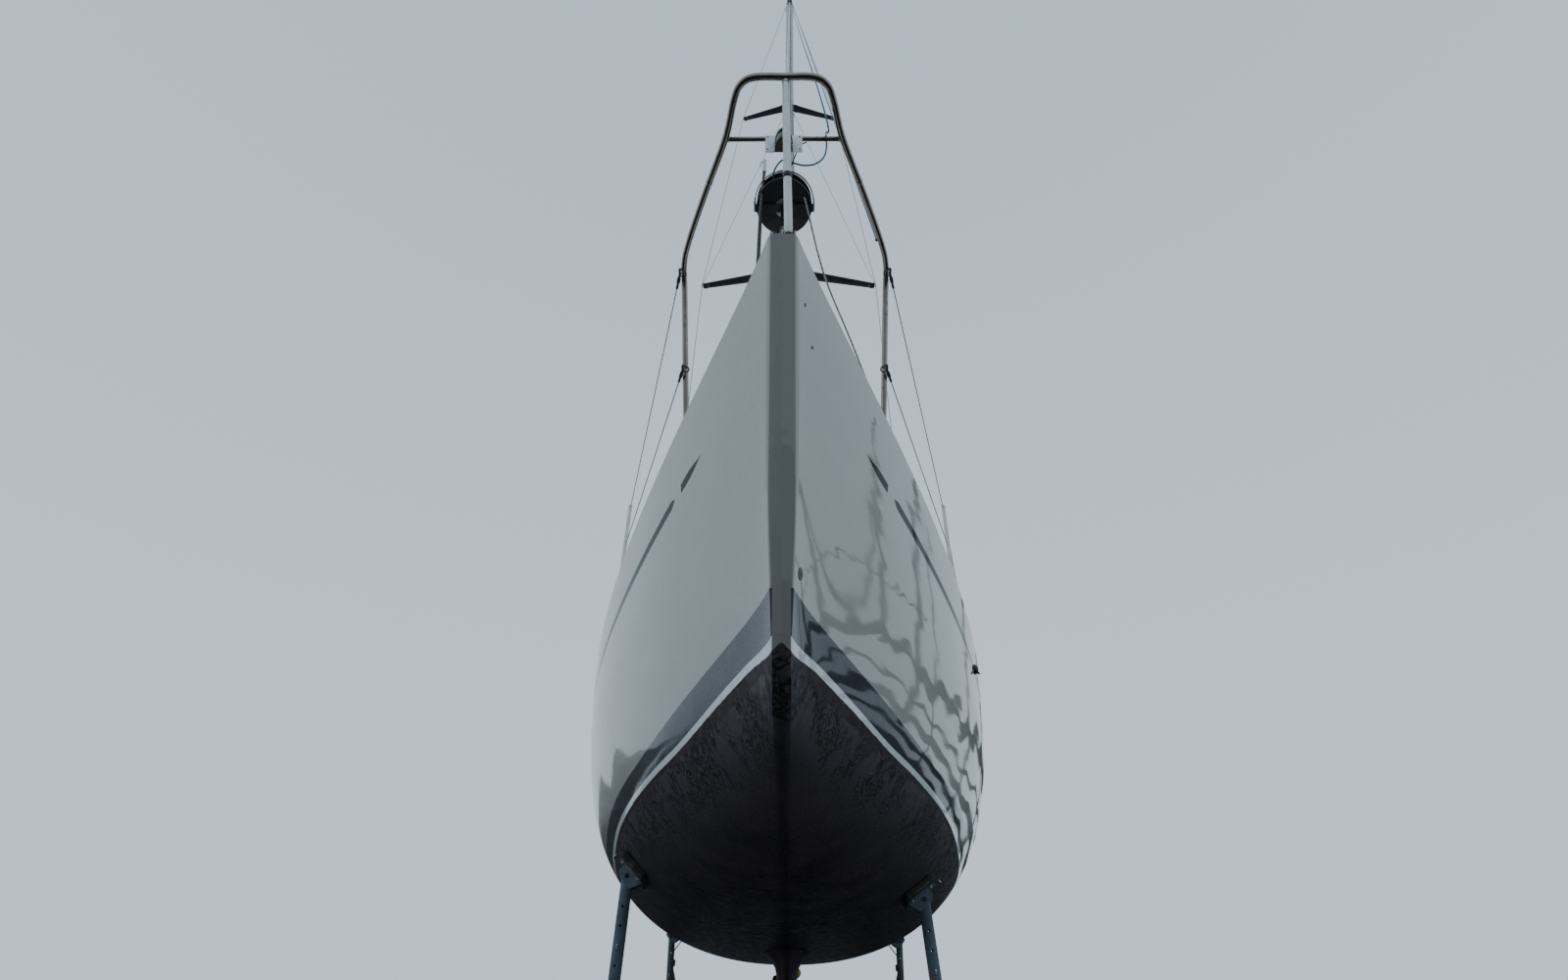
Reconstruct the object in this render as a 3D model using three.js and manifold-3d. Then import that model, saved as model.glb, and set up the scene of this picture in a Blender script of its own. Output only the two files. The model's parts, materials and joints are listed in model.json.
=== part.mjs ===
// A masthead-rigged cruising yacht of about 35 ft, laid up ashore in its steel cradle.
// Millimetres. x is to port, y runs aft from the stem head, z is up from the yard floor.
// Heights named with WL are above the waterline plane, the top edge of the bottom paint.

import * as THREE from "three";
import { mergeVertices } from "three/addons/utils/BufferGeometryUtils.js";
import Module from "manifold-3d";

const wasm = await Module();
wasm.setup();

// Driving dimensions
const DRAFT = 1850;
const KEEL_REST = 150;
const WL = KEEL_REST + DRAFT;
const GAP = 0.3;
const MID_LENGTH = 5315.04;

const HULL = {
  length: 10900,
  deckLength: 10450,
  stemFoot: 500,
  halfBeam: 1749,
  widestAt: 0.6,
  transomHalf: 1250,
  depth: 501,
  deepestAt: 0.52,
  footRise: 30,
  transomRise: 180,
  bowFreeboard: 1354,
  sheerDrop: 350,
  skin: 60,
};
const STATIONS = 33;
const SECTION_STEPS = 12;

// How the hull's sections change along its length.
// at: share of the length. side: fullness of the topsides. bilge: fullness of the bilge.
const SECTIONS = [
  { at: 0, side: 2.16, bilge: 1.69 },
  { at: 0.15, side: 3.32, bilge: 2.44 },
  { at: 0.35, side: 3.05, bilge: 2.23 },
  { at: 0.6, side: 2.9, bilge: 2.2 },
  { at: 1, side: 2.8, bilge: 2.2 },
];

const DECK = { inset: 20, edge: 25, camber: 0.035, skin: 30 };

// The coachroof's cross-sections. y: aft of the stem head. base, top: half widths. rise: above the side deck.
const ROOF = [
  { y: 2950, base: 430, top: 330, rise: 20 },
  { y: 3350, base: 640, top: 480, rise: 130 },
  { y: 4000, base: 860, top: 660, rise: 265 },
  { y: 4800, base: 1010, top: 800, rise: 345 },
  { y: 5800, base: 1110, top: 900, rise: 375 },
  { y: 7420, base: 1130, top: 930, rise: 390 },
];

const CABIN = { front: 1900, aft: 10250, sole: -230 };
const WINDOW = { front: 4350, aft: 6850, low: 105, high: 255, tip: 90, edge: 8 };
const COCKPIT = {
  front: 7420,
  seatEnd: 8850,
  aft: 9980,
  sole: 430,
  seatDrop: 60,
  wellHalf: 330,
  seatHalf: 900,
  helmHalf: 700,
  coamHalf: 1080,
  coamRise: 230,
  skin: 22,
};

const MAST = { foot: 4130, halfWide: 65, halfLong: 95, rake: Math.tan(THREE.MathUtils.degToRad(1)), topWL: 14857 };
const BOOM = { heightWL: 2480, length: 3850, halfWide: 45, halfHigh: 70, lift: Math.sin(THREE.MathUtils.degToRad(2)) };
// The strut that holds the boom down. reach: how far aft of the gooseneck it meets the boom.
const VANG = { footUp: 210, reach: 1250, pinHalf: 30, ear: 12 };

// The two pairs of spreaders. Heights above the waterline, out: tip's distance from the centre line.
const SPREADERS = {
  lower: { rootWL: 6612, tipWL: 6787, out: 1116, tipY: 4554, chord: 150, wireGap: 1.5 },
  upper: { rootWL: 10827, tipWL: 10887, out: 735, tipY: 4494, chord: 120, wireGap: 2.6 },
};
const CHAINPLATE = { out: 1150, y: 4620, high: 70 };

const STAY = { footY: 95, footRise: 100, topY: 4215, topWL: 14740, foilR: 18 };
const DRUM = { fromFoot: 470, r: 118, thick: 100 };
// The strap guard round the furling drum. across: inside half width. deep: its reach forward.
const GUARD = { across: 126, thick: 6, wide: 34 };

const PULPIT = { railWL: 1977, noseY: -253.6, footY: 1000, footX: 450, legLow: 16, legHigh: 14 };
const RAIL = { tube: 14, high: 640, stanchionTube: 12.5, toeHigh: 36, toeThick: 12 };
const STANCHIONS = [2440, 4250, 6050, 7850];

const KEEL_LEVELS = [
  { up: 0, nose: 5000, chord: 1150, thick: 150 },
  { up: 120, nose: 4985, chord: 1165, thick: 158 },
  { up: 1120, nose: 4770, chord: 1480, thick: 172 },
  { up: 1260, nose: 4735, chord: 1540, thick: 200 },
  { up: 1330, nose: 4700, chord: 1600, thick: 262 },
  { up: 1480, nose: 4690, chord: 1620, thick: 270 },
];
const RUDDER_LEVELS = [
  { up: 420, nose: 9560, chord: 430, thick: 48 },
  { up: 460, nose: 9540, chord: 470, thick: 56 },
  { up: 1780, nose: 9450, chord: 640, thick: 84 },
];
const RUDDER = { stockY: 9640, stockR: 28, topGap: 26 };

const SHAFT = { fromY: 8250, fromWL: -287, slope: 0.249, r: 14, toY: 9290 };
const PROP = { y: 9200, r: 205, hubR: 34 };

const WINCH = { y: 8500, out: 1010 };
const GRAB = { from: 3700, to: 6200, feet: 5, share: 0.8, up: 55, r: 12 };
const CLEATS = { bow: [350, 1250], stern: [1135, 10050], half: 110, up: 42, r: 11 };
const WHEEL = { y: 9330, r: 460, centre: 880, rim: 14 };

// Cross beams stand under the posts and, at keelY, under the keel.
const CRADLE = {
  beam: 100,
  halfWide: 1350,
  frontY: 3500,
  aftY: 7800,
  keelY: [5150, 5950],
  sideX: 420,
  postR: 36,
  braceR: 17,
  padLong: 300,
  padHigh: 200,
  padThick: 34,
};
// Where each pad meets the hull. out: from the centre line. foot: the post's foot.
// brace: share of the post's height at which its struts meet it. splay: how far their feet stand off.
const POSTS = [
  { name: "fwd_port", side: 1, y: 3500, out: 800, foot: 940, brace: 0.55, splay: 330 },
  { name: "fwd_stbd", side: -1, y: 3500, out: 930, foot: 1005, brace: 0.55, splay: 330 },
  { name: "aft_port", side: 1, y: 7800, out: 1170, foot: 1150, brace: 0.88, splay: 420 },
  { name: "aft_stbd", side: -1, y: 7800, out: 1230, foot: 1220, brace: 0.88, splay: 420 },
];

// Small helpers for solids

function toSolid(geometry) {
  const bare = geometry.index ? geometry.toNonIndexed() : geometry.clone();
  const positions = new THREE.BufferGeometry().setAttribute("position", bare.getAttribute("position"));
  const merged = mergeVertices(positions, 1e-3);
  const index = Array.from(merged.index.array);
  const kept = [];
  for (let i = 0; i < index.length; i += 3) {
    const [a, b, c] = index.slice(i, i + 3);
    if (a !== b && b !== c && a !== c) kept.push(a, b, c);
  }
  const made = new wasm.Manifold(
    new wasm.Mesh({
      numProp: 3,
      vertProperties: merged.attributes.position.array,
      triVerts: new Uint32Array(kept),
    }),
  );
  return made;
}

function toGeometry(solid) {
  const mesh = solid.getMesh();
  const positions = new Float32Array(mesh.numVert * 3);
  for (let i = 0; i < mesh.numVert; i += 1) {
    const at = i * mesh.numProp;
    positions.set(mesh.vertProperties.subarray(at, at + 3), i * 3);
  }
  const geometry = new THREE.BufferGeometry();
  geometry.setAttribute("position", new THREE.BufferAttribute(positions, 3));
  geometry.setIndex(new THREE.BufferAttribute(mesh.triVerts, 1));
  geometry.computeVertexNormals();
  return geometry;
}

function join(...solids) {
  return solids.reduce((all, one) => all.add(one));
}

// Rings of points, each with the same number, skinned and closed by a fan about the middle of each end.
function loft(rings) {
  const count = rings[0].length;
  const positions = rings.flat(2);
  const index = [];
  for (let i = 0; i < rings.length - 1; i += 1) {
    for (let j = 0; j < count; j += 1) {
      const a = i * count + j;
      const b = i * count + ((j + 1) % count);
      index.push(a, b, b + count, a, b + count, a + count);
    }
  }
  for (const ring of [rings[0], rings[rings.length - 1]]) {
    const isLast = ring !== rings[0];
    const start = isLast ? (rings.length - 1) * count : 0;
    const middle = positions.length / 3;
    positions.push(...[0, 1, 2].map((k) => ring.reduce((sum, p) => sum + p[k] / count, 0)));
    for (let j = 0; j < count; j += 1) {
      const edge = [start + j, start + ((j + 1) % count)];
      index.push(middle, ...(isLast ? edge : edge.reverse()));
    }
  }
  const geometry = new THREE.BufferGeometry();
  geometry.setAttribute("position", new THREE.Float32BufferAttribute(positions, 3));
  geometry.setIndex(index);
  return facingOut(geometry);
}

function signedVolume(geometry) {
  const p = geometry.getAttribute("position");
  const a = new THREE.Vector3();
  const b = new THREE.Vector3();
  const c = new THREE.Vector3();
  let sum = 0;
  for (let i = 0; i < geometry.index.count; i += 3) {
    a.fromBufferAttribute(p, geometry.index.getX(i));
    b.fromBufferAttribute(p, geometry.index.getX(i + 1));
    c.fromBufferAttribute(p, geometry.index.getX(i + 2));
    sum += a.dot(b.cross(c));
  }
  return sum;
}

function facingOut(geometry) {
  if (signedVolume(geometry) < 0) {
    const index = geometry.index.array;
    for (let i = 0; i < index.length; i += 3) {
      [index[i + 1], index[i + 2]] = [index[i + 2], index[i + 1]];
    }
  }
  return toSolid(geometry);
}

function box(x0, x1, y0, y1, z0, z1) {
  const geometry = new THREE.BoxGeometry(x1 - x0, y1 - y0, z1 - z0);
  geometry.translate((x0 + x1) / 2, (y0 + y1) / 2, (z0 + z1) / 2);
  return toSolid(geometry);
}

function vec(p) {
  return new THREE.Vector3(...p);
}

// A round bar between two points.
function bar(from, to, radius, sides = 10, endRadius = radius) {
  const along = vec(to).sub(vec(from));
  const geometry = new THREE.CylinderGeometry(endRadius, radius, along.length(), sides);
  geometry.translate(0, along.length() / 2, 0);
  const turn = new THREE.Quaternion().setFromUnitVectors(new THREE.Vector3(0, 1, 0), along.normalize());
  geometry.applyQuaternion(turn);
  geometry.translate(...from);
  return toSolid(geometry);
}

function ball(centre, radius, sides = 12) {
  const geometry = new THREE.SphereGeometry(radius, sides, sides / 2);
  geometry.translate(...centre);
  return toSolid(geometry);
}

// A round tube bent smoothly through points.
function bentTube(points, radius, steps, sides = 6) {
  const path = new THREE.CatmullRomCurve3(points.map(vec), false, "centripetal");
  const section = new THREE.Shape();
  section.absarc(0, 0, radius, 0, 2 * Math.PI);
  const geometry = new THREE.ExtrudeGeometry(section, {
    steps,
    extrudePath: path,
    curveSegments: sides / 2,
    bevelEnabled: false,
  });
  geometry.deleteAttribute("normal");
  geometry.deleteAttribute("uv");
  const merged = mergeVertices(geometry, 1e-3);
  return facingOut(merged);
}

// A turned piece about the vertical through centre, from [radius, height] pairs that start and end on the axis.
function turned(profile, centre, sides = 20) {
  const geometry = new THREE.LatheGeometry(
    profile.map(([r, z]) => new THREE.Vector2(r, z)),
    sides,
  );
  geometry.rotateX(Math.PI / 2);
  geometry.deleteAttribute("normal");
  geometry.deleteAttribute("uv");
  geometry.translate(...centre);
  return facingOut(mergeVertices(geometry, 1e-3));
}

// A prism of an outline in y and z, from x0 to x1.
function prismX(outline, x0, x1) {
  const rings = [x0, x1].map((x) => outline.map(([y, z]) => [x, y, z]));
  return loft(rings);
}

function mirrored(solid) {
  return solid.mirror([1, 0, 0]);
}

// The hull's form

// A smooth value between the rows of a table, by the named column.
function along(rows, key, column, at) {
  let i = 0;
  while (i < rows.length - 2 && at > rows[i + 1][key]) i += 1;
  const [a, b] = [rows[i], rows[i + 1]];
  const before = rows[Math.max(i - 1, 0)];
  const after = rows[Math.min(i + 2, rows.length - 1)];
  const span = b[key] - a[key];
  const slope = (p, q) => (q[column] - p[column]) / Math.max(q[key] - p[key], 1e-9);
  const t = THREE.MathUtils.clamp((at - a[key]) / span, 0, 1);
  const m0 = slope(before, b) * span;
  const m1 = slope(a, after) * span;
  return (
    (1 + 2 * t) * (1 - t) ** 2 * a[column] +
    t * (1 - t) ** 2 * m0 +
    t * t * (3 - 2 * t) * b[column] +
    t * t * (t - 1) * m1
  );
}

function stemHalf(h) {
  return 30 + 20 * h;
}

function sheerHalf(a) {
  const stem = stemHalf(1);
  if (a > HULL.widestAt) {
    const past = (a - HULL.widestAt) / (1 - HULL.widestAt);
    return HULL.halfBeam - (HULL.halfBeam - HULL.transomHalf) * past ** 2.2;
  }
  const ahead = 1 - a / HULL.widestAt;
  return stem + (HULL.halfBeam - stem) * (1 - ahead ** 2) ** 1.092;
}

function sheerZ(a) {
  return WL + HULL.bowFreeboard - HULL.sheerDrop * (1 - (1 - a) ** 2);
}

function centreZ(a) {
  const deep = HULL.depth;
  if (a > HULL.deepestAt) {
    const past = (a - HULL.deepestAt) / (1 - HULL.deepestAt);
    return WL - deep + (deep + HULL.transomRise) * past ** 2;
  }
  const ahead = 1 - a / HULL.deepestAt;
  return WL + HULL.footRise - (HULL.footRise + deep) * (1 - ahead ** 2.7) ** 0.505;
}

// A point of the port side: a along the length, h from the centre line (0) to the sheer (1).
function hullPoint(a, h, inset = 0) {
  const side = along(SECTIONS, "at", "side", a);
  const bilge = along(SECTIONS, "at", "bilge", a);
  const full = sheerHalf(a) * (1 - (1 - h) ** side) ** (1 / bilge);
  const foot = stemHalf(h) * THREE.MathUtils.clamp(1 - (a - 0.02) / 0.1, 0.1, 1) * (1 - h);
  const x = a === 0 ? stemHalf(h) : Math.hypot(full, foot);
  const low = HULL.stemFoot + a * (HULL.length - HULL.stemFoot);
  const y = low * (1 - h) + a * HULL.deckLength * h;
  const z = centreZ(a) + h * (sheerZ(a) - centreZ(a));
  return [Math.max(x - inset, 4), y, z + inset * (1 - h)];
}

const stationShares = Array.from({ length: STATIONS + 1 }, (_, i) => (i / STATIONS) ** 1.2);
const sectionShares = Array.from({ length: SECTION_STEPS + 1 }, (_, j) => (j / SECTION_STEPS) ** 1.8);

// The hull as a solid. The inside of its skin is drawn with every third station, which nobody sees close to.
function hullForm(inset = 0, topUp = 0) {
  const stations = inset ? stationShares.filter((_, i) => i % 3 === 0) : stationShares;
  const sections = inset ? sectionShares.filter((_, i) => i % 2 === 0) : sectionShares;
  const rings = stations.map((a) => {
    const port = sections.map((h) => hullPoint(a, h, inset));
    if (topUp) {
      const [x, y, z] = port[port.length - 1];
      port.push([x, y, z + topUp]);
    }
    return [...port, ...port.map(([x, y, z]) => [-x, y, z]).reverse()];
  });
  return loft(rings);
}

function shareAtDeck(y) {
  return y / HULL.deckLength;
}

function deckHalf(y) {
  return sheerHalf(shareAtDeck(y)) - DECK.inset;
}

// The deck's upper surface at y, a distance x off the centre line.
function deckZ(y, x = 0) {
  const half = deckHalf(y);
  const camber = DECK.camber * half * (1 - (x / half) ** 2);
  return sheerZ(shareAtDeck(y)) + GAP + DECK.edge + camber;
}

function roofZ(y) {
  return deckZ(y, 1000) + along(ROOF, "y", "rise", y);
}

const hullSolid = hullForm();
const cabinForm = hullForm(HULL.skin, 900);
const hullInside = hullForm(HULL.skin + GAP, 900);

const sternTube = {
  from: [0, SHAFT.fromY, WL + SHAFT.fromWL],
  to: [0, SHAFT.toY, WL + SHAFT.fromWL - SHAFT.slope * (SHAFT.toY - SHAFT.fromY)],
};

function onShaft(y) {
  return [0, y, WL + SHAFT.fromWL - SHAFT.slope * (y - SHAFT.fromY)];
}

function makeHull() {
  const cabin = cabinForm.intersect(
    box(-3000, 3000, CABIN.front, CABIN.aft, WL + CABIN.sole, 5000),
  );
  const lockerRings = [
    [560, 70],
    [1080, 190],
  ].map(([y, half]) => [
    [-half, y, sheerZ(0) - 500],
    [half, y, sheerZ(0) - 500],
    [half, y, 5000],
    [-half, y, 5000],
  ]);
  const stockBoss = bar([0, RUDDER.stockY, WL - 150], [0, RUDDER.stockY, WL + 240], 60, 16).intersect(hullSolid);
  const shaftBoss = bar(onShaft(8160), onShaft(8620), 36, 16);
  const stockBore = bar([0, RUDDER.stockY, WL - 300], [0, RUDDER.stockY, WL + 300], RUDDER.stockR + 0.8, 20);
  const shaftBore = bar(onShaft(8240), onShaft(8800), SHAFT.r + 1.5, 16);
  return hullSolid
    .subtract(cabin)
    .subtract(loft(lockerRings))
    .add(stockBoss)
    .add(shaftBoss)
    .subtract(stockBore)
    .subtract(shaftBore);
}

// A symmetrical foil section, leading edge at nose, in the horizontal plane at height z.
function foilRing({ nose, chord, thick }, z, points = 9) {
  const shares = Array.from({ length: points + 1 }, (_, i) => (1 - Math.cos((i / points) * Math.PI)) / 2);
  const half = (t) => 5 * thick * (0.2969 * Math.sqrt(t) - 0.126 * t - 0.3516 * t ** 2 + 0.2843 * t ** 3 - 0.1036 * t ** 4);
  const port = shares.map((t) => [half(t) + (t === 1 ? 3 : 0), nose + t * chord, z]);
  const starboard = port
    .slice(1)
    .map(([x, y]) => [-x, y, z])
    .reverse();
  return [...port, ...starboard];
}

function makeKeel() {
  const blade = loft(
    KEEL_LEVELS.map((level) => foilRing(level, KEEL_REST + level.up)),
  );
  return blade.subtract(hullSolid.translate([0, 0, -GAP]));
}

function makeRudder() {
  const blade = loft(
    RUDDER_LEVELS.map((level) => foilRing(level, KEEL_REST + level.up)),
  );
  const stock = bar([0, RUDDER.stockY, WL - 500], [0, RUDDER.stockY, WL + 200], RUDDER.stockR, 20);
  return blade.subtract(hullSolid.translate([0, 0, -RUDDER.topGap])).add(stock);
}

// Deck and superstructure

function slabForm() {
  const rings = stationShares
    .filter((a) => a > 0.004 && a < 0.999)
    .map((a) => {
      const y = a * HULL.deckLength;
      const half = deckHalf(y);
      const low = sheerZ(a) + GAP;
      return [
        [-half, y, low],
        [half, y, low],
        ...[1, 0.5, 0, -0.5, -1].map((share) => [half * share, y, deckZ(y, half * share)]),
      ];
    });
  return loft(rings);
}

// The coachroof's outside, or its surface moved in by inset.
function roofForm(inset = 0, drop = 0) {
  const rings = ROOF.map(({ y, base, top, rise }, i) => {
    const edge = deckZ(y, 1000);
    const low = sheerZ(shareAtDeck(y)) + GAP - drop;
    const end = i === 0 ? inset : i === ROOF.length - 1 ? -inset : 0;
    const b = base - inset;
    const t = top - inset;
    const up = edge + Math.max(rise - inset, 4);
    const port = [
      [b, low],
      [b, edge],
      [t + 26, up - 34],
      [t, up - 6],
      [t * 0.55, up + 20],
    ];
    const half = [...port, [0, up + 30]];
    return [...half, ...port.map(([x, z]) => [-x, z]).reverse()].map(([x, z]) => [x, y + end, z]);
  });
  return loft(rings);
}

function windowOutline(edge) {
  const low = (y) => deckZ(y, 1000) + WINDOW.low - edge;
  const high = (y) => Math.min(deckZ(y, 1000) + WINDOW.high, roofZ(y) - 55) + edge;
  const { front, aft, tip } = WINDOW;
  return [
    [front - edge, low(front) + 10],
    [aft - tip + edge, low(aft)],
    [aft + edge, high(aft) - 30],
    [aft - tip / 2, high(aft)],
    [5600, high(5600)],
    [4900, high(4900)],
    [front + tip, high(front + tip) - 12],
  ];
}

function cockpitRooms(grow) {
  const c = COCKPIT;
  const seat = sheerZ(shareAtDeck(8100)) - c.seatDrop;
  const sole = WL + c.sole;
  const top = grow ? sheerZ(shareAtDeck(8100)) + 10 : 5000;
  return join(
    box(-c.seatHalf - grow, c.seatHalf + grow, c.front - grow, c.seatEnd + grow, seat - grow, top),
    box(-c.wellHalf - grow, c.wellHalf + grow, c.front + 330 - grow, c.aft + grow, sole - grow, top),
    box(-c.helmHalf - grow, c.helmHalf + grow, c.seatEnd - grow, c.aft + grow, sole - grow, top),
  );
}

// Underside of the companionway's sliding hatch, clear of the roof all the way forward.
function slideLow() {
  return roofZ(HATCHES.companion.y0 - HATCHES.companion.travel - 60) + 36;
}

function doorSill() {
  return sheerZ(shareAtDeck(COCKPIT.front)) - 10;
}

const HATCHES = {
  fore: { y0: 2300, y1: 2830, half: 250, rise: 40 },
  saloon: { y0: 5380, y1: 5860, half: 240, rise: 60 },
  anchor: { y0: 600, y1: 1050, half0: 80, half1: 180 },
  companion: { y0: 6640, y1: 7420, half: 290, travel: 600 },
};

// The seat of a cockpit winch, on a pad moulded into the coaming.
function winchLow() {
  return sheerZ(shareAtDeck(8600)) + COCKPIT.coamRise + 30;
}

function hatchBase(hatch) {
  const isRoof = hatch === HATCHES.saloon;
  const mid = (hatch.y0 + hatch.y1) / 2;
  const top = (isRoof ? roofZ(mid) + 28 : deckZ(mid)) + hatch.rise;
  return { top, low: top - hatch.rise - 45 };
}

function anchorOutline(grow, z) {
  const { y0, y1, half0, half1 } = HATCHES.anchor;
  return [
    [-half0 - grow, y0 - grow, z(y0)],
    [half0 + grow, y0 - grow, z(y0)],
    [half1 + grow, y1 + grow, z(y1)],
    [-half1 - grow, y1 + grow, z(y1)],
  ];
}

function makeDeck() {
  const c = COCKPIT;
  const coamTop = sheerZ(shareAtDeck(8600)) + c.coamRise;
  const coaming = loft(
    [
      [c.front - 130, c.coamHalf + 30, c.coamHalf - 60, coamTop + 70],
      [c.seatEnd, c.coamHalf - 10, c.coamHalf - 90, coamTop],
      [c.aft + 60, c.coamHalf - 90, c.coamHalf - 180, coamTop - 120],
    ].map(([y, base, top, z]) => [
      [-base, y, sheerZ(shareAtDeck(y)) + 5],
      [base, y, sheerZ(shareAtDeck(y)) + 5],
      [top + 40, y, z - 25],
      [top, y, z],
      [-top, y, z],
      [-top - 40, y, z - 25],
    ]),
  );
  let deck = join(slabForm(), roofForm(), coaming, cockpitRooms(c.skin));
  deck = deck.subtract(roofForm(DECK.skin, 200)).subtract(cockpitRooms(0));
  deck = deck.subtract(prismX(windowOutline(0), -2000, 2000));

  for (const hatch of [HATCHES.fore, HATCHES.saloon]) {
    const { top, low } = hatchBase(hatch);
    const { half, y0, y1 } = hatch;
    deck = deck.add(box(-half - 30, half + 30, y0 - 30, y1 + 30, low, top));
    deck = deck.subtract(box(-half, half, y0, y1, low - 200, top + 200));
  }
  const { y0, y1, half, travel } = HATCHES.companion;
  const runner = slideLow();
  for (const side of [-1, 1]) {
    deck = deck.add(sideBox(side, half + 18, half + 46, y0 - travel - 80, y1 - 4, runner - 80, runner + 26));
  }
  const hood = box(-half - 46, half + 46, y0 - travel - 100, y0 - 30, runner - 60, runner + 52).subtract(
    box(-half - 18, half + 18, y0 - travel - 76, y0, runner - GAP, runner + 38),
  );
  deck = deck.add(hood.subtract(roofForm(DECK.skin - 2, 0)));
  deck = deck.subtract(box(-half, half, y0, y1 + 60, runner - 140, 5000));
  deck = deck.subtract(box(-half, half, y1 - 60, y1 + 60, doorSill(), 5000));

  const locker = loft([anchorOutline(0, () => sheerZ(0) - 400), anchorOutline(0, () => 5000)]);
  deck = deck.subtract(locker);

  for (const side of [-1, 1]) {
    const pad = [side * WINCH.out, WINCH.y];
    deck = deck.add(bar([...pad, winchLow() - 60], [...pad, winchLow() - GAP], 92, 20));
    deck = deck.subtract(sideBox(side, 430, 830, 7800, 8620, sheerZ(0.8) - 400, sheerZ(0.8) + 50));
    deck = deck.add(sideBox(side, CHAINPLATE.out - 8, CHAINPLATE.out + 8, CHAINPLATE.y - 35, CHAINPLATE.y + 35,
      deckZ(CHAINPLATE.y, CHAINPLATE.out) - 20, deckZ(CHAINPLATE.y, CHAINPLATE.out) + CHAINPLATE.high));
  }
  const step = box(-120, 120, MAST.foot - 150, MAST.foot + 150, roofZ(MAST.foot) - 30, mastFootZ - GAP);
  const gear = [makeGrabRail(), makeCleat(...CLEATS.bow), makeCleat(...CLEATS.stern)];
  return join(deck, step, ...gear, ...gear.map(mirrored));
}

// The port handrail along the coachroof.
function makeGrabRail() {
  const { from, to, feet, share, up, r } = GRAB;
  const at = (y, rise) => [share * along(ROOF, "y", "top", y), y, roofZ(y) + rise];
  const places = Array.from({ length: feet }, (_, i) => from + ((to - from) * i) / (feet - 1));
  const rail = bentTube(places.map((y) => at(y, up)), r, 2 * feet);
  return join(rail, ...places.map((y) => bar(at(y, -8), at(y, up), r + 2, 8)));
}

function makeCleat(x, y) {
  const { half, up, r } = CLEATS;
  const z = deckZ(y, x);
  const horns = [-1, 1].map((end) => bar([x, y, z + up], [x, y + end * half, z + up + 4], r, 8, r * 0.6));
  const legs = [-1, 1].map((end) => bar([x, y + end * 34, z - 6], [x, y + end * 30, z + up], r, 8));
  return join(...horns, ...legs);
}

function sideBox(side, out0, out1, y0, y1, z0, z1) {
  return side > 0 ? box(out0, out1, y0, y1, z0, z1) : box(-out1, -out0, y0, y1, z0, z1);
}

function makeWindow(side) {
  const pane = roofForm(4).subtract(roofForm(15));
  const reach = side > 0 ? [300, 2000] : [-2000, -300];
  return pane.intersect(prismX(windowOutline(-1), ...reach));
}

// Rig

const mastFootZ = roofZ(MAST.foot) + 60;
const mastTopZ = WL + MAST.topWL;

function mastY(z) {
  return MAST.foot + (z - mastFootZ) * MAST.rake;
}

function ellipseRing(centreY, z, halfWide, halfLong, sides = 20) {
  return Array.from({ length: sides }, (_, i) => {
    const t = (i / sides) * 2 * Math.PI;
    return [halfWide * Math.cos(t), centreY + halfLong * Math.sin(t), z];
  });
}

function makeMast() {
  const rings = [mastFootZ, mastTopZ].map((z) => ellipseRing(mastY(z), z, MAST.halfWide, MAST.halfLong));
  return loft(rings);
}

function makeCrane() {
  const y = mastY(mastTopZ);
  const plate = box(-45, 45, y - 190, y + 230, mastTopZ + GAP, mastTopZ + 34);
  const cap = box(-62, 62, y - 100, y + 100, mastTopZ + 30, mastTopZ + 60);
  const front = box(-12, 12, y - 190, y - 140, mastTopZ - 40, mastTopZ + 10);
  return join(plate, cap, front);
}

function makeSpreader(side, { rootWL, tipWL, out, tipY, chord }) {
  const rootZ = WL + rootWL;
  const rootX = MAST.halfWide + GAP;
  const rings = [
    [rootX, mastY(rootZ), rootZ, chord, 36],
    [out, tipY, WL + tipWL, chord * 0.55, 24],
  ].map(([x, y, z, long, thick]) =>
    Array.from({ length: 10 }, (_, i) => {
      const t = (i / 10) * 2 * Math.PI;
      return [side * x, y + (long / 2) * Math.cos(t), z + (thick / 2) * Math.sin(t)];
    }),
  );
  return loft(rings);
}

function makeShroud(side) {
  const wire = 6;
  const lower = SPREADERS.lower;
  const upper = SPREADERS.upper;
  const foot = [side * CHAINPLATE.out, CHAINPLATE.y, deckZ(CHAINPLATE.y, CHAINPLATE.out) + CHAINPLATE.high + GAP];
  const kneeLow = [side * (lower.out + wire + lower.wireGap), lower.tipY, WL + lower.tipWL];
  const kneeHigh = [side * (upper.out + wire + upper.wireGap), upper.tipY, WL + upper.tipWL];
  const headZ = mastTopZ - 60;
  const head = [side * (MAST.halfWide + wire + 2), mastY(headZ), headZ];
  const screwTop = vec(foot).lerp(vec(kneeLow), 0.055).toArray();
  return join(
    bar(foot, kneeLow, wire, 8),
    bar(kneeLow, kneeHigh, wire, 8),
    bar(kneeHigh, head, wire, 8),
    ball(kneeLow, wire + 0.1, 8),
    ball(kneeHigh, wire + 0.1, 8),
    bar(foot, screwTop, 13, 8),
  );
}

function makeBackstay() {
  const y = mastY(mastTopZ) + 215;
  const top = [0, y, mastTopZ - GAP];
  const foot = [0, 10330, deckZ(10330) + 40];
  const screw = vec(foot).lerp(vec(top), 0.05).toArray();
  const plate = box(-8, 8, 10300, 10360, deckZ(10330) + GAP, deckZ(10330) + 60);
  return join(bar(foot, top, 6, 8), bar(foot, screw, 14, 8), plate).subtract(
    box(-100, 100, y - 200, y + 200, mastTopZ, mastTopZ + 100),
  );
}

const stayFoot = [0, STAY.footY, sheerZ(0) + STAY.footRise];
const stayHead = [0, STAY.topY, WL + STAY.topWL];

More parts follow.
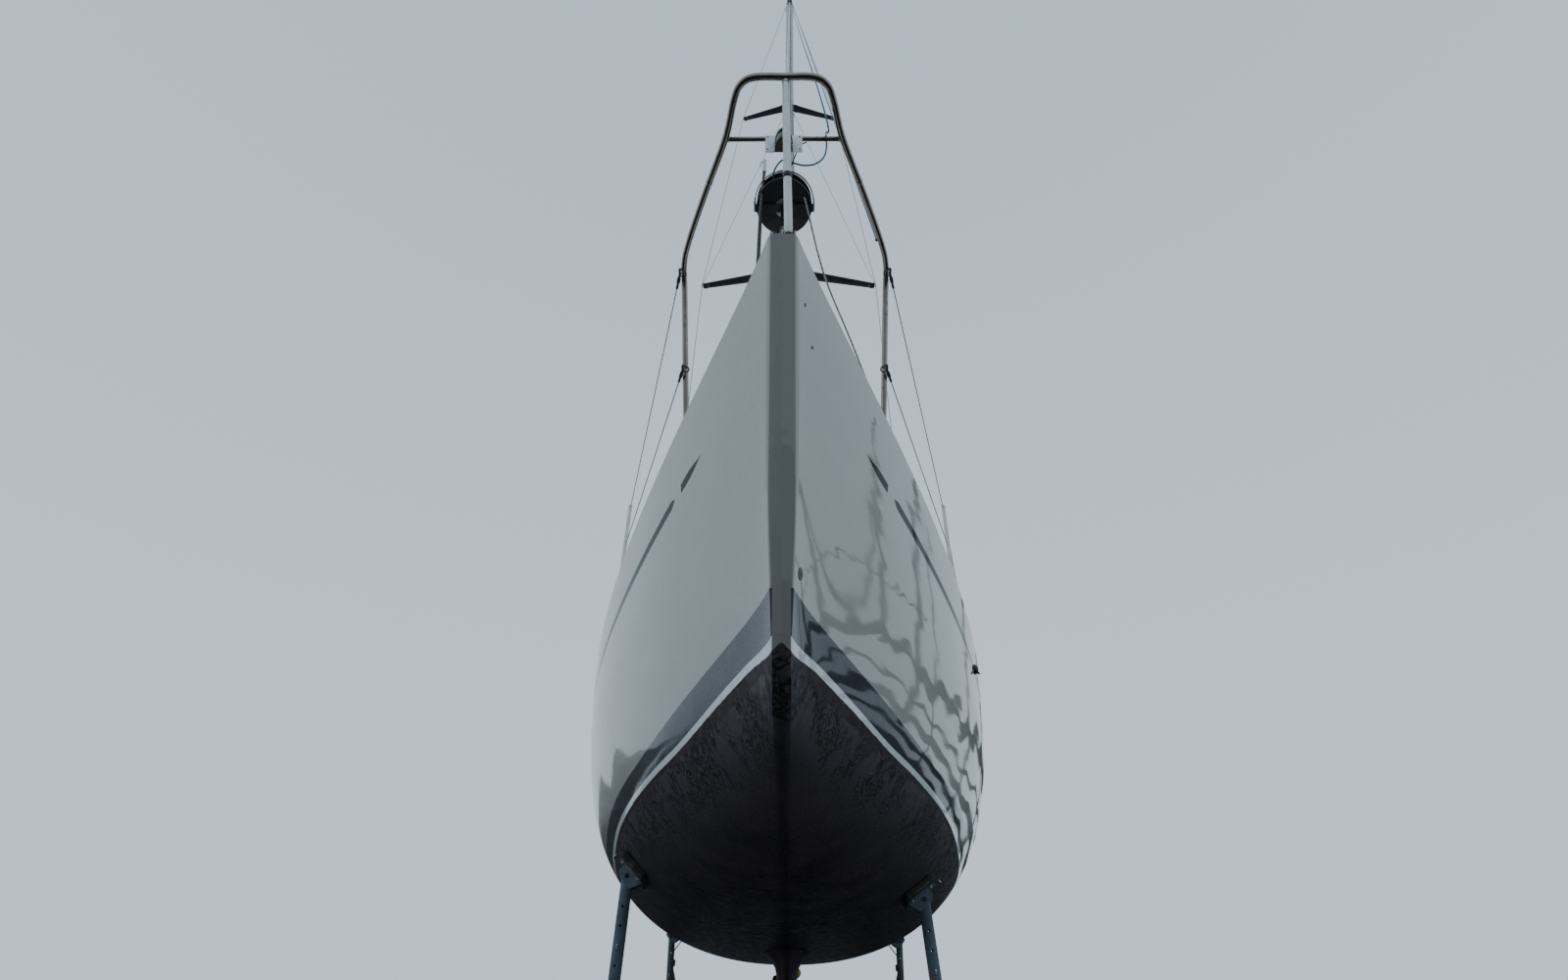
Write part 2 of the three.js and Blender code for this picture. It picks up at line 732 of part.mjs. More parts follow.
function onStay(distance) {
  const u = vec(stayHead).sub(vec(stayFoot)).normalize();
  return vec(stayFoot).addScaledVector(u, distance).toArray();
}

const stayLength = vec(stayHead).distanceTo(vec(stayFoot));

function makeDrum() {
  const { fromFoot, r, thick } = DRUM;
  return join(
    bar(onStay(fromFoot - thick / 2), onStay(fromFoot - thick / 2 + 8), r, 24),
    bar(onStay(fromFoot - thick / 2), onStay(fromFoot + thick / 2), 52, 20),
    bar(onStay(fromFoot + thick / 2 - 8), onStay(fromFoot + thick / 2), r, 24),
    bar(onStay(fromFoot + thick / 2 - 2), onStay(fromFoot + thick / 2 + 210), 30, 16),
  );
}

function makeFoil() {
  const from = DRUM.fromFoot + DRUM.thick / 2 + 210 + GAP;
  const swivel = stayLength - 900;
  return join(
    bar(onStay(from), onStay(stayLength - 320), STAY.foilR, 10),
    bar(onStay(swivel), onStay(swivel + 150), 42, 14),
    bar(onStay(stayLength - 322), onStay(stayLength - 30), 7, 8),
  );
}

// A box in the stay's own frame: across the boat, ahead of the stay and along it.
function stayBox([x0, x1], [ahead0, ahead1], [from, to]) {
  const aim = vec(stayHead).sub(vec(stayFoot)).normalize();
  const rings = [from, to].map((distance) => {
    const [, y, z] = onStay(distance);
    return [
      [x0, ahead0],
      [x1, ahead0],
      [x1, ahead1],
      [x0, ahead1],
    ].map(([x, ahead]) => [x, y - ahead * aim.z, z + ahead * aim.y]);
  });
  return loft(rings);
}

// The toggle under the drum, with the strap guard that keeps the furling line on it.
function makeToggle() {
  const low = DRUM.fromFoot - DRUM.thick / 2;
  const top = low - GAP;
  const { across, thick, wide } = GUARD;
  const out = across + thick;
  const deep = [-wide / 2, wide / 2];
  const high = DRUM.fromFoot + DRUM.thick / 2 - 10;
  const straps = [-1, 1].map((side) =>
    stayBox(side > 0 ? [across, out] : [-out, -across], deep, [low - 20, high]),
  );
  const hoop = bar(onStay(high - wide / 2), onStay(high), out, 32)
    .subtract(bar(onStay(high - wide), onStay(high + wide), across, 32))
    .subtract(stayBox([-2 * out, 2 * out], [-2 * out, deep[0]], [high - wide, high + wide]));
  return join(
    bar(onStay(0), onStay(top), 14, 10),
    bar(onStay(top - 14), onStay(top), 40, 16),
    stayBox([-out, out], deep, [low - 20, low - 14]),
    ...straps,
    hoop,
  );
}

function makeStemFitting() {
  const z = deckZ(120);
  const plate = box(-48, 48, 20, 260, z - 2, z + 10);
  const cheeks = [-1, 1].map((side) => sideBox(side, 40, 48, -60, 170, z - 60, z + 70));
  const nose = box(-40, 40, -14, 3, z - 60, z + 10);
  const tang = box(-9, 9, 60, 130, z + 5, stayFoot[2] - 4.2 - GAP);
  const roller = bar([-46, -30, z + 20], [46, -30, z + 20], 24, 14);
  const cut = join(hullSolid, slabForm());
  const clear = 2 * GAP;
  return join(plate, ...cheeks, nose, tang, roller)
    .subtract(cut.translate([0, 0, clear]))
    .subtract(cut.translate([0, -clear, 0]))
    .subtract(cut.translate([0, -clear, clear]));
}

// Rails

function makePulpit() {
  const { footX, footY, noseY, legLow, legHigh } = PULPIT;
  const z = WL + PULPIT.railWL;
  const foot = deckZ(footY, footX) + GAP + 2;
  const half = [
    [footX + 6, footY, foot],
    [464, 960, foot + 90],
    [480, 700, z - 90],
    [476, 590, z - 12],
    [440, 470, z],
    [345, 235, z],
    [240, -10, z],
    [196, -160, z],
    [168, -222, z],
    [115, noseY + 2, z],
  ];
  const loop = [...half, [0, noseY, z], ...half.map(([x, y, h]) => [-x, y, h]).reverse()];
  const rail = bentTube(loop, RAIL.tube, 60);
  const seat = deckZ(120) + 10 + GAP;
  const leg = bar([20, 30, seat + 6], [8, noseY + 8, z], legLow, 12, legHigh);
  const legFoot = bar([20, 30, seat], [20, 30, seat + 14], 18, 14);
  const cross = bar([-240, -10, z], [240, -10, z], RAIL.tube - 4, 12);
  const feet = [-1, 1].map((side) => bar([side * footX, footY, foot], [side * footX, footY, foot + 12], 22, 14));
  return join(rail, leg, legFoot, cross, ...feet).subtract(slabForm().translate([0, 0, GAP]));
}

function toeRail(side) {
  const rings = stationShares
    .filter((a, i) => a > 0.1 && a < 0.985 && i % 2 === 0)
    .map((a) => {
      const y = a * HULL.deckLength;
      const out = deckHalf(y) - 3;
      const low = deckZ(y, out - RAIL.toeThick) + GAP;
      return [
        [side * out, y, low],
        [side * out, y, low + RAIL.toeHigh],
        [side * (out - RAIL.toeThick), y, low + RAIL.toeHigh],
        [side * (out - RAIL.toeThick), y, low],
      ];
    });
  return loft(rings);
}

function makeToeRail(side) {
  const posts = STANCHIONS.map((y) => {
    const out = deckHalf(y) - 9;
    const low = deckZ(y, out) + GAP + 1;
    const base = box(-30, 8, -32, 32, 0, RAIL.toeHigh + 8);
    return join(
      base.translate([out, y, low]),
      bar([out - 8, y, low + 10], [out + 2, y, low + RAIL.high - 16], RAIL.stanchionTube, 10),
      bar([out - 8, y, low + 10], [out - 6, y, low + 110], 17, 10),
    );
  });
  const all = join(...posts);
  return toeRail(side)
    .add(side > 0 ? all : mirrored(all))
    .subtract(slabForm().translate([0, 0, GAP]));
}

function makePushpit(side) {
  const y0 = 9450;
  const y1 = 10330;
  const out0 = deckHalf(y0) - 70;
  const out1 = deckHalf(y1) - 90;
  const z = sheerZ(0.95) + RAIL.high;
  const low0 = deckZ(y0, out0) + GAP + 1;
  const low1 = deckZ(y1, out1) + GAP + 1;
  const lowGate = deckZ(y1, 330) + GAP + 1;
  const top = bentTube(
    [
      [out0, y0, low0],
      [out0, y0, z - 120],
      [out0 - 4, y0 + 60, z - 12],
      [out0 - 20, y0 + 160, z],
      [out1, y1 - 140, z],
      [out1 - 50, y1 - 35, z],
      [out1 - 150, y1, z],
      [440, y1, z],
      [350, y1, z - 30],
      [330, y1, z - 130],
      [330, y1, lowGate],
    ],
    RAIL.tube - 1,
    28,
  );
  const midZ = (low0 + z) / 2;
  const mid = bentTube(
    [
      [out0, y0, midZ],
      [out0 - 20, y0 + 160, midZ],
      [out1, y1 - 140, midZ],
      [out1 - 50, y1 - 35, midZ],
      [out1 - 150, y1, midZ],
      [440, y1, midZ],
      [330, y1, midZ],
    ],
    RAIL.tube - 3,
    14,
  );
  const corner = bar([out1 - 14, y1 - 100, low1], [out1 - 14, y1 - 100, z], RAIL.tube - 1, 10);
  const feet = [
    [out0, y0, low0],
    [out1 - 14, y1 - 100, low1],
    [330, y1, lowGate],
  ].map((p) => bar(p, [p[0], p[1], p[2] + 12], 30, 12));
  const all = join(top, mid, corner, ...feet);
  return side > 0 ? all : mirrored(all);
}

function makeNavLamp() {
  const z = WL + PULPIT.railWL;
  const plate = box(-74, 74, -38, -30, z - 140, z - 22);
  const body = box(-36, 36, -100, -37, z - 147, z - 62);
  const hook = box(-20, 20, -38, 4, z - 24, z - RAIL.tube + 4 - GAP);
  return join(plate, body, hook);
}

// Moving pieces

function makeBoom() {
  const z = WL + BOOM.heightWL;
  const pivotY = mastY(z) + MAST.halfLong + 40;
  const rise = BOOM.lift;
  const rings = [60, BOOM.length].map((reach) =>
    Array.from({ length: 14 }, (_, i) => {
      const t = (i / 14) * 2 * Math.PI;
      return [BOOM.halfWide * Math.cos(t), pivotY + reach, z + rise * reach + BOOM.halfHigh * Math.sin(t)];
    }),
  );
  const knuckle = join(
    box(-14, 14, pivotY - 18, pivotY + 75, z - 22, z + 22),
    bar([0, pivotY, z - 34], [0, pivotY, z + 34], 16, 12),
  );
  return loft(rings).add(knuckle);
}

function makeGooseneck() {
  const z = WL + BOOM.heightWL;
  const face = mastY(z) + MAST.halfLong;
  const pivotY = face + 40;
  const ears = [-1, 1].map((up) => {
    const low = up > 0 ? z + 34.8 : z - 46.8;
    return box(-20, 20, face + GAP + 2, pivotY + 16, low, low + 12);
  });
  const back = box(-22, 22, face + GAP + 1, face + 12, z - 60, z + 60);
  return join(back, ...ears);
}

function makeVang() {
  const z = WL + BOOM.heightWL;
  const pivotY = mastY(z) + MAST.halfLong + 40;
  const footZ = mastFootZ + VANG.footUp;
  const footY = mastY(footZ) + MAST.halfLong + 40;
  const head = [0, pivotY + VANG.reach, z + BOOM.lift * VANG.reach - BOOM.halfHigh - 14];
  const neck = vec([0, footY, footZ]).lerp(vec(head), 0.07).toArray();
  const middle = vec([0, footY, footZ]).lerp(vec(head), 0.55).toArray();
  return join(
    bar([0, footY, footZ], neck, 13, 10),
    bar(neck, middle, 25, 12),
    bar(middle, head, 18, 12),
    bar([0, footY, footZ - VANG.pinHalf], [0, footY, footZ + VANG.pinHalf], 16, 12),
    box(-14, 14, head[1] - 60, head[1] + 60, head[2] - 12, head[2] + 12),
  ).subtract(makeBoom().translate([0, 0, -GAP]));
}

function makeVangBracket() {
  const footZ = mastFootZ + VANG.footUp;
  const face = mastY(footZ) + MAST.halfLong;
  const clear = VANG.pinHalf + 0.8;
  const ears = [clear, -clear - VANG.ear].map((up) =>
    box(-15, 15, face + GAP + 2, face + 55, footZ + up, footZ + up + VANG.ear),
  );
  const back = box(-22, 22, face + GAP + 1, face + 12, footZ - 50, footZ + 50);
  return join(back, ...ears);
}

function makeHatchLid(hatch) {
  const { top } = hatchBase(hatch);
  const { half, y0, y1 } = hatch;
  return box(-half - 26, half + 26, y0 - 26, y1 + 26, top + GAP, top + 28);
}

function makeCompanionHatch() {
  const { y0, y1, half } = HATCHES.companion;
  const low = slideLow();
  const top = box(-half - 12, half + 12, y0 - 60, y1 + 34, low, low + 28);
  return top.add(box(-half - 12, half + 12, y1 + 14, y1 + 34, low - 20, low + 4));
}

function makeCompanionDoor(side) {
  const { y1, half } = HATCHES.companion;
  return sideBox(side, 3, half + 22, y1 + 2 * GAP, y1 + 2 * GAP + 22, doorSill() + 6, slideLow() - 26);
}

function makeAnchorLid() {
  const low = (y) => deckZ(y) + GAP;
  const lid = loft([anchorOutline(24, low), anchorOutline(24, (y) => low(y) + 20)]);
  return lid.subtract(slabForm().translate([0, 0, 2 * GAP]));
}

function makeLockerLid(side) {
  const seat = sheerZ(shareAtDeck(8100)) - COCKPIT.seatDrop;
  return sideBox(side, 390, 870, 7760, 8660, seat + GAP, seat + 22);
}

function makeWinch(side) {
  const profile = [
    [0, 0],
    [82, 0],
    [82, 14],
    [56, 30],
    [50, 60],
    [56, 100],
    [78, 118],
    [78, 142],
    [40, 150],
    [0, 150],
  ];
  return turned(profile, [side * WINCH.out, WINCH.y, winchLow()]);
}

function makePedestal() {
  const sole = WL + COCKPIT.sole;
  const y = WHEEL.y - 170;
  const column = bar([0, y, sole + GAP], [0, y, sole + WHEEL.centre + 90], 78, 18, 62);
  const hub = bar([0, y, sole + WHEEL.centre], [0, WHEEL.y - 34, sole + WHEEL.centre], 34, 14);
  const guard = bentTube(
    [
      [-170, y - 90, sole + 2],
      [-170, y - 90, sole + WHEEL.centre + 60],
      [-120, y - 90, sole + WHEEL.centre + 180],
      [0, y - 90, sole + WHEEL.centre + 200],
      [120, y - 90, sole + WHEEL.centre + 180],
      [170, y - 90, sole + WHEEL.centre + 60],
      [170, y - 90, sole + 2],
    ],
    14,
    30,
  ).subtract(box(-400, 400, y - 400, y + 400, sole - 100, sole + GAP));
  const brace = box(-180, 180, y - 98, y - 40, sole + 560, sole + 580);
  return join(column, hub, guard, brace);
}

function makeWheel() {
  const z = WL + COCKPIT.sole + WHEEL.centre;
  const rim = new THREE.TorusGeometry(WHEEL.r, WHEEL.rim, 5, 28);
  rim.rotateX(Math.PI / 2);
  rim.translate(0, WHEEL.y, z);
  rim.deleteAttribute("normal");
  rim.deleteAttribute("uv");
  const hub = bar([0, WHEEL.y - 33.5, z], [0, WHEEL.y + 30, z], 46, 16);
  const spokes = Array.from({ length: 5 }, (_, i) => {
    const t = (i / 5) * 2 * Math.PI;
    return bar([0, WHEEL.y, z], [WHEEL.r * Math.sin(t), WHEEL.y, z + WHEEL.r * Math.cos(t)], 8, 8);
  });
  return join(facingOut(mergeVertices(rim, 1e-3)), hub, ...spokes);
}

function makeTraveller() {
  const low = slideLow() + 52 + GAP;
  return join(
    box(-640, 640, 6330, 6370, low, low + 26),
    ...[-560, 560].map((x) => box(x - 30, x + 30, 6325, 6375, low - 160, low + 2)),
    box(-60, 60, 6310, 6390, low + 20, low + 60),
  ).subtract(roofForm().translate([0, 0, GAP]));
}

// Below the waterline

function makeShaft() {
  return bar(onShaft(SHAFT.fromY), onShaft(SHAFT.toY), SHAFT.r, 16);
}

function makeStrut() {
  const y = 9030;
  const barrel = bar(onShaft(y - 55), onShaft(y + 55), 27, 16);
  const centre = onShaft(y);
  const leg = loft(
    [centre[2], WL - 100].map((z) => foilRing({ nose: y - 50, chord: 100, thick: 20 }, z, 6)),
  );
  return join(barrel, leg)
    .subtract(bar(onShaft(y - 200), onShaft(y + 200), SHAFT.r + 1, 16))
    .subtract(hullSolid.translate([0, 0, -GAP]));
}

function makePropeller() {
  const hub = bar(onShaft(PROP.y - 40), onShaft(PROP.y + 50), PROP.hubR, 16, PROP.hubR - 10);
  const bore = bar(onShaft(PROP.y - 300), onShaft(PROP.y + 300), SHAFT.r + GAP + 0.4, 16);
  const tilt = -Math.atan(SHAFT.slope);
  const centre = onShaft(PROP.y);
  const blades = [0, 1, 2].map((i) => {
    const outline = [20, 60, 110, 160, 190, PROP.r];
    const widths = [16, 34, 58, 60, 44, 14];
    const rings = outline.map((r, k) => {
      const twist = 0.95 - 0.6 * (r / PROP.r);
      const half = widths[k];
      return [
        [-half, -3],
        [half, -3],
        [half, 3],
        [-half, 3],
      ].map(([u, v]) => [
        u * Math.cos(twist) - v * Math.sin(twist),
        u * Math.sin(twist) + v * Math.cos(twist),
        r,
      ]);
    });
    const blade = toGeometry(loft(rings));
    blade.rotateY((i / 3) * 2 * Math.PI);
    blade.rotateX(tilt);
    blade.translate(...centre);
    return toSolid(blade);
  });
  return join(hub, ...blades).subtract(bore);
}

// Inside the cabin

function makeEngine() {
  const low = WL + CABIN.sole + GAP;
  return box(-240, 240, 7420, 8140, low, low + 520);
}

function makeBulkhead() {
  const low = WL + CABIN.sole + GAP;
  const shape = join(
    hullInside.intersect(box(-3000, 3000, 0, 9000, low, sheerZ(0.4) - 4)),
    roofForm(DECK.skin + 1, 100),
  );
  const door = box(-280, 280, 3000, 5000, low + 60, sheerZ(0.4) + 150);
  return shape.intersect(box(-3000, 3000, 4110, 4140, low, roofZ(4110) - 36)).subtract(door);
}

function makeSettee(side) {
  const low = WL + CABIN.sole + GAP;
  const seat = sideBox(side, 480, 3000, 4500, 6500, low, low + 420);
  const back = sideBox(side, 1050, 3000, 4500, 6500, low + 400, low + 760);
  return join(seat, back).intersect(hullInside);
}

function makeSteps() {
  const low = WL + CABIN.sole + GAP;
  const treads = [0, 1, 2, 3].map((i) => box(-260, 260, 6870 + i * 110, 7350, low + i * 240, low + i * 240 + 240));
  return join(...treads);
}

// Cradle

function surfaceAt(y, out) {
  // The hull's point and outward normal at y, a distance out from the centre line.
  let best = null;
  for (let a = 0.1; a < 0.95; a += 0.005) {
    for (let h = 0; h < 0.6; h += 0.004) {
      const p = hullPoint(a, h);
      const off = Math.abs(p[0] - out) + Math.abs(p[1] - y);
      if (!best || off < best.off) best = { off, a, h };
    }
  }
  const point = vec(hullPoint(best.a, best.h));
  const alongY = vec(hullPoint(best.a + 0.01, best.h)).sub(vec(hullPoint(best.a - 0.01, best.h)));
  const alongH = vec(hullPoint(best.a, best.h + 0.01)).sub(vec(hullPoint(best.a, best.h - 0.01)));
  const normal = alongH.cross(alongY).normalize();
  if (normal.z > 0) normal.negate();
  return { point, normal };
}

function padAt(post) {
  const { point, normal } = surfaceAt(post.y, post.out);
  return { point, normal, back: point.clone().addScaledVector(normal, CRADLE.padThick + 1.2 + GAP) };
}

function makePad(post) {
  const { point, normal } = padAt(post);
  const plate = new THREE.BoxGeometry(CRADLE.padHigh, CRADLE.padThick, CRADLE.padLong);
  plate.translate(0, CRADLE.padThick / 2 + 1.2, 0);
  const lengthways = new THREE.Vector3(0, 1, 0).projectOnPlane(normal).normalize();
  const across = new THREE.Vector3().crossVectors(normal, lengthways);
  plate.applyMatrix4(new THREE.Matrix4().makeBasis(across, normal, lengthways).setPosition(point));
  return toSolid(plate).subtract(hullSolid.translate([0, 0, -GAP]));
}

function makePost(post) {
  const { back, normal } = padAt(post);
  const { beam, postR, braceR } = CRADLE;
  const seat = beam + GAP;
  const cup = 36;
  const centre = back.clone().addScaledVector(normal, cup).toArray();
  const foot = [post.foot, post.y, seat];
  const shoe = box(post.foot - 70, post.foot + 70, post.y - 48, post.y + 48, seat, beam + 12);
  const top = vec(foot).lerp(vec(centre), 0.98).toArray();
  const leg = bar([foot[0], foot[1], foot[2] - 40], top, postR, 14);
  const knee = vec(foot).lerp(vec(top), post.brace).toArray();
  const strutFoot = [post.foot - post.splay, post.y, seat - 20];
  const strut = bar(strutFoot, knee, braceR, 10);
  const strutShoe = box(strutFoot[0] - 45, strutFoot[0] + 45, post.y - 40, post.y + 40, seat, beam + 10);
  const under = box(0, 2 * post.foot, post.y - 300, post.y + 300, -100, seat);
  return join(
    shoe,
    leg.subtract(under),
    strut.subtract(under),
    strutShoe,
    ball(centre, cup, 12),
    bar(top, centre, 22, 12),
    bar(centre, back.toArray(), 24, 12),
  );
}

function makeCradleBase() {
  const { beam, halfWide, sideX, frontY, aftY, keelY } = CRADLE;
  const half = beam / 2;
  return join(
    ...[frontY, aftY].map((y) => box(-halfWide, halfWide, y - half, y + half, 0, beam)),
    ...keelY.map((y) => box(-sideX, sideX, y - half, y + half, 0, beam)),
    ...[-1, 1].map((side) => sideBox(side, sideX - half, sideX + half, frontY - 300, aftY + 300, 0, beam)),
  );
}

function makeKeelTimbers() {
  const low = CRADLE.beam + GAP;
  const blocks = CRADLE.keelY.map((y) => box(-200, 200, y - 60, y + 60, low, KEEL_REST - GAP));
  return join(...blocks, box(-80, 80, 5100, 6000, low, KEEL_REST - GAP));
}

// Colours, roughness and metalness
const FINISH = {
  gelcoat: [0xc9ccd0, 0.25, 0],
  antifoul: [0x1c1c1d, 0.9, 0],
  deck: [0xd8d8d2, 0.6, 0],
  alloy: [0xa9abad, 0.4, 0.8],
  steel: [0xd0d2d4, 0.15, 1],
  black: [0x141414, 0.5, 0],
  glass: [0x23282b, 0.1, 0],
  paint: [0x3c4248, 0.6, 0.3],
  bronze: [0x9a7b45, 0.4, 0.9],
  wood: [0x8a6238, 0.6, 0],
  cloth: [0x39506b, 0.9, 0],
};

const yacht = new THREE.Group();
const frame = new THREE.Group();
frame.position.y = -MID_LENGTH;
yacht.add(frame);

function place(name, solid, finish) {
  const [color, roughness, metalness] = FINISH[finish];
  const material = new THREE.MeshStandardMaterial({ color, roughness, metalness });
  const mesh = new THREE.Mesh(toGeometry(solid), material);
  mesh.name = name;
  frame.add(mesh);
}

place("hull", makeHull(), "gelcoat");
place("keel", makeKeel(), "antifoul");
place("rudder", makeRudder(), "antifoul");
place("deck", makeDeck(), "deck");
place("stem_fitting", makeStemFitting(), "steel");
place("pulpit", makePulpit(), "steel");
place("nav_lamp", makeNavLamp(), "black");
place("mast", makeMast(), "alloy");
place("masthead_crane", makeCrane(), "black");
place("boom", makeBoom(), "alloy");
place("gooseneck", makeGooseneck(), "steel");
place("vang", makeVang(), "alloy");
place("vang_bracket", makeVangBracket(), "steel");
place("stay_toggle", makeToggle(), "steel");
place("furler_drum", makeDrum(), "black");
place("stay_foil", makeFoil(), "alloy");
place("backstay", makeBackstay(), "steel");
place("anchor_lid", makeAnchorLid(), "deck");
place("fore_hatch", makeHatchLid(HATCHES.fore), "glass");
place("saloon_hatch", makeHatchLid(HATCHES.saloon), "glass");
place("companion_hatch", makeCompanionHatch(), "glass");
place("traveller", makeTraveller(), "black");
place("pedestal", makePedestal(), "steel");
place("wheel", makeWheel(), "steel");
place("prop_shaft", makeShaft(), "steel");
place("prop_strut", makeStrut(), "bronze");
place("propeller", makePropeller(), "bronze");
place("engine", makeEngine(), "black");
place("bulkhead", makeBulkhead(), "wood");
place("cabin_steps", makeSteps(), "wood");
place("cradle_base", makeCradleBase(), "paint");
place("keel_timbers", makeKeelTimbers(), "wood");

for (const [word, side] of [
  ["port", 1],
  ["stbd", -1],
]) {
  place(`window_${word}`, makeWindow(side), "glass");
  place(`toe_rail_${word}`, makeToeRail(side), "alloy");
  place(`pushpit_${word}`, makePushpit(side), "steel");
  place(`shroud_${word}`, makeShroud(side), "steel");
  place(`spreader_low_${word}`, makeSpreader(side, SPREADERS.lower), "black");
  place(`spreader_high_${word}`, makeSpreader(side, SPREADERS.upper), "black");
  place(`companion_door_${word}`, makeCompanionDoor(side), "wood");
  place(`locker_lid_${word}`, makeLockerLid(side), "deck");
  place(`winch_${word}`, makeWinch(side), "steel");
  place(`settee_${word}`, makeSettee(side), "cloth");
}

for (const post of POSTS) {
  const pad = makePad(post);
  const leg = makePost(post);
  place(`cradle_pad_${post.name}`, post.side > 0 ? pad : mirrored(pad), "wood");
  place(`cradle_post_${post.name}`, post.side > 0 ? leg : mirrored(leg), "paint");
}

export default yacht;
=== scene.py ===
"""The looks of a sailing yacht laid up on its cradle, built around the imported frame.

Metres. x is to port, y runs aft from the middle of the footprint, z is up from the floor.
A length named s is measured aft from the stem head.
"""

import json
import math

import bmesh
import bpy
from mathutils import Matrix, Vector
from mathutils.bvhtree import BVHTree

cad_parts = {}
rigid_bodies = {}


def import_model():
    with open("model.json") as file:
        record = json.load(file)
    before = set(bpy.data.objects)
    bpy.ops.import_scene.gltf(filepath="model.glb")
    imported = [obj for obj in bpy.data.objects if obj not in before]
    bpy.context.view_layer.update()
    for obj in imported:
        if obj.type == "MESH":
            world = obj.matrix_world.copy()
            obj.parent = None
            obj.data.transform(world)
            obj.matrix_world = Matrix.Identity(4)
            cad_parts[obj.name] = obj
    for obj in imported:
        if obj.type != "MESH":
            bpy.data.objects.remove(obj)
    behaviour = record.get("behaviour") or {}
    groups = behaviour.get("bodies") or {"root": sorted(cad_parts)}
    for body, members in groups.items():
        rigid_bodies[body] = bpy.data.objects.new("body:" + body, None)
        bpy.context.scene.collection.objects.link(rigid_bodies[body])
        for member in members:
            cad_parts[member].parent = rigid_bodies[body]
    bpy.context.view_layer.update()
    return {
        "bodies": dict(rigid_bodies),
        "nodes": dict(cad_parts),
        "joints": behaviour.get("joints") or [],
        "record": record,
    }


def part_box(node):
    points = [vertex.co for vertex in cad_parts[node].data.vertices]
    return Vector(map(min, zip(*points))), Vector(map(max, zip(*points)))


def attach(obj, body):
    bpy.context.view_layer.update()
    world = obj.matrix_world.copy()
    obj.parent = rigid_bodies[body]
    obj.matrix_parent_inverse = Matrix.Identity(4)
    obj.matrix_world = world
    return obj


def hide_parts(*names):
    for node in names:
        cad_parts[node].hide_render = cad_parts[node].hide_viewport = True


bl_info = {
    "name": "Sailing yacht ashore",
    "version": (1, 0, 0),
    "blender": (4, 5, 0),
    "location": "View3D > Sidebar > Yacht",
    "description": "Builds the looks of a sailing yacht on its cradle around the packed frame",
    "category": "Object",
}

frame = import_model()

# The yacht's driving sizes
BOW = -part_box("hull")[0].y
WATERLINE = 2.0
HALF_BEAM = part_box("hull")[1].x
DECK_LENGTH = 10.45
BOTTOM_LENGTH = 10.4
STEM_FOOT = 0.5
WIDEST = 0.6
DEEPEST = 0.52
DEPTH = 0.501
FREEBOARD = 1.354
SHEER_DROP = 0.35
SKIN = 0.06
# How the sections change: share of the length, fullness of the topsides and of the bilge
SECTIONS = (
    (0, 2.16, 1.69),
    (0.15, 3.32, 2.44),
    (0.35, 3.05, 2.23),
    (0.6, 2.9, 2.2),
    (1, 2.8, 2.2),
)
# The coachroof: s, half width at its base and its top, rise above the side deck
ROOF = (
    (2.95, 0.43, 0.33, 0.02),
    (3.35, 0.64, 0.48, 0.13),
    (4.0, 0.86, 0.66, 0.265),
    (4.8, 1.01, 0.8, 0.345),
    (5.8, 1.11, 0.9, 0.375),
    (7.42, 1.13, 0.93, 0.39),
)
ROOF_START, ROOF_END = ROOF[0][0], ROOF[-1][0]
DECK_RISE = 0.0253
CAMBER = 0.035
# The name that goes with each side: 1 is port and -1 is starboard
SIDES = {1: "port", -1: "stbd"}
UP = Vector((0, 0, 1))
RAKE = math.tan(math.radians(1))
MAST_FOOT = Vector((0, 4.13 - BOW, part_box("mast")[0].z))
MAST_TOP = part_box("mast")[1].z
STAY_FOOT = Vector((0, 0.095 - BOW, 3.454))
STAY_HEAD = Vector((0, 4.215 - BOW, 16.74))
STAY_AIM = (STAY_HEAD - STAY_FOOT).normalized()


def lay(x, s, z):
    """The point x to port, s aft of the stem head and z above the floor."""
    return Vector((x, s - BOW, z))


def clamp(value, low=0.0, high=1.0):
    return max(low, min(high, value))


def lerp(a, b, t):
    return a + (b - a) * t


def shares(count, power=1.0):
    return [(i / count) ** power for i in range(count + 1)]


def along(rows, column, at):
    """A smooth value between the rows of a table that is keyed by its first column."""
    i = 0
    while i < len(rows) - 2 and at > rows[i + 1][0]:
        i += 1
    a, b = rows[i], rows[i + 1]
    before, after = rows[max(i - 1, 0)], rows[min(i + 2, len(rows) - 1)]
    span = b[0] - a[0]
    t = clamp((at - a[0]) / span)
    start = (b[column] - before[column]) / (b[0] - before[0]) * span
    end = (after[column] - a[column]) / (after[0] - a[0]) * span
    return (
        (1 + 2 * t) * (1 - t) ** 2 * a[column]
        + t * (1 - t) ** 2 * start
        + t * t * (3 - 2 * t) * b[column]
        + t * t * (t - 1) * end
    )


def stem_half(h):
    return 0.03 + 0.02 * h


def sheer_half(a):
    if a > WIDEST:
        return HALF_BEAM - 0.499 * ((a - WIDEST) / (1 - WIDEST)) ** 2.2
    return 0.05 + (HALF_BEAM - 0.05) * (1 - (1 - a / WIDEST) ** 2) ** 1.092


def sheer_z(a):
    return WATERLINE + FREEBOARD - SHEER_DROP * (1 - (1 - a) ** 2)


def centre_z(a):
    """The hull's lowest line."""
    if a > DEEPEST:
        return WATERLINE - DEPTH + 0.681 * ((a - DEEPEST) / (1 - DEEPEST)) ** 2
    return WATERLINE + 0.03 - 0.531 * (1 - (1 - a / DEEPEST) ** 2.7) ** 0.505


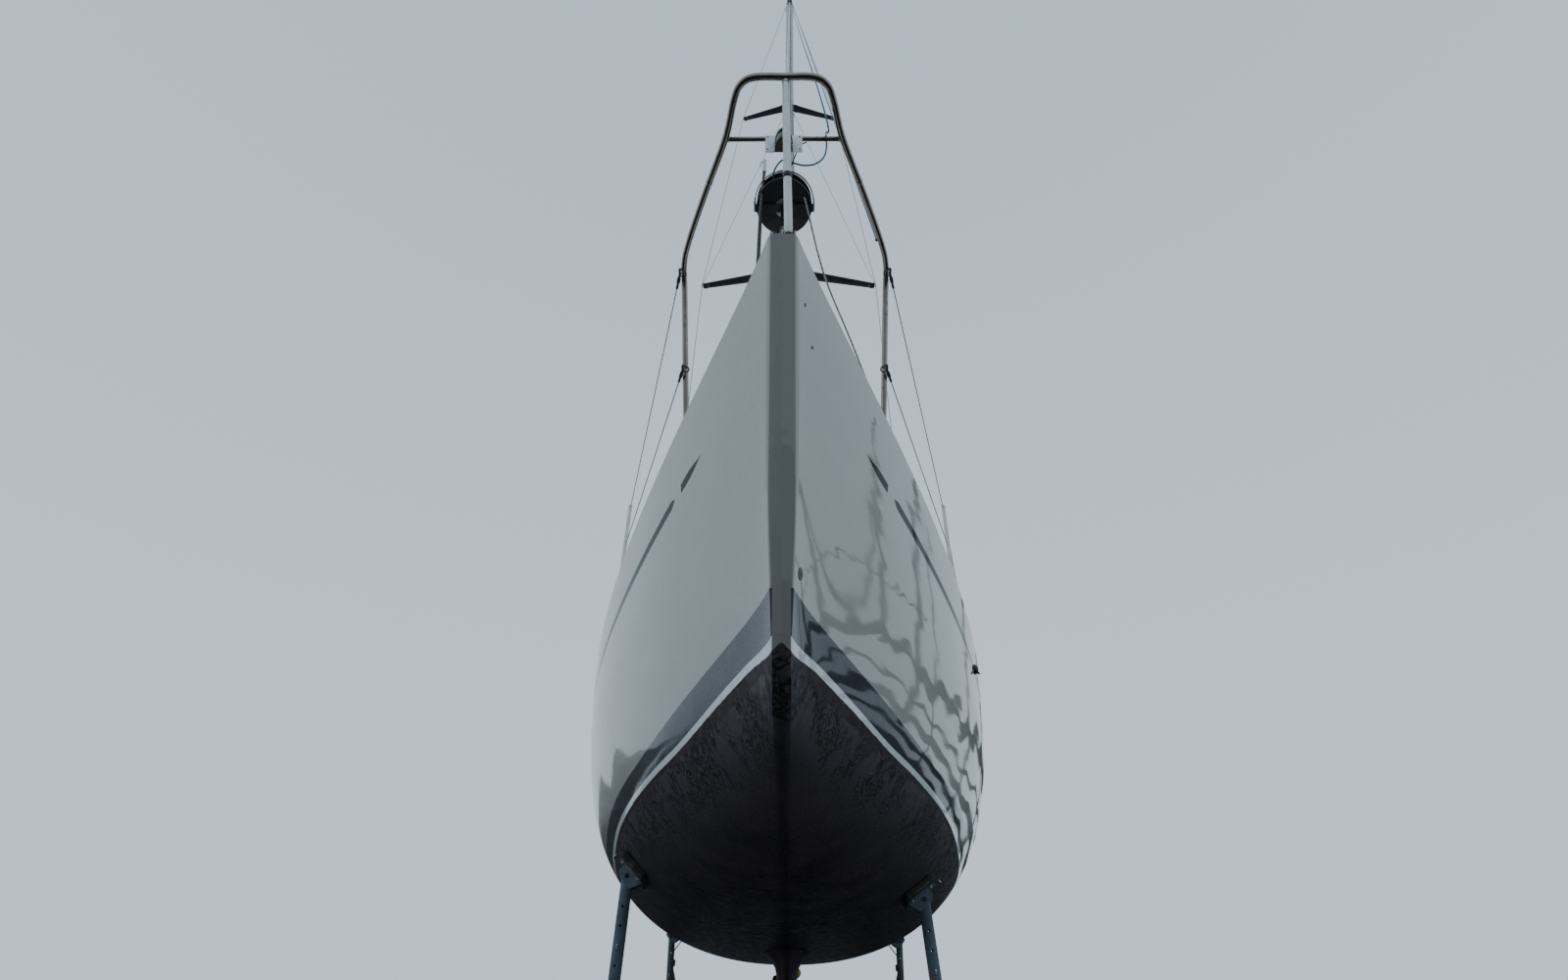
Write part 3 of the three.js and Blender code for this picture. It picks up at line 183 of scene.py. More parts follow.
def hull_point(a, h, inset=0.0):
    """A point of the port side, a along the length and h from the centre line up to the sheer."""
    side, bilge = along(SECTIONS, 1, a), along(SECTIONS, 2, a)
    full = sheer_half(a) * (1 - (1 - h) ** side) ** (1 / bilge)
    foot = stem_half(h) * clamp(1 - (a - 0.02) / 0.1, 0.1, 1) * (1 - h)
    x = stem_half(h) if a == 0 else math.hypot(full, foot)
    s = (STEM_FOOT + a * BOTTOM_LENGTH) * (1 - h) + a * DECK_LENGTH * h
    z = centre_z(a) + h * (sheer_z(a) - centre_z(a))
    return lay(max(x - inset, 0.004), s, z + inset * (1 - h))


def hull_side(s, z):
    """The port side's point at s and at height z."""
    a, h = clamp(s / DECK_LENGTH), 0.5
    for _ in range(30):
        h = clamp((z - centre_z(a)) / (sheer_z(a) - centre_z(a)), 0.001, 1)
        a = clamp((s - STEM_FOOT * (1 - h)) / (BOTTOM_LENGTH * (1 - h) + DECK_LENGTH * h), 0.0005, 1)
    return hull_point(a, h)


def deck_half(s):
    return sheer_half(s / DECK_LENGTH) - 0.02


def deck_z(s, x=0.0):
    half = deck_half(s)
    return sheer_z(s / DECK_LENGTH) + DECK_RISE + CAMBER * half * (1 - (x / half) ** 2)


def roof_z(s):
    return deck_z(s, 1.0) + along(ROOF, 3, s)


def roof_top(s, x):
    """The coachroof's surface above a point inside its flat top."""
    top = along(ROOF, 2, s)
    share = abs(x) / top
    rise = lerp(0.03, 0.02, share / 0.55) if share < 0.55 else lerp(0.02, -0.006, (share - 0.55) / 0.45)
    return roof_z(s) + rise


def mast_at(z, ahead=0.0, side=0.0):
    """A point of the mast's axis at height z, moved forward and to port."""
    return Vector((side, MAST_FOOT.y + (z - MAST_FOOT.z) * RAKE - ahead, z))


def on_stay(distance, ahead=0.0, side=0.0):
    """A point along the headstay, moved square to it."""
    forward = Vector((0, -STAY_AIM.z, STAY_AIM.y))
    return STAY_FOOT + distance * STAY_AIM + ahead * forward + Vector((side, 0, 0))


def flip(points):
    return [Vector((-p[0], p[1], p[2])) for p in points]


def square_to(axis):
    """An axis of length 1 and two directions square to it."""
    axis = Vector(axis).normalized()
    first = axis.orthogonal().normalized()
    return axis, first, axis.cross(first)


def turns(count, shift=0.0):
    """The angles of even steps round a full turn."""
    return [2 * math.pi * (k + shift) / count for k in range(count)]


def spline(points, steps=6):
    """A smooth line through points."""
    points = [Vector(p) for p in points]
    padded = [2 * points[0] - points[1], *points, 2 * points[-1] - points[-2]]
    line = []
    for i in range(1, len(padded) - 2):
        p0, p1, p2, p3 = padded[i - 1 : i + 3]
        for k in range(steps):
            t = k / steps
            line.append(
                0.5
                * (
                    2 * p1
                    + (p2 - p0) * t
                    + (2 * p0 - 5 * p1 + 4 * p2 - p3) * t * t
                    + (3 * p1 - p0 - 3 * p2 + p3) * t**3
                )
            )
    return [*line, points[-1]]


def rounded(points, radius, steps=4, closed=False):
    """A line of straight runs whose corners are rounded."""
    points = [Vector(p) for p in points]
    count = len(points)
    line = [] if closed else [points[0]]
    for i in range(count) if closed else range(1, count - 1):
        before, corner, after = points[i - 1], points[i], points[(i + 1) % count]
        reach = min(radius, 0.48 * (before - corner).length, 0.48 * (after - corner).length)
        start = corner + (before - corner).normalized() * reach
        end = corner + (after - corner).normalized() * reach
        for k in range(steps + 1):
            t = k / steps
            line.append((1 - t) ** 2 * start + 2 * t * (1 - t) * corner + t * t * end)
    return line if closed else [*line, points[-1]]


def smooth_outline(corners, radius, steps=4):
    """The flat closed outline of corners (u, v), each of them rounded."""
    return [(p.x, p.y) for p in rounded([(u, v, 0) for u, v in corners], radius, steps, closed=True)]


def round_box(half, s0, s1, radius, steps=5):
    """A box with round corners, from -half to half one way and from s0 to s1 the other."""
    return smooth_outline([(-half, s0), (half, s0), (half, s1), (-half, s1)], radius, steps)


def shrink(outline, inset):
    """A flat closed outline, moved inwards."""
    area = sum(a[0] * b[1] - a[1] * b[0] for a, b in zip(outline, [*outline[1:], outline[0]]))
    turn = 1 if area > 0 else -1
    moved = []
    for i, point in enumerate(outline):
        before = (Vector(point[:2]) - Vector(outline[i - 1][:2])).normalized()
        after = (Vector(outline[(i + 1) % len(outline)][:2]) - Vector(point[:2])).normalized()
        inward = Vector((-before.y - after.y, before.x + after.x)) * turn
        scale = inset * 2 / max(inward.length_squared, 0.5)
        moved.append((point[0] + inward.x * scale, point[1] + inward.y * scale))
    return moved


class Shape:
    """The points and faces of one piece, with a finish's number for each face."""

    def __init__(self):
        self.points = []
        self.faces = []
        self.finishes = []

    def add(self, points, faces, finish=0):
        base = len(self.points)
        self.points.extend(Vector(p) for p in points)
        self.faces.extend([base + i for i in face] for face in faces)
        self.finishes.extend([finish] * len(faces))

    def skin(self, rows, finish=0, wrap=True, loop=False, capped=True):
        """Skins rows of points. wrap closes each row on itself, loop joins the last row to the first."""
        count = len(rows[0])
        faces = []
        for i in range(len(rows) if loop else len(rows) - 1):
            k = (i + 1) % len(rows)
            for j in range(count if wrap else count - 1):
                n = (j + 1) % count
                faces.append((i * count + j, i * count + n, k * count + n, k * count + j))
        if capped and wrap and not loop:
            faces.append(tuple(range(count)))
            faces.append(tuple((len(rows) - 1) * count + j for j in range(count)))
        self.add([p for row in rows for p in row], faces, finish)

    def tube(self, line, radius, sides=12, finish=0, loop=False, flat=1.0, up=(0, 0, 1)):
        """A round bar along a line. flat squeezes it along its own second direction."""
        line = [Vector(p) for p in line]
        radii = radius if isinstance(radius, (list, tuple)) else [radius] * len(line)
        normal = Vector(up)
        rows = []
        for i, point in enumerate(line):
            if loop:
                ahead = line[(i + 1) % len(line)] - line[i - 1]
            else:
                ahead = line[min(i + 1, len(line) - 1)] - line[max(i - 1, 0)]
            ahead.normalize()
            normal = normal - ahead * normal.dot(ahead)
            if normal.length < 1e-3:
                normal = ahead.orthogonal()
            normal.normalize()
            across = ahead.cross(normal)
            rows.append([
                point + radii[i] * (across * math.cos(t) + normal * math.sin(t) * flat)
                for t in turns(sides)
            ])
        self.skin(rows, finish, loop=loop)

    def turned(self, profile, centre, axis=(0, 0, 1), sides=24, finish=0):
        """A turned form: profile has (radius, height) pairs along the axis."""
        axis, first, second = square_to(axis)
        rows = []
        for radius, height in profile:
            level, radius = Vector(centre) + axis * height, max(radius, 2e-4)
            rows.append([level + radius * (first * math.cos(t) + second * math.sin(t))
                         for t in turns(sides)])
        self.skin(rows, finish)

    def rod(self, start, end, radius, sides=12, finish=0, edge=0.15):
        """A straight round bar with softened ends."""
        start, end = Vector(start), Vector(end)
        soft = min(edge * radius, 0.2 * (end - start).length)
        length = (end - start).length
        profile = ((radius - soft, 0), (radius, soft), (radius, length - soft), (radius - soft, length))
        self.turned(profile, start, end - start, sides, finish)

    def ball(self, centre, radius, finish=0):
        steps = [math.pi * k / 8 for k in range(9)]
        profile = [(radius * math.sin(t), -radius * math.cos(t)) for t in steps]
        self.turned(profile, centre, sides=12, finish=finish)

    def block(self, corner, other, edge=0.003, finish=0, turn=None):
        """A box between two opposite corners with rounded edges, turned by a matrix where one is given."""
        low, high = Vector(map(min, corner, other)), Vector(map(max, corner, other))
        size = high - low
        body = bmesh.new()
        bmesh.ops.create_cube(body, size=1)
        for v in body.verts:
            v.co = Vector(c * d for c, d in zip(v.co, size)) + (low + high) / 2
        edge = min(edge, 0.45 * min(size))
        if edge > 0:
            bmesh.ops.bevel(body, geom=body.edges[:], offset=edge, segments=2, affect="EDGES", profile=0.5)
        if turn:
            body.transform(turn)
        self.take(body, finish)

    def plate(self, outline, place, low, high, edge=0.003, finish=0):
        """A plate of a flat outline with rounded rims. place(u, v, w) gives the real point."""
        levels = (
            (edge, low),
            (0.3 * edge, low + 0.3 * edge),
            (0, low + edge),
            (0, high - edge),
            (0.3 * edge, high - 0.3 * edge),
            (edge, high),
        )
        rows = [[place(u, v, w) for u, v in shrink(outline, inset)] for inset, w in levels]
        self.skin(rows, finish)

    def hoop(self, centre, axis, radius, thick, finish=0, sides=8, steps=24):
        """A ring of round wire about an axis."""
        axis, first, second = square_to(axis)
        line = [Vector(centre) + radius * (first * math.cos(t) + second * math.sin(t))
                for t in turns(steps)]
        self.tube(line, thick, sides, finish, loop=True, up=axis)

    def take(self, body, finish=0):
        """Takes a bmesh in, and frees it."""
        body.verts.index_update()
        self.add([v.co.copy() for v in body.verts], [[v.index for v in f.verts] for f in body.faces],
                 finish)
        body.free()

    def mirror(self):
        """Adds the same on the other side of the centre line."""
        count = len(self.points)
        self.points.extend(flip(self.points))
        self.faces.extend([[i + count for i in reversed(face)] for face in self.faces[:]])
        self.finishes.extend(self.finishes[:])
        return self

    def to_side(self, side):
        """Moves what was built to port over to starboard, where side is -1."""
        if side < 0:
            self.points = flip(self.points)
            self.faces = [list(reversed(f)) for f in self.faces]

    def mesh(self, name):
        mesh = bpy.data.meshes.new(name)
        mesh.from_pydata([tuple(p) for p in self.points], [], self.faces)
        mesh.polygons.foreach_set("material_index", self.finishes)
        body = bmesh.new()
        body.from_mesh(mesh)
        bmesh.ops.recalc_face_normals(body, faces=body.faces[:])
        body.to_mesh(mesh)
        body.free()
        return mesh

    def make(self, name, finishes, body="yacht", slot=None, replaces=(), smooth=32.0):
        """Makes the piece in the scene, riding on a body of the frame."""
        piece = bpy.data.objects.new(name, self.mesh(name))
        bpy.context.scene.collection.objects.link(piece)
        for finish in finishes:
            piece.data.materials.append(FINISHES[finish])
        return seat(piece, body, replaces, smooth)

    def tool(self):
        """Makes a solid that only cuts others."""
        made = bpy.data.objects.new("tool", self.mesh("tool"))
        bpy.context.scene.collection.objects.link(made)
        return made


def seat(piece, body="yacht", replaces=(), smooth=32.0):
    piece.data.shade_smooth()
    piece.data.set_sharp_from_angle(angle=math.radians(smooth))
    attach(piece, body)
    if replaces:
        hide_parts(*replaces)
    return piece


def bake(piece):
    """Turns a piece's modifiers into its own mesh."""
    graph = bpy.context.evaluated_depsgraph_get()
    result = bpy.data.meshes.new_from_object(piece.evaluated_get(graph), depsgraph=graph)
    if len(result.polygons) == 0:
        raise RuntimeError(f"nothing was left of {piece.name}")
    piece.modifiers.clear()
    spare = piece.data
    piece.data = result
    bpy.data.meshes.remove(spare)


def carve(piece, tool, operation="DIFFERENCE"):
    """Cuts a piece with a tool, joins the tool to it or keeps what they share."""
    step = piece.modifiers.new("carve", "BOOLEAN")
    step.operation = operation
    step.solver = "MANIFOLD"
    step.object = tool
    bake(piece)
    bpy.data.objects.remove(tool)
    return piece


def colour_setting(name, description, default):
    return bpy.props.FloatVectorProperty(
        name=name, description=description, default=default, size=3, min=0, max=1, subtype="COLOR"
    )


def length_setting(name, description, default):
    return bpy.props.FloatProperty(
        name=name, description=description, default=default, min=0, precision=4, unit="LENGTH"
    )


def share_setting(name, description, default):
    return bpy.props.FloatProperty(
        name=name, description=description, default=default, min=0, max=1, subtype="FACTOR"
    )


class YachtHullSettings(bpy.types.PropertyGroup):
    """The hull's colours, stripes and roundings"""

    gelcoat: colour_setting("Gelcoat", "Topsides", (0.325, 0.32, 0.295))
    boot_top: colour_setting("Boot-top", "Broad stripe above the waterline", (0.04, 0.044, 0.05))
    white_band: colour_setting("White band", "Thin band under the boot-top", (0.6, 0.62, 0.62))
    cove: colour_setting("Cove stripe", "Thin stripe under the sheer", (0.012, 0.018, 0.018))
    bottom: colour_setting("Bottom paint", "Paint below the waterline", (0.027, 0.0175, 0.0215))
    # This colour also lightens the bottom paint towards the waterline
    runs: colour_setting("Paint runs", "Chalked paint near the waterline", (0.056, 0.048, 0.052))
    deck: colour_setting("Deck", "Smooth parts of the deck", (0.6, 0.6, 0.57))
    nonslip: colour_setting("Non-slip", "Moulded panels of the deck", (0.5, 0.5, 0.48))
    boot_high: length_setting("Boot-top at the stem", "Height of its top edge", 0.165)
    boot_low: length_setting("Boot-top aft", "Height of its top edge from the mast aft", 0.105)
    white_top: length_setting("White band's top", "Height above the waterline", 0.036)
    face_half: length_setting("Stem face", "Half width left without a boot-top", 0.0295)
    cove_height: length_setting("Cove stripe's height", "At the stem, above the waterline", 0.97)
    cove_fall: bpy.props.FloatProperty(name="Cove stripe's fall", description="Drop for each length aft",
                                       default=0.0095, min=0, max=0.1)
    cove_wide: length_setting("Cove stripe's width", "Width of its full part", 0.045)
    paint_overlap: length_setting("Paint overlap",
                                  "How far the topsides' finish reaches below the waterline", 0.018)
    edge_hump: length_setting("Bottom paint's rise", "How far its edge rises just behind the stem", 0.028)
    # The stem's face is painted darker as shade; this share sets how much of the gelcoat's tone it keeps
    stem_face_painted_shade: share_setting("Stem face shade", "How much of the gelcoat's tone the stem's face keeps",
                              0.43)
    stem_round: length_setting("Stem rounding", "Reach of the rounding beside the stem's face", 0.022)
    transom_round: length_setting("Transom rounding", "Reach of the rounding at the transom", 0.025)
    ripple: length_setting("Ripple", "Depth of the topsides' unfairness", 0.006)
    ripple_size: bpy.props.FloatProperty(name="Ripple size", description="Waves in a metre", default=2.6,
                                         min=0.1)


class YachtRigSettings(bpy.types.PropertyGroup):
    """Colours and sizes of the tube, wire and spars"""

    # The polished steel's colour is painted dark and brown: a painted reflection of the dark ground below
    # the tubes
    steel: colour_setting("Polished steel", "Pulpit, pushpit and fittings", (0.27, 0.24, 0.205))
    leg: colour_setting("Satin leg", "The pulpit's front leg", (0.52, 0.53, 0.53))
    spar: colour_setting("Spar", "Mast and boom", (0.33, 0.335, 0.34))
    foil: colour_setting("Foil", "Headstay foil and toe rails", (0.5, 0.51, 0.52))
    wire: length_setting("Shroud wire", "Radius of the shrouds", 0.0042)
    guard_wire: length_setting("Guard wire", "Radius of the guard wires", 0.0028)
    line: length_setting("Running line", "Radius of halyards and control lines", 0.005)


class YachtCradleSettings(bpy.types.PropertyGroup):
    """Colour and wear of the cradle"""

    paint: colour_setting("Paint", "Cradle's paint", (0.055, 0.075, 0.092))
    rust_colour: colour_setting("Rust", "Where the paint is gone", (0.16, 0.055, 0.02))
    rust: share_setting("Wear", "How much of the paint is gone", 0.8)
    hole_pitch: length_setting("Hole pitch", "Distance between the posts' pin holes", 0.1)


class YachtStageSettings(bpy.types.PropertyGroup):
    """Floor, lights and camera"""

    floor: colour_setting("Floor", "Plain pale floor", (0.5, 0.51, 0.52))
    sky: colour_setting("Backdrop", "Light all round", (0.46, 0.555, 0.64))
    zenith: colour_setting("Backdrop above", "Light from above", (0.38, 0.465, 0.56))
    level: bpy.props.FloatProperty(name="Backdrop strength", description="Brightness all round",
                                   default=1.55, min=0)
    key: bpy.props.FloatProperty(name="Key light", description="Power of the large soft light overhead",
                                 default=900, min=0, unit="POWER")
    lens: bpy.props.FloatProperty(name="Lens", description="Focal length on a 36 mm sensor", default=16.9,
                                  min=1, unit="CAMERA")
    pitch: bpy.props.FloatProperty(name="Pitch", description="How far the camera looks up",
                                   default=math.radians(36), unit="ROTATION")
    yaw: bpy.props.FloatProperty(name="Yaw", description="Turn to starboard", default=math.radians(0.662),
                                 unit="ROTATION")
    roll: bpy.props.FloatProperty(name="Roll", description="Tilt about the line of sight",
                                  default=math.radians(0.416), unit="ROTATION")
    place: bpy.props.FloatVectorProperty(name="Camera", description="Where the camera stands",
                                         default=(0.029, -6.911, 1.057), size=3, subtype="TRANSLATION",
                                         unit="LENGTH")


def tinted(colour, share=1.0):
    """A colour made darker or lighter by a factor, as red, green, blue and alpha."""
    return (*[min(c * share, 1) for c in colour], 1)


class Finish:
    """The nodes of one procedural material, laid out in object space in metres."""

    def __init__(self, name, colour, rough, metal=0.0, **sockets):
        self.material = bpy.data.materials.new(name)
        self.material.use_nodes = True
        self.material.diffuse_color = (*colour, 1)
        self.tree = self.material.node_tree
        self.shader = self.tree.nodes["Principled BSDF"]
        self.colour = colour
        self.rough = rough
        self.set(Base_Color=(*colour, 1), Roughness=rough, Metallic=metal, **sockets)
        self.coordinates = self.tree.nodes.new("ShaderNodeTexCoord").outputs["Object"]

    def set(self, **sockets):
        for name, value in sockets.items():
            self.put(self.shader.inputs[name.replace("_", " ")], value)

    def put(self, socket, value):
        if isinstance(value, bpy.types.NodeSocket):
            self.tree.links.new(value, socket)
        else:
            socket.default_value = value

    def math(self, operation, *values):
        node = self.tree.nodes.new("ShaderNodeMath")
        node.operation = operation
        for socket, value in zip(node.inputs, values):
            self.put(socket, value)
        return node.outputs[0]

    def split(self):
        node = self.tree.nodes.new("ShaderNodeSeparateXYZ")
        self.put(node.inputs[0], self.coordinates)
        return node.outputs

    def stretched(self, stretch):
        node = self.tree.nodes.new("ShaderNodeMapping")
        self.put(node.inputs["Vector"], self.coordinates)
        node.inputs["Scale"].default_value = stretch
        return node.outputs[0]

    def noise(self, scale, detail=3.0, stretch=None, twist=0.0):
        node = self.tree.nodes.new("ShaderNodeTexNoise")
        self.put(node.inputs["Vector"], self.stretched(stretch) if stretch else self.coordinates)
        self.put(node.inputs["Scale"], scale)
        node.inputs["Detail"].default_value = detail
        node.inputs["Distortion"].default_value = twist
        return node.outputs["Fac"]

    def cells(self, scale, stretch=None):
        node = self.tree.nodes.new("ShaderNodeTexVoronoi")
        self.put(node.inputs["Vector"], self.stretched(stretch) if stretch else self.coordinates)
        node.inputs["Scale"].default_value = scale
        return node.outputs["Distance"]

    def band(self, value, low, high, start=0.0, end=1.0):
        """value read from low to high becomes start to end, smoothly and no further."""
        node = self.tree.nodes.new("ShaderNodeMapRange")
        node.interpolation_type = "SMOOTHSTEP"
        for socket, number in zip(node.inputs, (value, low, high, start, end)):
            self.put(socket, number)
        return node.outputs[0]

    def mix(self, share, a, b):
        node = self.tree.nodes.new("ShaderNodeMix")
        node.data_type = "RGBA"
        self.put(node.inputs["Factor"], share)
        for socket, value in ((node.inputs["A"], a), (node.inputs["B"], b)):
            self.put(next(s for s in node.inputs if s.name == socket.name and s.type == "RGBA"), value)
        return node.outputs[2]

    def shade(self, scale, amount, colour=None, detail=4.0):
        """The colour, clouded darker and lighter by a share."""
        colour = colour or self.colour
        dark, light = tinted(colour, 1 - amount), tinted(colour, 1 + amount)
        return self.mix(self.band(self.noise(scale, detail), 0.3, 0.7), dark, light)

    def bump(self, height, depth, below=None):
        node = self.tree.nodes.new("ShaderNodeBump")
        node.inputs["Strength"].default_value = 1.0
        node.inputs["Distance"].default_value = depth
        self.put(node.inputs["Height"], height)
        if below:
            self.put(node.inputs["Normal"], below)
        return node.outputs[0]


def plain(name, colour, rough, metal=0.0, cloud=0.08, size=9.0, grain=0.0, grain_size=300.0, **sockets):
    """A material with clouded colour and roughness, and a fine grain where one is given."""
    made = Finish(name, colour, rough, metal, **sockets)
    made.set(Base_Color=made.shade(size, cloud))
    spread = made.band(made.noise(size * 2.3, 5), 0.3, 0.7, rough * 0.75, min(rough * 1.3, 1))
    made.set(Roughness=spread)
    if grain:
        made.set(Normal=made.bump(made.noise(grain_size, 2), grain))
    return made


def polished_tube(name, colour, rough):
    """Polished tube: faint lengthwise polishing marks, tea stain and water spots."""
    made = Finish(name, colour, rough, 1.0)
    stain = made.band(made.noise(34, 6), 0.56, 0.74)
    made.set(Base_Color=made.mix(stain, made.shade(11, 0.1), tinted(colour, 0.62)))
    made.set(Roughness=made.band(made.noise(60, 5), 0.3, 0.75, rough * 0.6, rough * 2.2))
    return made


def wood(name, colour, rough=0.35, along_axis=(1.0, 0.12, 1.0), grain=60.0):
    """Varnished or bare timber with its grain along one axis."""
    made = Finish(name, colour, rough)
    grains = made.noise(grain, 6, stretch=along_axis, twist=0.35)
    made.set(Base_Color=made.mix(made.band(grains, 0.35, 0.66), tinted(colour, 0.45), tinted(colour, 1.35)))
    made.set(Roughness=made.band(grains, 0.3, 0.7, rough * 1.2, rough * 0.8))
    made.set(Normal=made.bump(grains, 0.0004))
    return made


def spun_rope(name, colour, fleck):
    """Braided line: small diagonal strands with a coloured fleck."""
    made = Finish(name, colour, 0.8)
    strands = made.cells(260, stretch=(1.0, 0.7, 0.55))
    flecks = made.band(made.noise(90, 2, stretch=(1, 1, 0.3)), 0.56, 0.6)
    made.set(Base_Color=made.mix(flecks, made.shade(40, 0.12), (*fleck, 1)))
    made.set(Normal=made.bump(strands, 0.0003))
    return made


def topsides(settings):
    """Gelcoat with its stripes and, below them, the bottom paint with its runs."""
    made = Finish("hull_paint", settings.gelcoat, 0.14)
    x, y, z = made.split()
    s = made.math("ADD", y, BOW)
    up = made.math("SUBTRACT", z, WATERLINE)
    port = made.math("GREATER_THAN", x, 0.0)
    beside = made.math("ABSOLUTE", x)
    soft = 0.0012

    def over(value, edge):
        return made.band(made.math("SUBTRACT", value, edge), -soft, soft)

    both = lambda *parts: parts[0] if len(parts) == 1 else made.math("MULTIPLY", parts[0], both(*parts[1:]))
    # Where the boot-top stops at the stem's face, and how its top edge narrows going aft
    off_face = made.math("MAXIMUM", over(beside, settings.face_half), made.math("GREATER_THAN", s, 2.0))
    drop = made.band(s, 0.7, 2.3, 0.0, settings.boot_high - settings.boot_low)
    boot_top_edge = made.math("SUBTRACT", settings.boot_high, drop)
    painted = made.math("MULTIPLY", made.math("SUBTRACT", made.noise(26, 3), 0.5), 0.006)
    # The edge dips at the stem, where it peaks in the face's middle, and rises just behind it
    raised = made.math("ADD", made.band(s, 0.36, 0.84, -0.03, settings.edge_hump),
                       made.band(s, 0.95, 1.75, 0.0, -settings.edge_hump))
    peak = both(made.band(beside, 0.0, 0.032, 0.023, 0.0), made.math("LESS_THAN", s, 0.7))
    bottom_edge = made.math("ADD", painted, made.math("ADD", raised, peak))
    above_bottom = over(up, bottom_edge)
    lift = made.math("ADD", made.band(s, 0.4, 0.85, -0.015, 0.017), made.band(s, 0.9, 1.7, 0.0, -0.031))
    above_white = over(up, made.math("ADD", settings.white_top, lift))
    above_boot = over(up, boot_top_edge)
    in_boot = both(above_white, made.math("SUBTRACT", 1.0, above_boot), off_face)
    # The thin cove stripe under the sheer, in two dashes with pointed fronts
    middle = made.math("SUBTRACT", settings.cove_height, made.math("MULTIPLY", s, settings.cove_fall))
    off_middle = made.math("ABSOLUTE", made.math("SUBTRACT", up, middle))
    first = made.band(s, 0.754, 0.93, 0.0, 1.0)
    second = made.band(s, 1.085, 1.15, 0.0, 1.0)
    gap = made.math("GREATER_THAN", s, 1.017)
    taper = made.math("MAXIMUM", made.math("MULTIPLY", first, made.math("SUBTRACT", 1.0, gap)), second)
    half = made.math("MULTIPLY", taper, settings.cove_wide / 2)
    off_transom = made.math("LESS_THAN", s, 10.36)
    in_cove = both(made.band(made.math("SUBTRACT", half, off_middle), -0.0008, 0.0008), over(s, 0.754),
                   off_transom)

    gel = made.shade(0.9, 0.035, settings.gelcoat, 5)
    streak = made.band(made.noise(16, 5, stretch=(1, 1, 0.05)), 0.54, 0.8)
    gel = made.mix(made.math("MULTIPLY", streak, 0.16), gel, tinted(settings.gelcoat, 0.72))
    # Painted shade: the stem's face and its roundings are painted darker, as the shade of their facing the
    # ground, and the painted band widens upwards
    reach = made.band(up, 0.02, 0.5, settings.face_half + 0.002, settings.face_half + 0.0165)
    rim = made.band(made.math("SUBTRACT", beside, reach), -0.004, 0.002, 1.0, 0.0)
    painted_face_shade_mask = both(rim, made.math("LESS_THAN", s, 2.0))
    gel = made.mix(painted_face_shade_mask, gel, tinted(settings.gelcoat, settings.stem_face_painted_shade))
    cove = made.mix(in_cove, gel, (*settings.cove, 1))
    specks = both(made.band(made.cells(85), 0.2, 0.36, 1.0, 0.0), made.math("SUBTRACT", 1.0, port))
    slate = made.mix(both(specks, 0.75), made.shade(30, 0.16, settings.boot_top, 5),
                     (0.006, 0.007, 0.009, 1))
    upper = made.mix(in_boot, cove, slate)
    white = made.math("SUBTRACT", 1.0, above_white)
    upper = made.mix(both(white, off_face), upper, made.shade(20, 0.05, settings.white_band))
    # Bottom paint: thin upright runs near the waterline, blotches lower down
    wander = made.noise(38, 6, stretch=(1, 1, 0.16), twist=1.6)
    thin = made.band(made.math("ABSOLUTE", made.math("SUBTRACT", wander, 0.5)), 0.0, 0.022, 1.0, 0.0)
    fade = both(made.band(up, -0.42, -0.06), made.band(made.noise(5, 3), 0.36, 0.62))
    runs = both(thin, fade)
    bottom = made.shade(6, 0.3, settings.bottom, 6)
    bottom = made.mix(made.math("MULTIPLY", runs, 0.75), bottom, (*settings.runs, 1))
    scuff = made.band(made.noise(3.1, 7), 0.55, 0.72)
    bottom = made.mix(made.math("MULTIPLY", scuff, 0.35), bottom, tinted(settings.bottom, 1.9))
    made.set(Base_Color=made.mix(above_bottom, bottom, upper))

    # Rain drops stand on the starboard side, and the port side is clean and glossy
    dull = made.math("ADD", both(in_boot, made.band(port, 0, 1, 0.1, 0.3)), both(in_cove, 0.46))
    made.set(Specular_IOR_Level=made.math("SUBTRACT", made.band(above_bottom, 0, 1, 0.14, 0.5), dull))
    wet = both(made.math("SUBTRACT", 1.0, port), above_bottom)
    drops = made.band(made.cells(120), 0.12, 0.3, 1.0, 0.0)
    small = made.band(made.cells(260), 0.14, 0.3, 0.6, 0.0)
    thick = made.band(made.noise(1.3, 3), 0.2, 0.6, 0.35, 1.0)
    beads = both(made.math("MAXIMUM", drops, small), wet, thick)
    haze = both(wet, made.band(s, 1.25, 1.85, 0.15, 0.01))
    gloss = made.band(made.noise(3, 5), 0.3, 0.7, 0.035, 0.075)
    dulled = made.math("ADD", gloss, haze)
    rough_bottom = made.band(made.noise(24, 5), 0.3, 0.7, 0.42, 0.62)
    made.set(Roughness=made.math("ADD", both(above_bottom, dulled),
                                 both(made.math("SUBTRACT", 1.0, above_bottom), rough_bottom)))
    fair = made.bump(made.noise(settings.ripple_size, 2, stretch=(0.6, 0.35, 1.6)), settings.ripple)
    beaded = made.bump(beads, 0.0007, fair)
    brushed = both(made.math("SUBTRACT", 1.0, above_bottom), made.math("ADD", made.noise(140, 4), runs))
    made.set(Normal=made.bump(brushed, 0.0009, beaded))
    return made.material


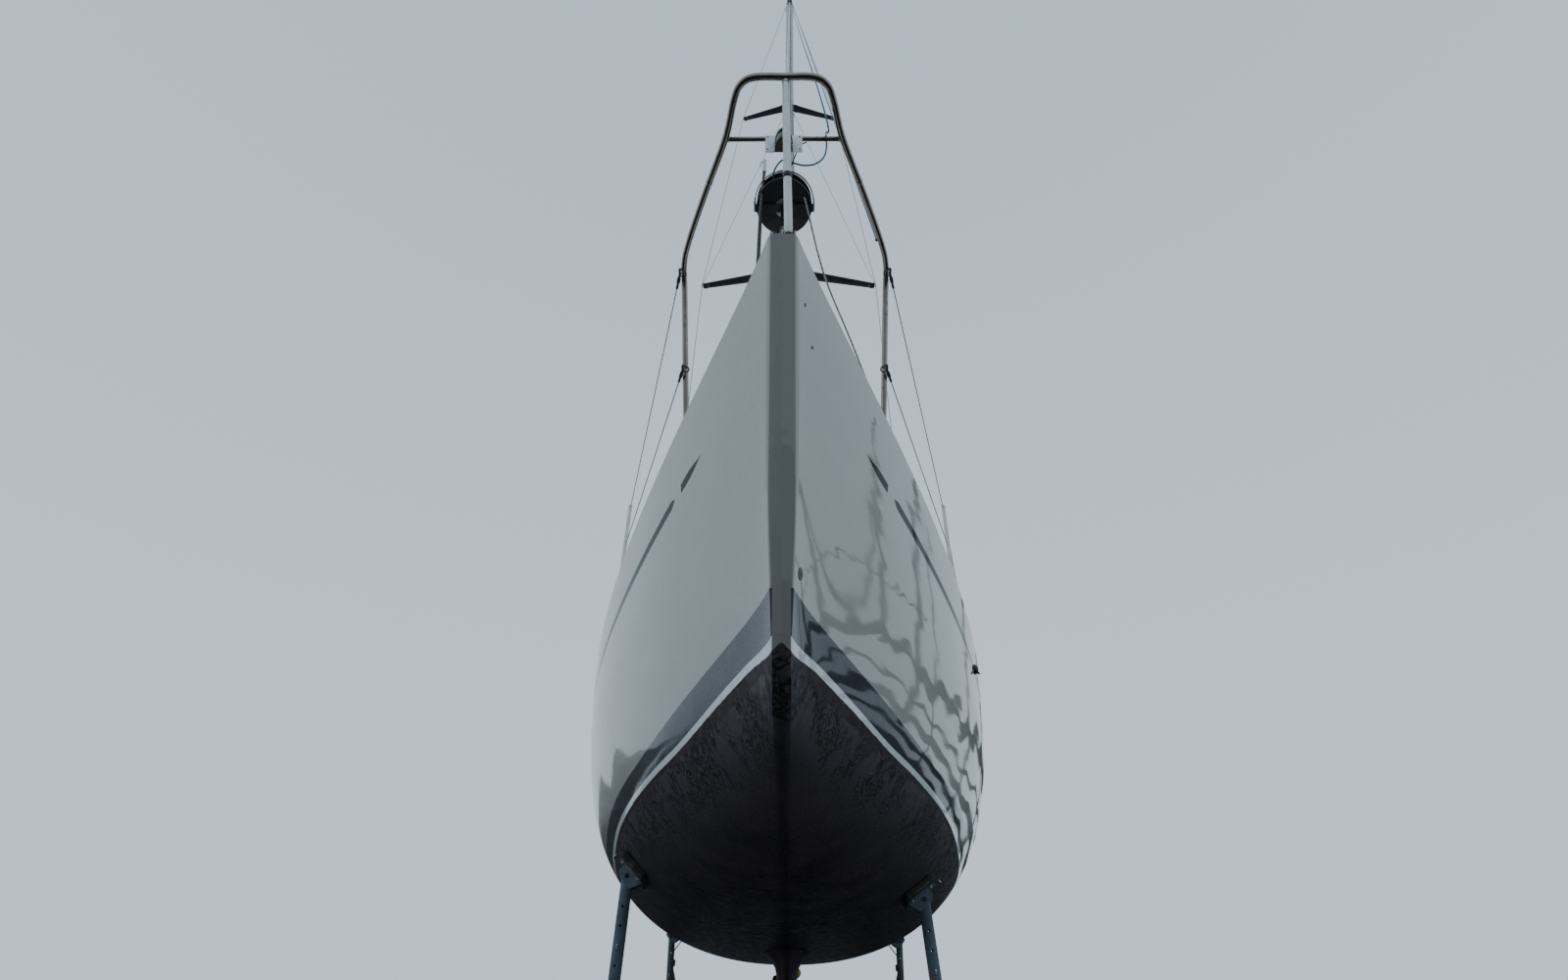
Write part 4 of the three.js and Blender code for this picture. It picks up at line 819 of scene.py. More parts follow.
def bottom_paint(name, settings):
    """The bottom paint, with thin upright runs near the waterline and blotches lower down, and painted
    shade in the runs and along the centre line.
    """
    made = Finish(name, settings.bottom, 0.6, Specular_IOR_Level=0.14)
    up = made.math("SUBTRACT", made.split()[2], WATERLINE)
    wander = made.noise(17, 3, stretch=(1, 1, 0.5), twist=2.4)
    thin = made.band(made.math("ABSOLUTE", made.math("SUBTRACT", wander, 0.5)), 0.012, 0.075, 1.0, 0.0)
    fade = made.math("MULTIPLY", made.band(up, -0.27, -0.12), made.band(made.noise(5, 3), 0.42, 0.5))
    runs = made.math("MULTIPLY", thin, fade)
    # Lighter towards the waterline, in the runs' colour
    lighter_to_waterline = made.band(up, -0.45, 0.0, 0.0, 0.8)
    cloud = made.mix(lighter_to_waterline, made.shade(5, 0.3, settings.bottom, 6), (*settings.runs, 1))
    # Painted shade: a soft dark line down the centre line, where the stem's ridge below the waterline is
    # shaded
    centre_line_painted_shade = made.band(made.math("ABSOLUTE", made.split()[0]), 0.004, 0.036, 0.5, 0.0)
    cloud = made.mix(centre_line_painted_shade, cloud, tinted(settings.bottom, 0.25))
    scuff = made.band(made.noise(3.1, 7), 0.55, 0.72)
    worn = made.mix(made.math("MULTIPLY", scuff, 0.3), cloud, tinted(settings.bottom, 1.7))
    # The runs are real, and painted near-black as painted shadow in their creases
    made.set(Base_Color=made.mix(made.math("MULTIPLY", runs, 0.9), worn, tinted(settings.bottom, 0.2)))
    made.set(Roughness=made.band(made.noise(20, 5), 0.3, 0.7, 0.42, 0.66))
    grain = made.math("ADD", made.math("MULTIPLY", made.noise(130, 4), 0.2),
                      made.math("MULTIPLY", runs, 1.6))
    made.set(Normal=made.bump(grain, 0.003))
    return made.material


def deck_paint(settings):
    """Smooth gelcoat with faint dirt in patches."""
    made = Finish("deck_gelcoat", settings.deck, 0.3)
    grime = made.band(made.noise(2.2, 7), 0.5, 0.78)
    soiled = tinted(settings.deck, 0.78)
    made.set(Base_Color=made.mix(made.math("MULTIPLY", grime, 0.5), made.shade(7, 0.03), soiled))
    made.set(Roughness=made.band(made.noise(12, 5), 0.3, 0.7, 0.2, 0.42))
    made.set(Normal=made.bump(made.noise(3, 2), 0.0012))
    return made.material


def nonslip(settings):
    """Moulded diamond non-slip, a little greyer than the deck."""
    made = Finish("deck_nonslip", settings.nonslip, 0.62)
    diamonds = made.cells(120, stretch=(1, 1, 0.05))
    made.set(Base_Color=made.shade(3, 0.09, settings.nonslip, 6))
    made.set(Roughness=made.band(made.noise(14, 5), 0.3, 0.7, 0.52, 0.75))
    made.set(Normal=made.bump(diamonds, 0.0016))
    return made.material


def worn_steel_paint(name, settings):
    """Blue-grey paint, scratched to rust along streaks and at the knocks."""
    made = Finish(name, settings.paint, 0.55, Specular_IOR_Level=0.4)
    patches = made.band(made.noise(7, 8, stretch=(1, 1, 0.5)), 0.6, 0.68)
    chips = made.band(made.noise(46, 4), 0.66, 0.7)
    rusty = made.math("MULTIPLY", made.math("MAXIMUM", patches, chips), settings.rust)
    rust = made.shade(60, 0.45, settings.rust_colour, 5)
    made.set(Base_Color=made.mix(rusty, made.shade(5, 0.28, settings.paint, 6), rust))
    made.set(Roughness=made.band(made.noise(18, 5), 0.3, 0.7, 0.42, 0.78))
    made.set(Normal=made.bump(made.math("ADD", made.noise(150, 4), made.math("MULTIPLY", rusty, -1.2)),
                              0.0006))
    return made.material


def woven_cloth(name, colour):
    """Upholstery: a fine plain weave with a little pile."""
    made = Finish(name, colour, 0.9, Sheen_Weight=0.35, Sheen_Roughness=0.5)
    warp = made.tree.nodes.new("ShaderNodeTexWave")
    made.put(warp.inputs["Vector"], made.coordinates)
    warp.inputs["Scale"].default_value = 160
    warp.bands_direction = "Y"
    weft = made.tree.nodes.new("ShaderNodeTexWave")
    made.put(weft.inputs["Vector"], made.coordinates)
    weft.inputs["Scale"].default_value = 160
    weft.bands_direction = "X"
    weave = made.math("ADD", warp.outputs["Fac"], weft.outputs["Fac"])
    made.set(Base_Color=made.shade(9, 0.16, colour, 6), Normal=made.bump(weave, 0.0005))
    return made.material


def smoked(name, colour):
    """Smoked acrylic: dark, glossy and a little see-through."""
    made = Finish(name, colour, 0.05, Transmission_Weight=0.35, IOR=1.49)
    made.set(Base_Color=made.shade(4, 0.15), Roughness=made.band(made.noise(30, 5), 0.3, 0.7, 0.03, 0.1))
    return made.material


FINISHES = {}


def load_finishes(scene):
    """Makes every material that the pieces share."""
    hull, rig, cradle = scene.yacht_hull, scene.yacht_rig, scene.yacht_cradle
    FINISHES.update(
        hull=topsides(hull),
        bottom=bottom_paint("keel_paint", hull),
        deck=deck_paint(hull),
        nonslip=nonslip(hull),
        inside=plain("hull_liner", (0.62, 0.61, 0.57), 0.5, cloud=0.06, size=3, grain=0.0004).material,
        steel=polished_tube("polished_steel", rig.steel, 0.13).material,
        leg=plain("satin_tube", rig.leg, 0.3, 0.55, cloud=0.08, size=14, grain=0.00008).material,
        weld=plain("weld_bead", (0.4, 0.38, 0.35), 0.34, 1.0, cloud=0.25, size=80, grain=0.0006).material,
        spar=plain("spar_alloy", rig.spar, 0.34, 0.75, cloud=0.1, size=6, grain=0.00006,
                   grain_size=500).material,
        foil=plain("foil_alloy", rig.foil, 0.3, 0.7, cloud=0.08, size=8, grain=0.00005).material,
        # The spreaders' near-black colour, also used on the masthead plate, is painted shade, as they are
        # seen in shadow from below
        spreader=plain("spreader_painted_shade", (0.035, 0.036, 0.038), 0.36, 0.4, cloud=0.2, size=12).material,
        wire=plain("rigging_wire", (0.3, 0.305, 0.31), 0.34, 1.0, cloud=0.15, size=40, grain=0.0006,
                   grain_size=700).material,
        black=plain("black_moulding", (0.012, 0.012, 0.013), 0.42, cloud=0.25, size=18,
                    grain=0.00015).material,
        rubber=plain("black_rubber", (0.02, 0.019, 0.018), 0.78, cloud=0.2, size=24, grain=0.0004).material,
        olive=plain("lamp_housing", (0.045, 0.04, 0.026), 0.4, cloud=0.3, size=22, grain=0.0002).material,
        white=plain("white_plate", (0.66, 0.67, 0.66), 0.32, cloud=0.06, size=12, grain=0.0001).material,
        enamel=plain("white_enamel", (0.7, 0.7, 0.68), 0.25, cloud=0.05, size=6, grain=0.0001).material,
        red=plain("red_lens", (0.06, 0.018, 0.012), 0.14, cloud=0.2, size=30).material,
        green=plain("green_lens", (0.022, 0.036, 0.014), 0.14, cloud=0.2, size=30).material,
        clear=plain("clear_lens", (0.75, 0.76, 0.75), 0.1, cloud=0.05, size=30,
                    Transmission_Weight=0.6).material,
        bronze=plain("dull_bronze", (0.36, 0.24, 0.11), 0.42, 0.9, cloud=0.3, size=22,
                     grain=0.0003).material,
        zinc=plain("anode_zinc", (0.42, 0.43, 0.44), 0.6, 0.6, cloud=0.3, size=60, grain=0.0012,
                   grain_size=160).material,
        engine=plain("engine_enamel", (0.05, 0.12, 0.1), 0.45, cloud=0.2, size=10, grain=0.0004).material,
        varnish=wood("varnished_ply", (0.27, 0.12, 0.05), 0.22, (1.0, 1.0, 0.1), 34).material,
        teak=wood("bare_teak", (0.36, 0.25, 0.15), 0.6, (1.0, 0.1, 1.0), 50).material,
        timber=wood("rough_timber", (0.3, 0.22, 0.14), 0.8, (0.1, 1.0, 1.0), 26).material,
        board=wood("pad_board", (0.03, 0.026, 0.022), 0.8, (1.0, 0.15, 0.6), 26).material,
        paint=worn_steel_paint("cradle_paint", cradle),
        bolt=plain("zinc_bolt", (0.45, 0.45, 0.44), 0.45, 1.0, cloud=0.25, size=50, grain=0.0004).material,
        cloth=woven_cloth("blue_cloth", (0.035, 0.075, 0.15)),
        piping=plain("seam_piping", (0.02, 0.045, 0.09), 0.85, cloud=0.15, size=60, grain=0.0004).material,
        smoke=smoked("smoked_acrylic", (0.03, 0.035, 0.038)),
        white_rope=spun_rope("white_rope", (0.3, 0.28, 0.21), (0.09, 0.1, 0.12)).material,
        blue_rope=spun_rope("blue_rope", (0.025, 0.1, 0.16), (0.05, 0.16, 0.22)).material,
        dark_rope=spun_rope("dark_rope", (0.035, 0.035, 0.036), (0.2, 0.2, 0.2)).material,
    )


def waterline_row(h, settings):
    """The port half of the hull's outline at one height share, from the stem aft to the transom."""
    half = stem_half(h)
    front = hull_point(0, h)
    crown = 0.005 * (1 - h)
    reach = min(settings.stem_round, 0.72 * half)
    face = [Vector((x, front.y - crown * (1 - (x / half) ** 2), front.z)) for x in (0, 0.25 * half)]
    start = Vector((half - reach, front.y - crown * (1 - ((half - reach) / half) ** 2), front.z))
    first = 0.9 * reach / BOTTOM_LENGTH
    after = hull_point(first, h)
    turn = [(1 - t) ** 2 * start + 2 * t * (1 - t) * front + t * t * after for t in shares(6)]
    last = 1 - settings.transom_round / BOTTOM_LENGTH
    side = [hull_point(first + (last - first) * t, h) for t in shares(110, 1.35)[1:]]
    corner = hull_point(1, h)
    inner = corner.copy()
    inner.x = max(corner.x - settings.transom_round, 0.002)
    quarter = [(1 - t) ** 2 * side[-1] + 2 * t * (1 - t) * corner + t * t * inner for t in shares(5)[1:]]
    return [*face, *turn, *side, *quarter]


def hull_solid(settings):
    shape = Shape()
    rows = []
    for h in reversed(shares(46, 1.75)):
        port = waterline_row(h, settings)
        rows.append([*reversed(flip(port[1:])), *port])
    shape.skin(rows, wrap=False)
    width, last = len(rows[0]), len(rows) - 1
    closing = []
    for row in (0, last):
        base = row * width
        for k in range(width // 2):
            closing.append(list(dict.fromkeys((base + k, base + k + 1, base + width - 2 - k,
                                               base + width - 1 - k))))
    for row in range(last):
        a, b = row * width, (row + 1) * width
        closing.append((a, b, b + width - 1, a + width - 1))
    shape.faces.extend(closing)
    shape.finishes.extend([0] * len(closing))
    return shape


def cabin_tool(floor, front, end):
    """The room inside the hull's skin, from its floor up through the deck."""
    shape = Shape()
    rows = []
    for a in shares(30):
        a = lerp(0.15, 0.995, a)
        port = [hull_point(a, h, SKIN) for h in shares(16, 1.6)]
        port.append(port[-1] + 0.9 * UP)
        rows.append([*port, *reversed(flip(port))])
    shape.skin(rows, finish=1)
    room = shape.tool()
    limits = Shape()
    limits.block(lay(-3, front, floor), lay(3, end, 5), edge=0, finish=1)
    return carve(room, limits.tool(), "INTERSECT")


def foil_row(nose, chord, thick, z, points=22):
    """A symmetrical foil section in the level plane at z."""
    port = []
    for k in range(points + 1):
        t = (1 - math.cos(k / points * math.pi)) / 2
        half = 5 * thick * (0.2969 * math.sqrt(t) - 0.126 * t - 0.3516 * t**2 + 0.2843 * t**3
                            - 0.1036 * t**4)
        port.append(lay(max(half, 0) + 0.0022 * t**6, nose + t * chord, z))
    return [*port, *reversed(flip(port[1:]))]


class YACHT_OT_finishes(bpy.types.Operator):
    """Makes the materials that the pieces share"""

    bl_idname = "yacht.finishes"
    bl_label = "Finishes"

    def execute(self, context):
        load_finishes(context.scene)
        return {"FINISHED"}


class YACHT_OT_hull(bpy.types.Operator):
    """Moulds the hull, opens its cabin and anchor well and fits its outlets"""

    bl_idname = "yacht.hull"
    bl_label = "Hull"

    def execute(self, context):
        settings = context.scene.yacht_hull
        hull = hull_solid(settings).make("hull_shell", ["hull", "inside", "bottom"],
                                         slot="hull_gelcoat", replaces=["hull"], smooth=40)
        split = bmesh.new()
        split.from_mesh(hull.data)
        waterline = Vector((0, 0, WATERLINE - settings.paint_overlap))
        everything = [*split.verts, *split.edges, *split.faces]
        bmesh.ops.bisect_plane(split, geom=everything, dist=1e-5, plane_co=waterline, plane_no=(0, 0, 1))
        for face in split.faces:
            face.material_index = 2 if face.calc_center_median().z < waterline.z else 0
        split.to_mesh(hull.data)
        split.free()
        carve(hull, cabin_tool(WATERLINE - 0.23, 1.9, 10.25))
        well = Shape()
        rows = []
        for z in (sheer_z(0) - 0.5, 4.2):
            rows.append([lay(*p, z) for p in ((-0.07, 0.56), (0.07, 0.56), (0.19, 1.08), (-0.19, 1.08))])
        well.skin(rows, finish=1)
        carve(hull, well.tool())
        hull.data.shade_smooth()
        hull.data.set_sharp_from_angle(angle=math.radians(40))
        for edge in hull.data.edges:
            ends = [hull.data.vertices[k].co for k in edge.vertices]
            if max(p.z for p in ends) < waterline.z + 1e-4 and max(p.y for p in ends) < 0:
                edge.use_edge_sharp = False
        self.outlets()
        return {"FINISHED"}

    def outlets(self):
        """Drain hole, breathers, exhaust and cockpit drains, and the vent on the port bow."""
        drains = Shape()
        for x_side, s, z, size in (
            (1, 0.484, 0.233, 0.019),
            (1, 0.150, 1.146, 0.006),
            (1, 0.249, 1.032, 0.006),
            (1, 8.3, 0.5, 0.016),
            (-1, 7.6, 0.55, 0.016),
            (-1, 8.9, 0.42, 0.02),
        ):
            centre = hull_side(s, WATERLINE + z)
            outward = self.outward(s, WATERLINE + z)
            if x_side < 0:
                centre.x, outward.x = -centre.x, -outward.x
            drains.turned(
                ((size * 1.15, -0.002), (size * 1.12, 0.0012), (size, 0.0018), (size * 0.86, 0.0012)),
                centre, outward, 24,
            )
            drains.turned(((size * 0.84, -0.003), (size * 0.8, 0.0006)), centre, outward, 20, 1)
        drains.make("hull_outlets", ["black", "rubber"], slot="black_fittings")
        vent = Shape()
        place = hull_side(3.036, WATERLINE + 0.96)
        outward = self.outward(3.036, WATERLINE + 0.96)
        shell = ((0.034, -0.002), (0.033, 0.004), (0.028, 0.014), (0.018, 0.022), (0.004, 0.025))
        vent.turned(shell, place, outward, 24)
        vent.rod(place + Vector((0, -0.03, -0.02)), place + outward * 0.026 - 0.03 * UP, 0.007, 10)
        vent.make("bow_vent", ["black"], slot="black_fittings")
        tail = Shape()
        pipe = lay(0.52, 10.66, WATERLINE + 0.42)
        tail.turned(((0.034, -0.04), (0.046, 0.0), (0.047, 0.006), (0.04, 0.012), (0.032, 0.012),
                     (0.031, -0.03)), pipe, (0, 1, -0.4), 28)
        for x in (-0.8, 0.8):
            tail.turned(((0.026, -0.03), (0.027, 0.006), (0.02, 0.01), (0.017, -0.02)),
                        lay(x, 10.6, WATERLINE + 0.52), (0, 1, -0.4), 20)
        tail.make("stern_outlets", ["steel"], slot="stainless")

    @staticmethod
    def outward(s, z):
        across = hull_side(s + 0.02, z) - hull_side(s - 0.02, z)
        upward = hull_side(s, z + 0.02) - hull_side(s, z - 0.02)
        normal = across.cross(upward).normalized()
        return normal if normal.x > 0 else -normal


class YACHT_OT_fins(bpy.types.Operator):
    """Shapes the keel with its shoulders, the rudder and its stock"""

    bl_idname = "yacht.fins"
    bl_label = "Keel and rudder"

    def execute(self, context):
        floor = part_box("keel")[0].z
        keel = Shape()
        levels = (
            (0.0, 5.012, 1.126, 0.132),
            (0.006, 5.003, 1.142, 0.144),
            (0.02, 5.0, 1.15, 0.15),
            (0.12, 4.985, 1.165, 0.148),
            (0.6, 4.886, 1.31, 0.145),
            (1.12, 4.77, 1.48, 0.146),
            (1.2, 4.752, 1.51, 0.156),
            (1.26, 4.735, 1.54, 0.184),
            (1.3, 4.715, 1.575, 0.232),
            (1.325, 4.7, 1.6, 0.29),
            (1.342, 4.69, 1.62, 0.345),
            (1.48, 4.68, 1.63, 0.36),
        )
        keel.skin([foil_row(nose, chord, thick, floor + up) for up, nose, chord, thick in levels])
        keel.make("keel_fin", ["bottom"], slot="bottom_paint", replaces=["keel"], smooth=50)

        rudder = Shape()
        rows = []
        for up, nose, chord, thick in (
            (0.42, 9.578, 0.4, 0.034),
            (0.427, 9.566, 0.42, 0.044),
            (0.44, 9.553, 0.445, 0.05),
            (0.46, 9.54, 0.47, 0.056),
            (1.12, 9.495, 0.555, 0.07),
            (1.5, 9.469, 0.602, 0.0775),
            (1.78, 9.45, 0.64, 0.084),
        ):
            rows.append([self.under_hull(p) for p in foil_row(nose, chord, thick, floor + up)])
        rudder.skin(rows)
        stock = lay(0, 9.64, 0)
        rudder.rod(stock + 1.5 * UP, stock + 2.2 * UP, 0.028, 28, 1, edge=0.05)
        rudder.make("rudder_blade", ["bottom", "steel"], "rudder_body", "bottom_paint",
                    ["rudder"], 50)
        return {"FINISHED"}

    @staticmethod
    def under_hull(point):
        """Keeps a point of the rudder's head the stated gap under the hull."""
        share = (point.y + BOW - STEM_FOOT) / BOTTOM_LENGTH
        return Vector((point.x, point.y, min(point.z, centre_z(share) - 0.028)))


class YACHT_OT_drive(bpy.types.Operator):
    """Makes the propeller, its shaft, strut and anode, and the engine"""

    bl_idname = "yacht.drive"
    bl_label = "Propeller and engine"

    def execute(self, context):
        slope = math.atan(0.249)
        aim = Vector((0, math.cos(slope), -math.sin(slope)))
        head = lay(0, 8.25, WATERLINE - 0.287)
        hub = head + aim * (0.95 / math.cos(slope))
        screw = Shape()
        screw.turned(
            ((0.025, -0.042), (0.033, -0.034), (0.034, 0.0), (0.031, 0.03), (0.024, 0.05), (0.023, 0.056)),
            hub, aim, 32,
        )
        screw.turned(((0.018, 0.056), (0.021, 0.06), (0.019, 0.074), (0.01, 0.084), (0.003, 0.087)), hub,
                     aim, 20, 1)
        first = aim.orthogonal().normalized()
        for blade in range(3):
            turn = Matrix.Rotation(blade / 3 * 2 * math.pi, 3, aim)
            out = turn @ first
            across = aim.cross(out)
            rows = []
            for r, half, pitch, rake in (
                (0.022, 0.018, 0.95, 0.0),
                (0.05, 0.03, 0.82, 0.0),
                (0.085, 0.048, 0.7, 0.003),
                (0.12, 0.058, 0.6, 0.006),
                (0.155, 0.057, 0.5, 0.009),
                (0.182, 0.044, 0.42, 0.011),
                (0.196, 0.026, 0.38, 0.012),
                (0.2, 0.01, 0.37, 0.012),
            ):
                thick = lerp(0.007, 0.0012, r / 0.2)
                chord = across * math.cos(pitch) + aim * math.sin(pitch)
                normal = chord.cross(out)
                centre = hub + out * r + aim * rake
                row = []
                for k in range(20):
                    t = k / 20 * 2 * math.pi
                    lens = max(1 - abs(math.cos(t)) ** 2.2, 0.05) * thick
                    row.append(centre + chord * math.cos(t) * half
                               + normal * math.copysign(lens, math.sin(t)))
                rows.append(row)
            screw.skin(rows)
        screw.make("propeller_screw", ["bronze", "zinc"], "propeller_body", "bronze",
                   ["propeller"], 45)
        shaft = Shape()
        shaft.rod(head, head + aim * (1.04 / math.cos(slope)), 0.014, 28)
        collar = head + aim * 0.62
        shaft.turned(((0.016, -0.03), (0.027, -0.018), (0.029, 0), (0.027, 0.018), (0.016, 0.03)), collar,
                     aim, 28, 1)
        shaft.make("propeller_shaft", ["steel", "zinc"], "propeller_body", "stainless",
                   ["prop_shaft"])

        strut = Shape()
        bearing = head + aim * (0.78 / math.cos(slope))
        strut.turned(((0.0185, -0.056), (0.026, -0.055), (0.028, -0.04), (0.028, 0.04), (0.026, 0.055),
                      (0.0185, 0.056)), bearing, aim, 32)
        strut.turned(((0.0156, -0.05), (0.0178, -0.05), (0.0178, 0.05), (0.0156, 0.05)), bearing, aim, 32,
                     1)
        leg = [foil_row(8.98, 0.1, 0.02, z, 10) for z in (bearing.z + 0.018, 1.62, 1.67)]
        leg.append(foil_row(8.95, 0.16, 0.05, 1.69, 10))
        strut.skin(leg)
        strut.make("shaft_strut", ["bronze", "rubber"], slot="bronze", replaces=["prop_strut"])
        self.engine()
        return {"FINISHED"}

    def engine(self):
        low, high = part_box("engine")
        block = Shape()
        block.block(low + Vector((0.06, 0.02, 0.1)), high - Vector((0.06, 0.1, 0.12)), 0.03)
        block.block((low.x + 0.1, low.y + 0.05, low.z), (high.x - 0.1, high.y - 0.2, low.z + 0.14), 0.02)
        block.block((low.x + 0.1, low.y + 0.1, high.z - 0.14), (high.x - 0.1, high.y - 0.2, high.z), 0.025)
        for x in (low.x, high.x - 0.09):
            block.block((x, low.y + 0.06, low.z), (x + 0.09, high.y - 0.1, low.z + 0.06), 0.008)
        for k in range(3):
            y = low.y + 0.14 + 0.13 * k
            block.rod((low.x + 0.03, y, high.z - 0.2), (low.x + 0.12, y, high.z - 0.2), 0.024, 16, 1)
        block.turned(((0.02, 0), (0.11, 0.004), (0.12, 0.02), (0.11, 0.036), (0.02, 0.04)),
                     (0, low.y, low.z + 0.28), (0, 1, 0), 32, 1)
        block.make("engine_block", ["engine", "rubber"], slot="engine_paint", replaces=["engine"])


COAMING = ((7.29, 1.11, 1.02, 0.07), (8.85, 1.07, 0.99, 0.0), (10.04, 0.99, 0.9, -0.12))
COAMING_TOP = sheer_z(8.6 / DECK_LENGTH) + 0.23
BENCH = sheer_z(8.1 / DECK_LENGTH) - 0.06
SOLE = WATERLINE + 0.43
SLIDE = roof_z(5.98) + 0.036
SILL = sheer_z(7.42 / DECK_LENGTH) - 0.01
FORE_TOP = deck_z(2.565) + 0.04
SALOON_TOP = roof_z(5.62) + 0.088
MAST_SEAT = roof_z(4.13) + 0.06
WINCH_X, WINCH_S = 1.01, 8.5
PLATE_X, PLATE_S = 1.15, 4.62  # where the shrouds' chainplates come through the deck
TRAVELLER_S = 6.35


def mirrored(half):
    """A closed section from its port half, which runs from the foot to the middle."""
    return [*half, *[Vector((-p.x, p.y, p.z)) for p in reversed(half) if p.x > 1e-6]]


def roof_form(inset=0.0, drop=0.0):
    """The coachroof's outside with soft shoulders, or its surface moved inwards."""
    shape = Shape()
    rows = []
    for s in (lerp(ROOF_START, ROOF_END, t) for t in shares(44)):
        base, top, rise = (along(ROOF, column, s) for column in (1, 2, 3))
        edge = deck_z(s, 1.0)
        up = edge + max(rise - inset, 0.004)
        y = s + (inset if s == ROOF_START else -inset if s == ROOF_END else 0)
        low = sheer_z(s / DECK_LENGTH) - drop
        corners = ((base, low), (base, edge), (top + 0.026, up - 0.034), (top, up - 0.006),
                   (top * 0.55, up + 0.02))
        half = rounded([lay(x - (inset if x > top * 0.6 else 0), y, z) for x, z in corners]
                       + [lay(0, y, up + 0.03)], 0.045, 3)
        rows.append(mirrored(half))
    shape.skin(rows)
    return shape


def roof_side(s, z):
    """How far out the coachroof's side stands at s and at height z."""
    share = (z - deck_z(s, 1.0)) / (along(ROOF, 3, s) - 0.034)
    return lerp(along(ROOF, 1, s), along(ROOF, 2, s) + 0.026, clamp(share))


def coaming_form():
    shape = Shape()
    rows = []
    for s in (lerp(7.29, 10.04, t) for t in shares(24)):
        base, top, rise = (along(COAMING, column, s) for column in (1, 2, 3))
        z = COAMING_TOP + rise
        corners = ((base, sheer_z(s / DECK_LENGTH) + 0.005), (top + 0.04, z - 0.025), (top, z),
                   (top * 0.5, z))
        half = rounded([lay(x, s, up) for x, up in corners] + [lay(0, s, z)], 0.05, 4)
        rows.append(mirrored(half))
    shape.skin(rows)
    return shape


def room_blocks(grow, edge):
    """The cockpit's seats, footwell and helm well as boxes, one for each."""
    top = sheer_z(ROOF_END / DECK_LENGTH) + 0.01 if grow else 5
    for half, front, end, low in ((0.9, ROOF_END, 8.85, BENCH), (0.33, 7.75, 9.98, SOLE),
                                  (0.7, 8.85, 9.98, SOLE)):
        shape = Shape()
        shape.block(lay(-half - grow, front - grow, low - grow), lay(half + grow, end + grow, top), edge)
        yield shape


def slab_of(outline, low, high, edge):
    """A level plate of an outline (x, s) between two heights."""
    shape = Shape()
    shape.plate(outline, lay, low, high, edge)
    return shape


def anchor_outline(grow):
    """The outline (x, s) of the anchor well, which widens aft."""
    front, back = (0.08 + grow, 0.6 - grow), (0.18 + grow, 1.05 + grow)
    return smooth_outline([(-front[0], front[1]), front, back, (-back[0], back[1])], 0.03)


def window_outline(edge):
    """The outline (s, z) of a coachroof window, grown by edge."""
    low = lambda s: deck_z(s, 1.0) + 0.105 - edge
    high = lambda s: min(deck_z(s, 1.0) + 0.255, roof_z(s) - 0.055) + edge
    corners = [(4.35 - edge, low(4.35) + 0.01), *[(s, low(s)) for s in (4.6, 5.0, 5.4, 5.8, 6.2, 6.5)],
               (6.76 + edge, low(6.76)), (6.85 + edge, high(6.85) - 0.03), (6.805, high(6.805)),
               *[(s, high(s)) for s in (6.6, 6.2, 5.8, 5.4, 5.1, 4.9, 4.7)], (4.44, high(4.44) - 0.012)]
    line = rounded([(*c, 0) for c in corners], 0.035, 4, closed=True)
    dense = []
    for a, b in zip(line, [*line[1:], line[0]]):
        count = max(1, round((b - a).length / 0.07))
        dense += [a.lerp(b, k / count) for k in range(count)]
    return [(p.x, p.y) for p in dense]


def panel(shape, s0, s1, inner, outer, height, radius=0.05, finish=0):
    """A raised non-slip panel with round corners, draped over height(s, x)."""
    rows = []
    count = max(8, int((s1 - s0) / 0.09))
    ends = [0.0, 0.12, 0.35, 0.65]
    stations = [s0 + radius * e for e in ends] + [lerp(s0 + radius, s1 - radius, t) for t in shares(count)]
    stations += [s1 - radius * e for e in reversed(ends)]
    for s in stations:
        short = max(radius - min(s - s0, s1 - s), 0)
        pull = radius - math.sqrt(max(radius**2 - short**2, 0))
        a, b = inner(s) + pull, outer(s) - pull
        across = [lerp(a, b, t) for t in (0, 0.006, *[k / 8 for k in range(1, 8)], 0.994, 1)]
        row = [lay(x, s, height(s, x) + (-0.0005 if x in (a, b) else 0.0016)) for x in across]
        row += [lay(x, s, height(s, x) - 0.004) for x in (b, a)]
        rows.append(row)
    shape.skin(rows, finish)


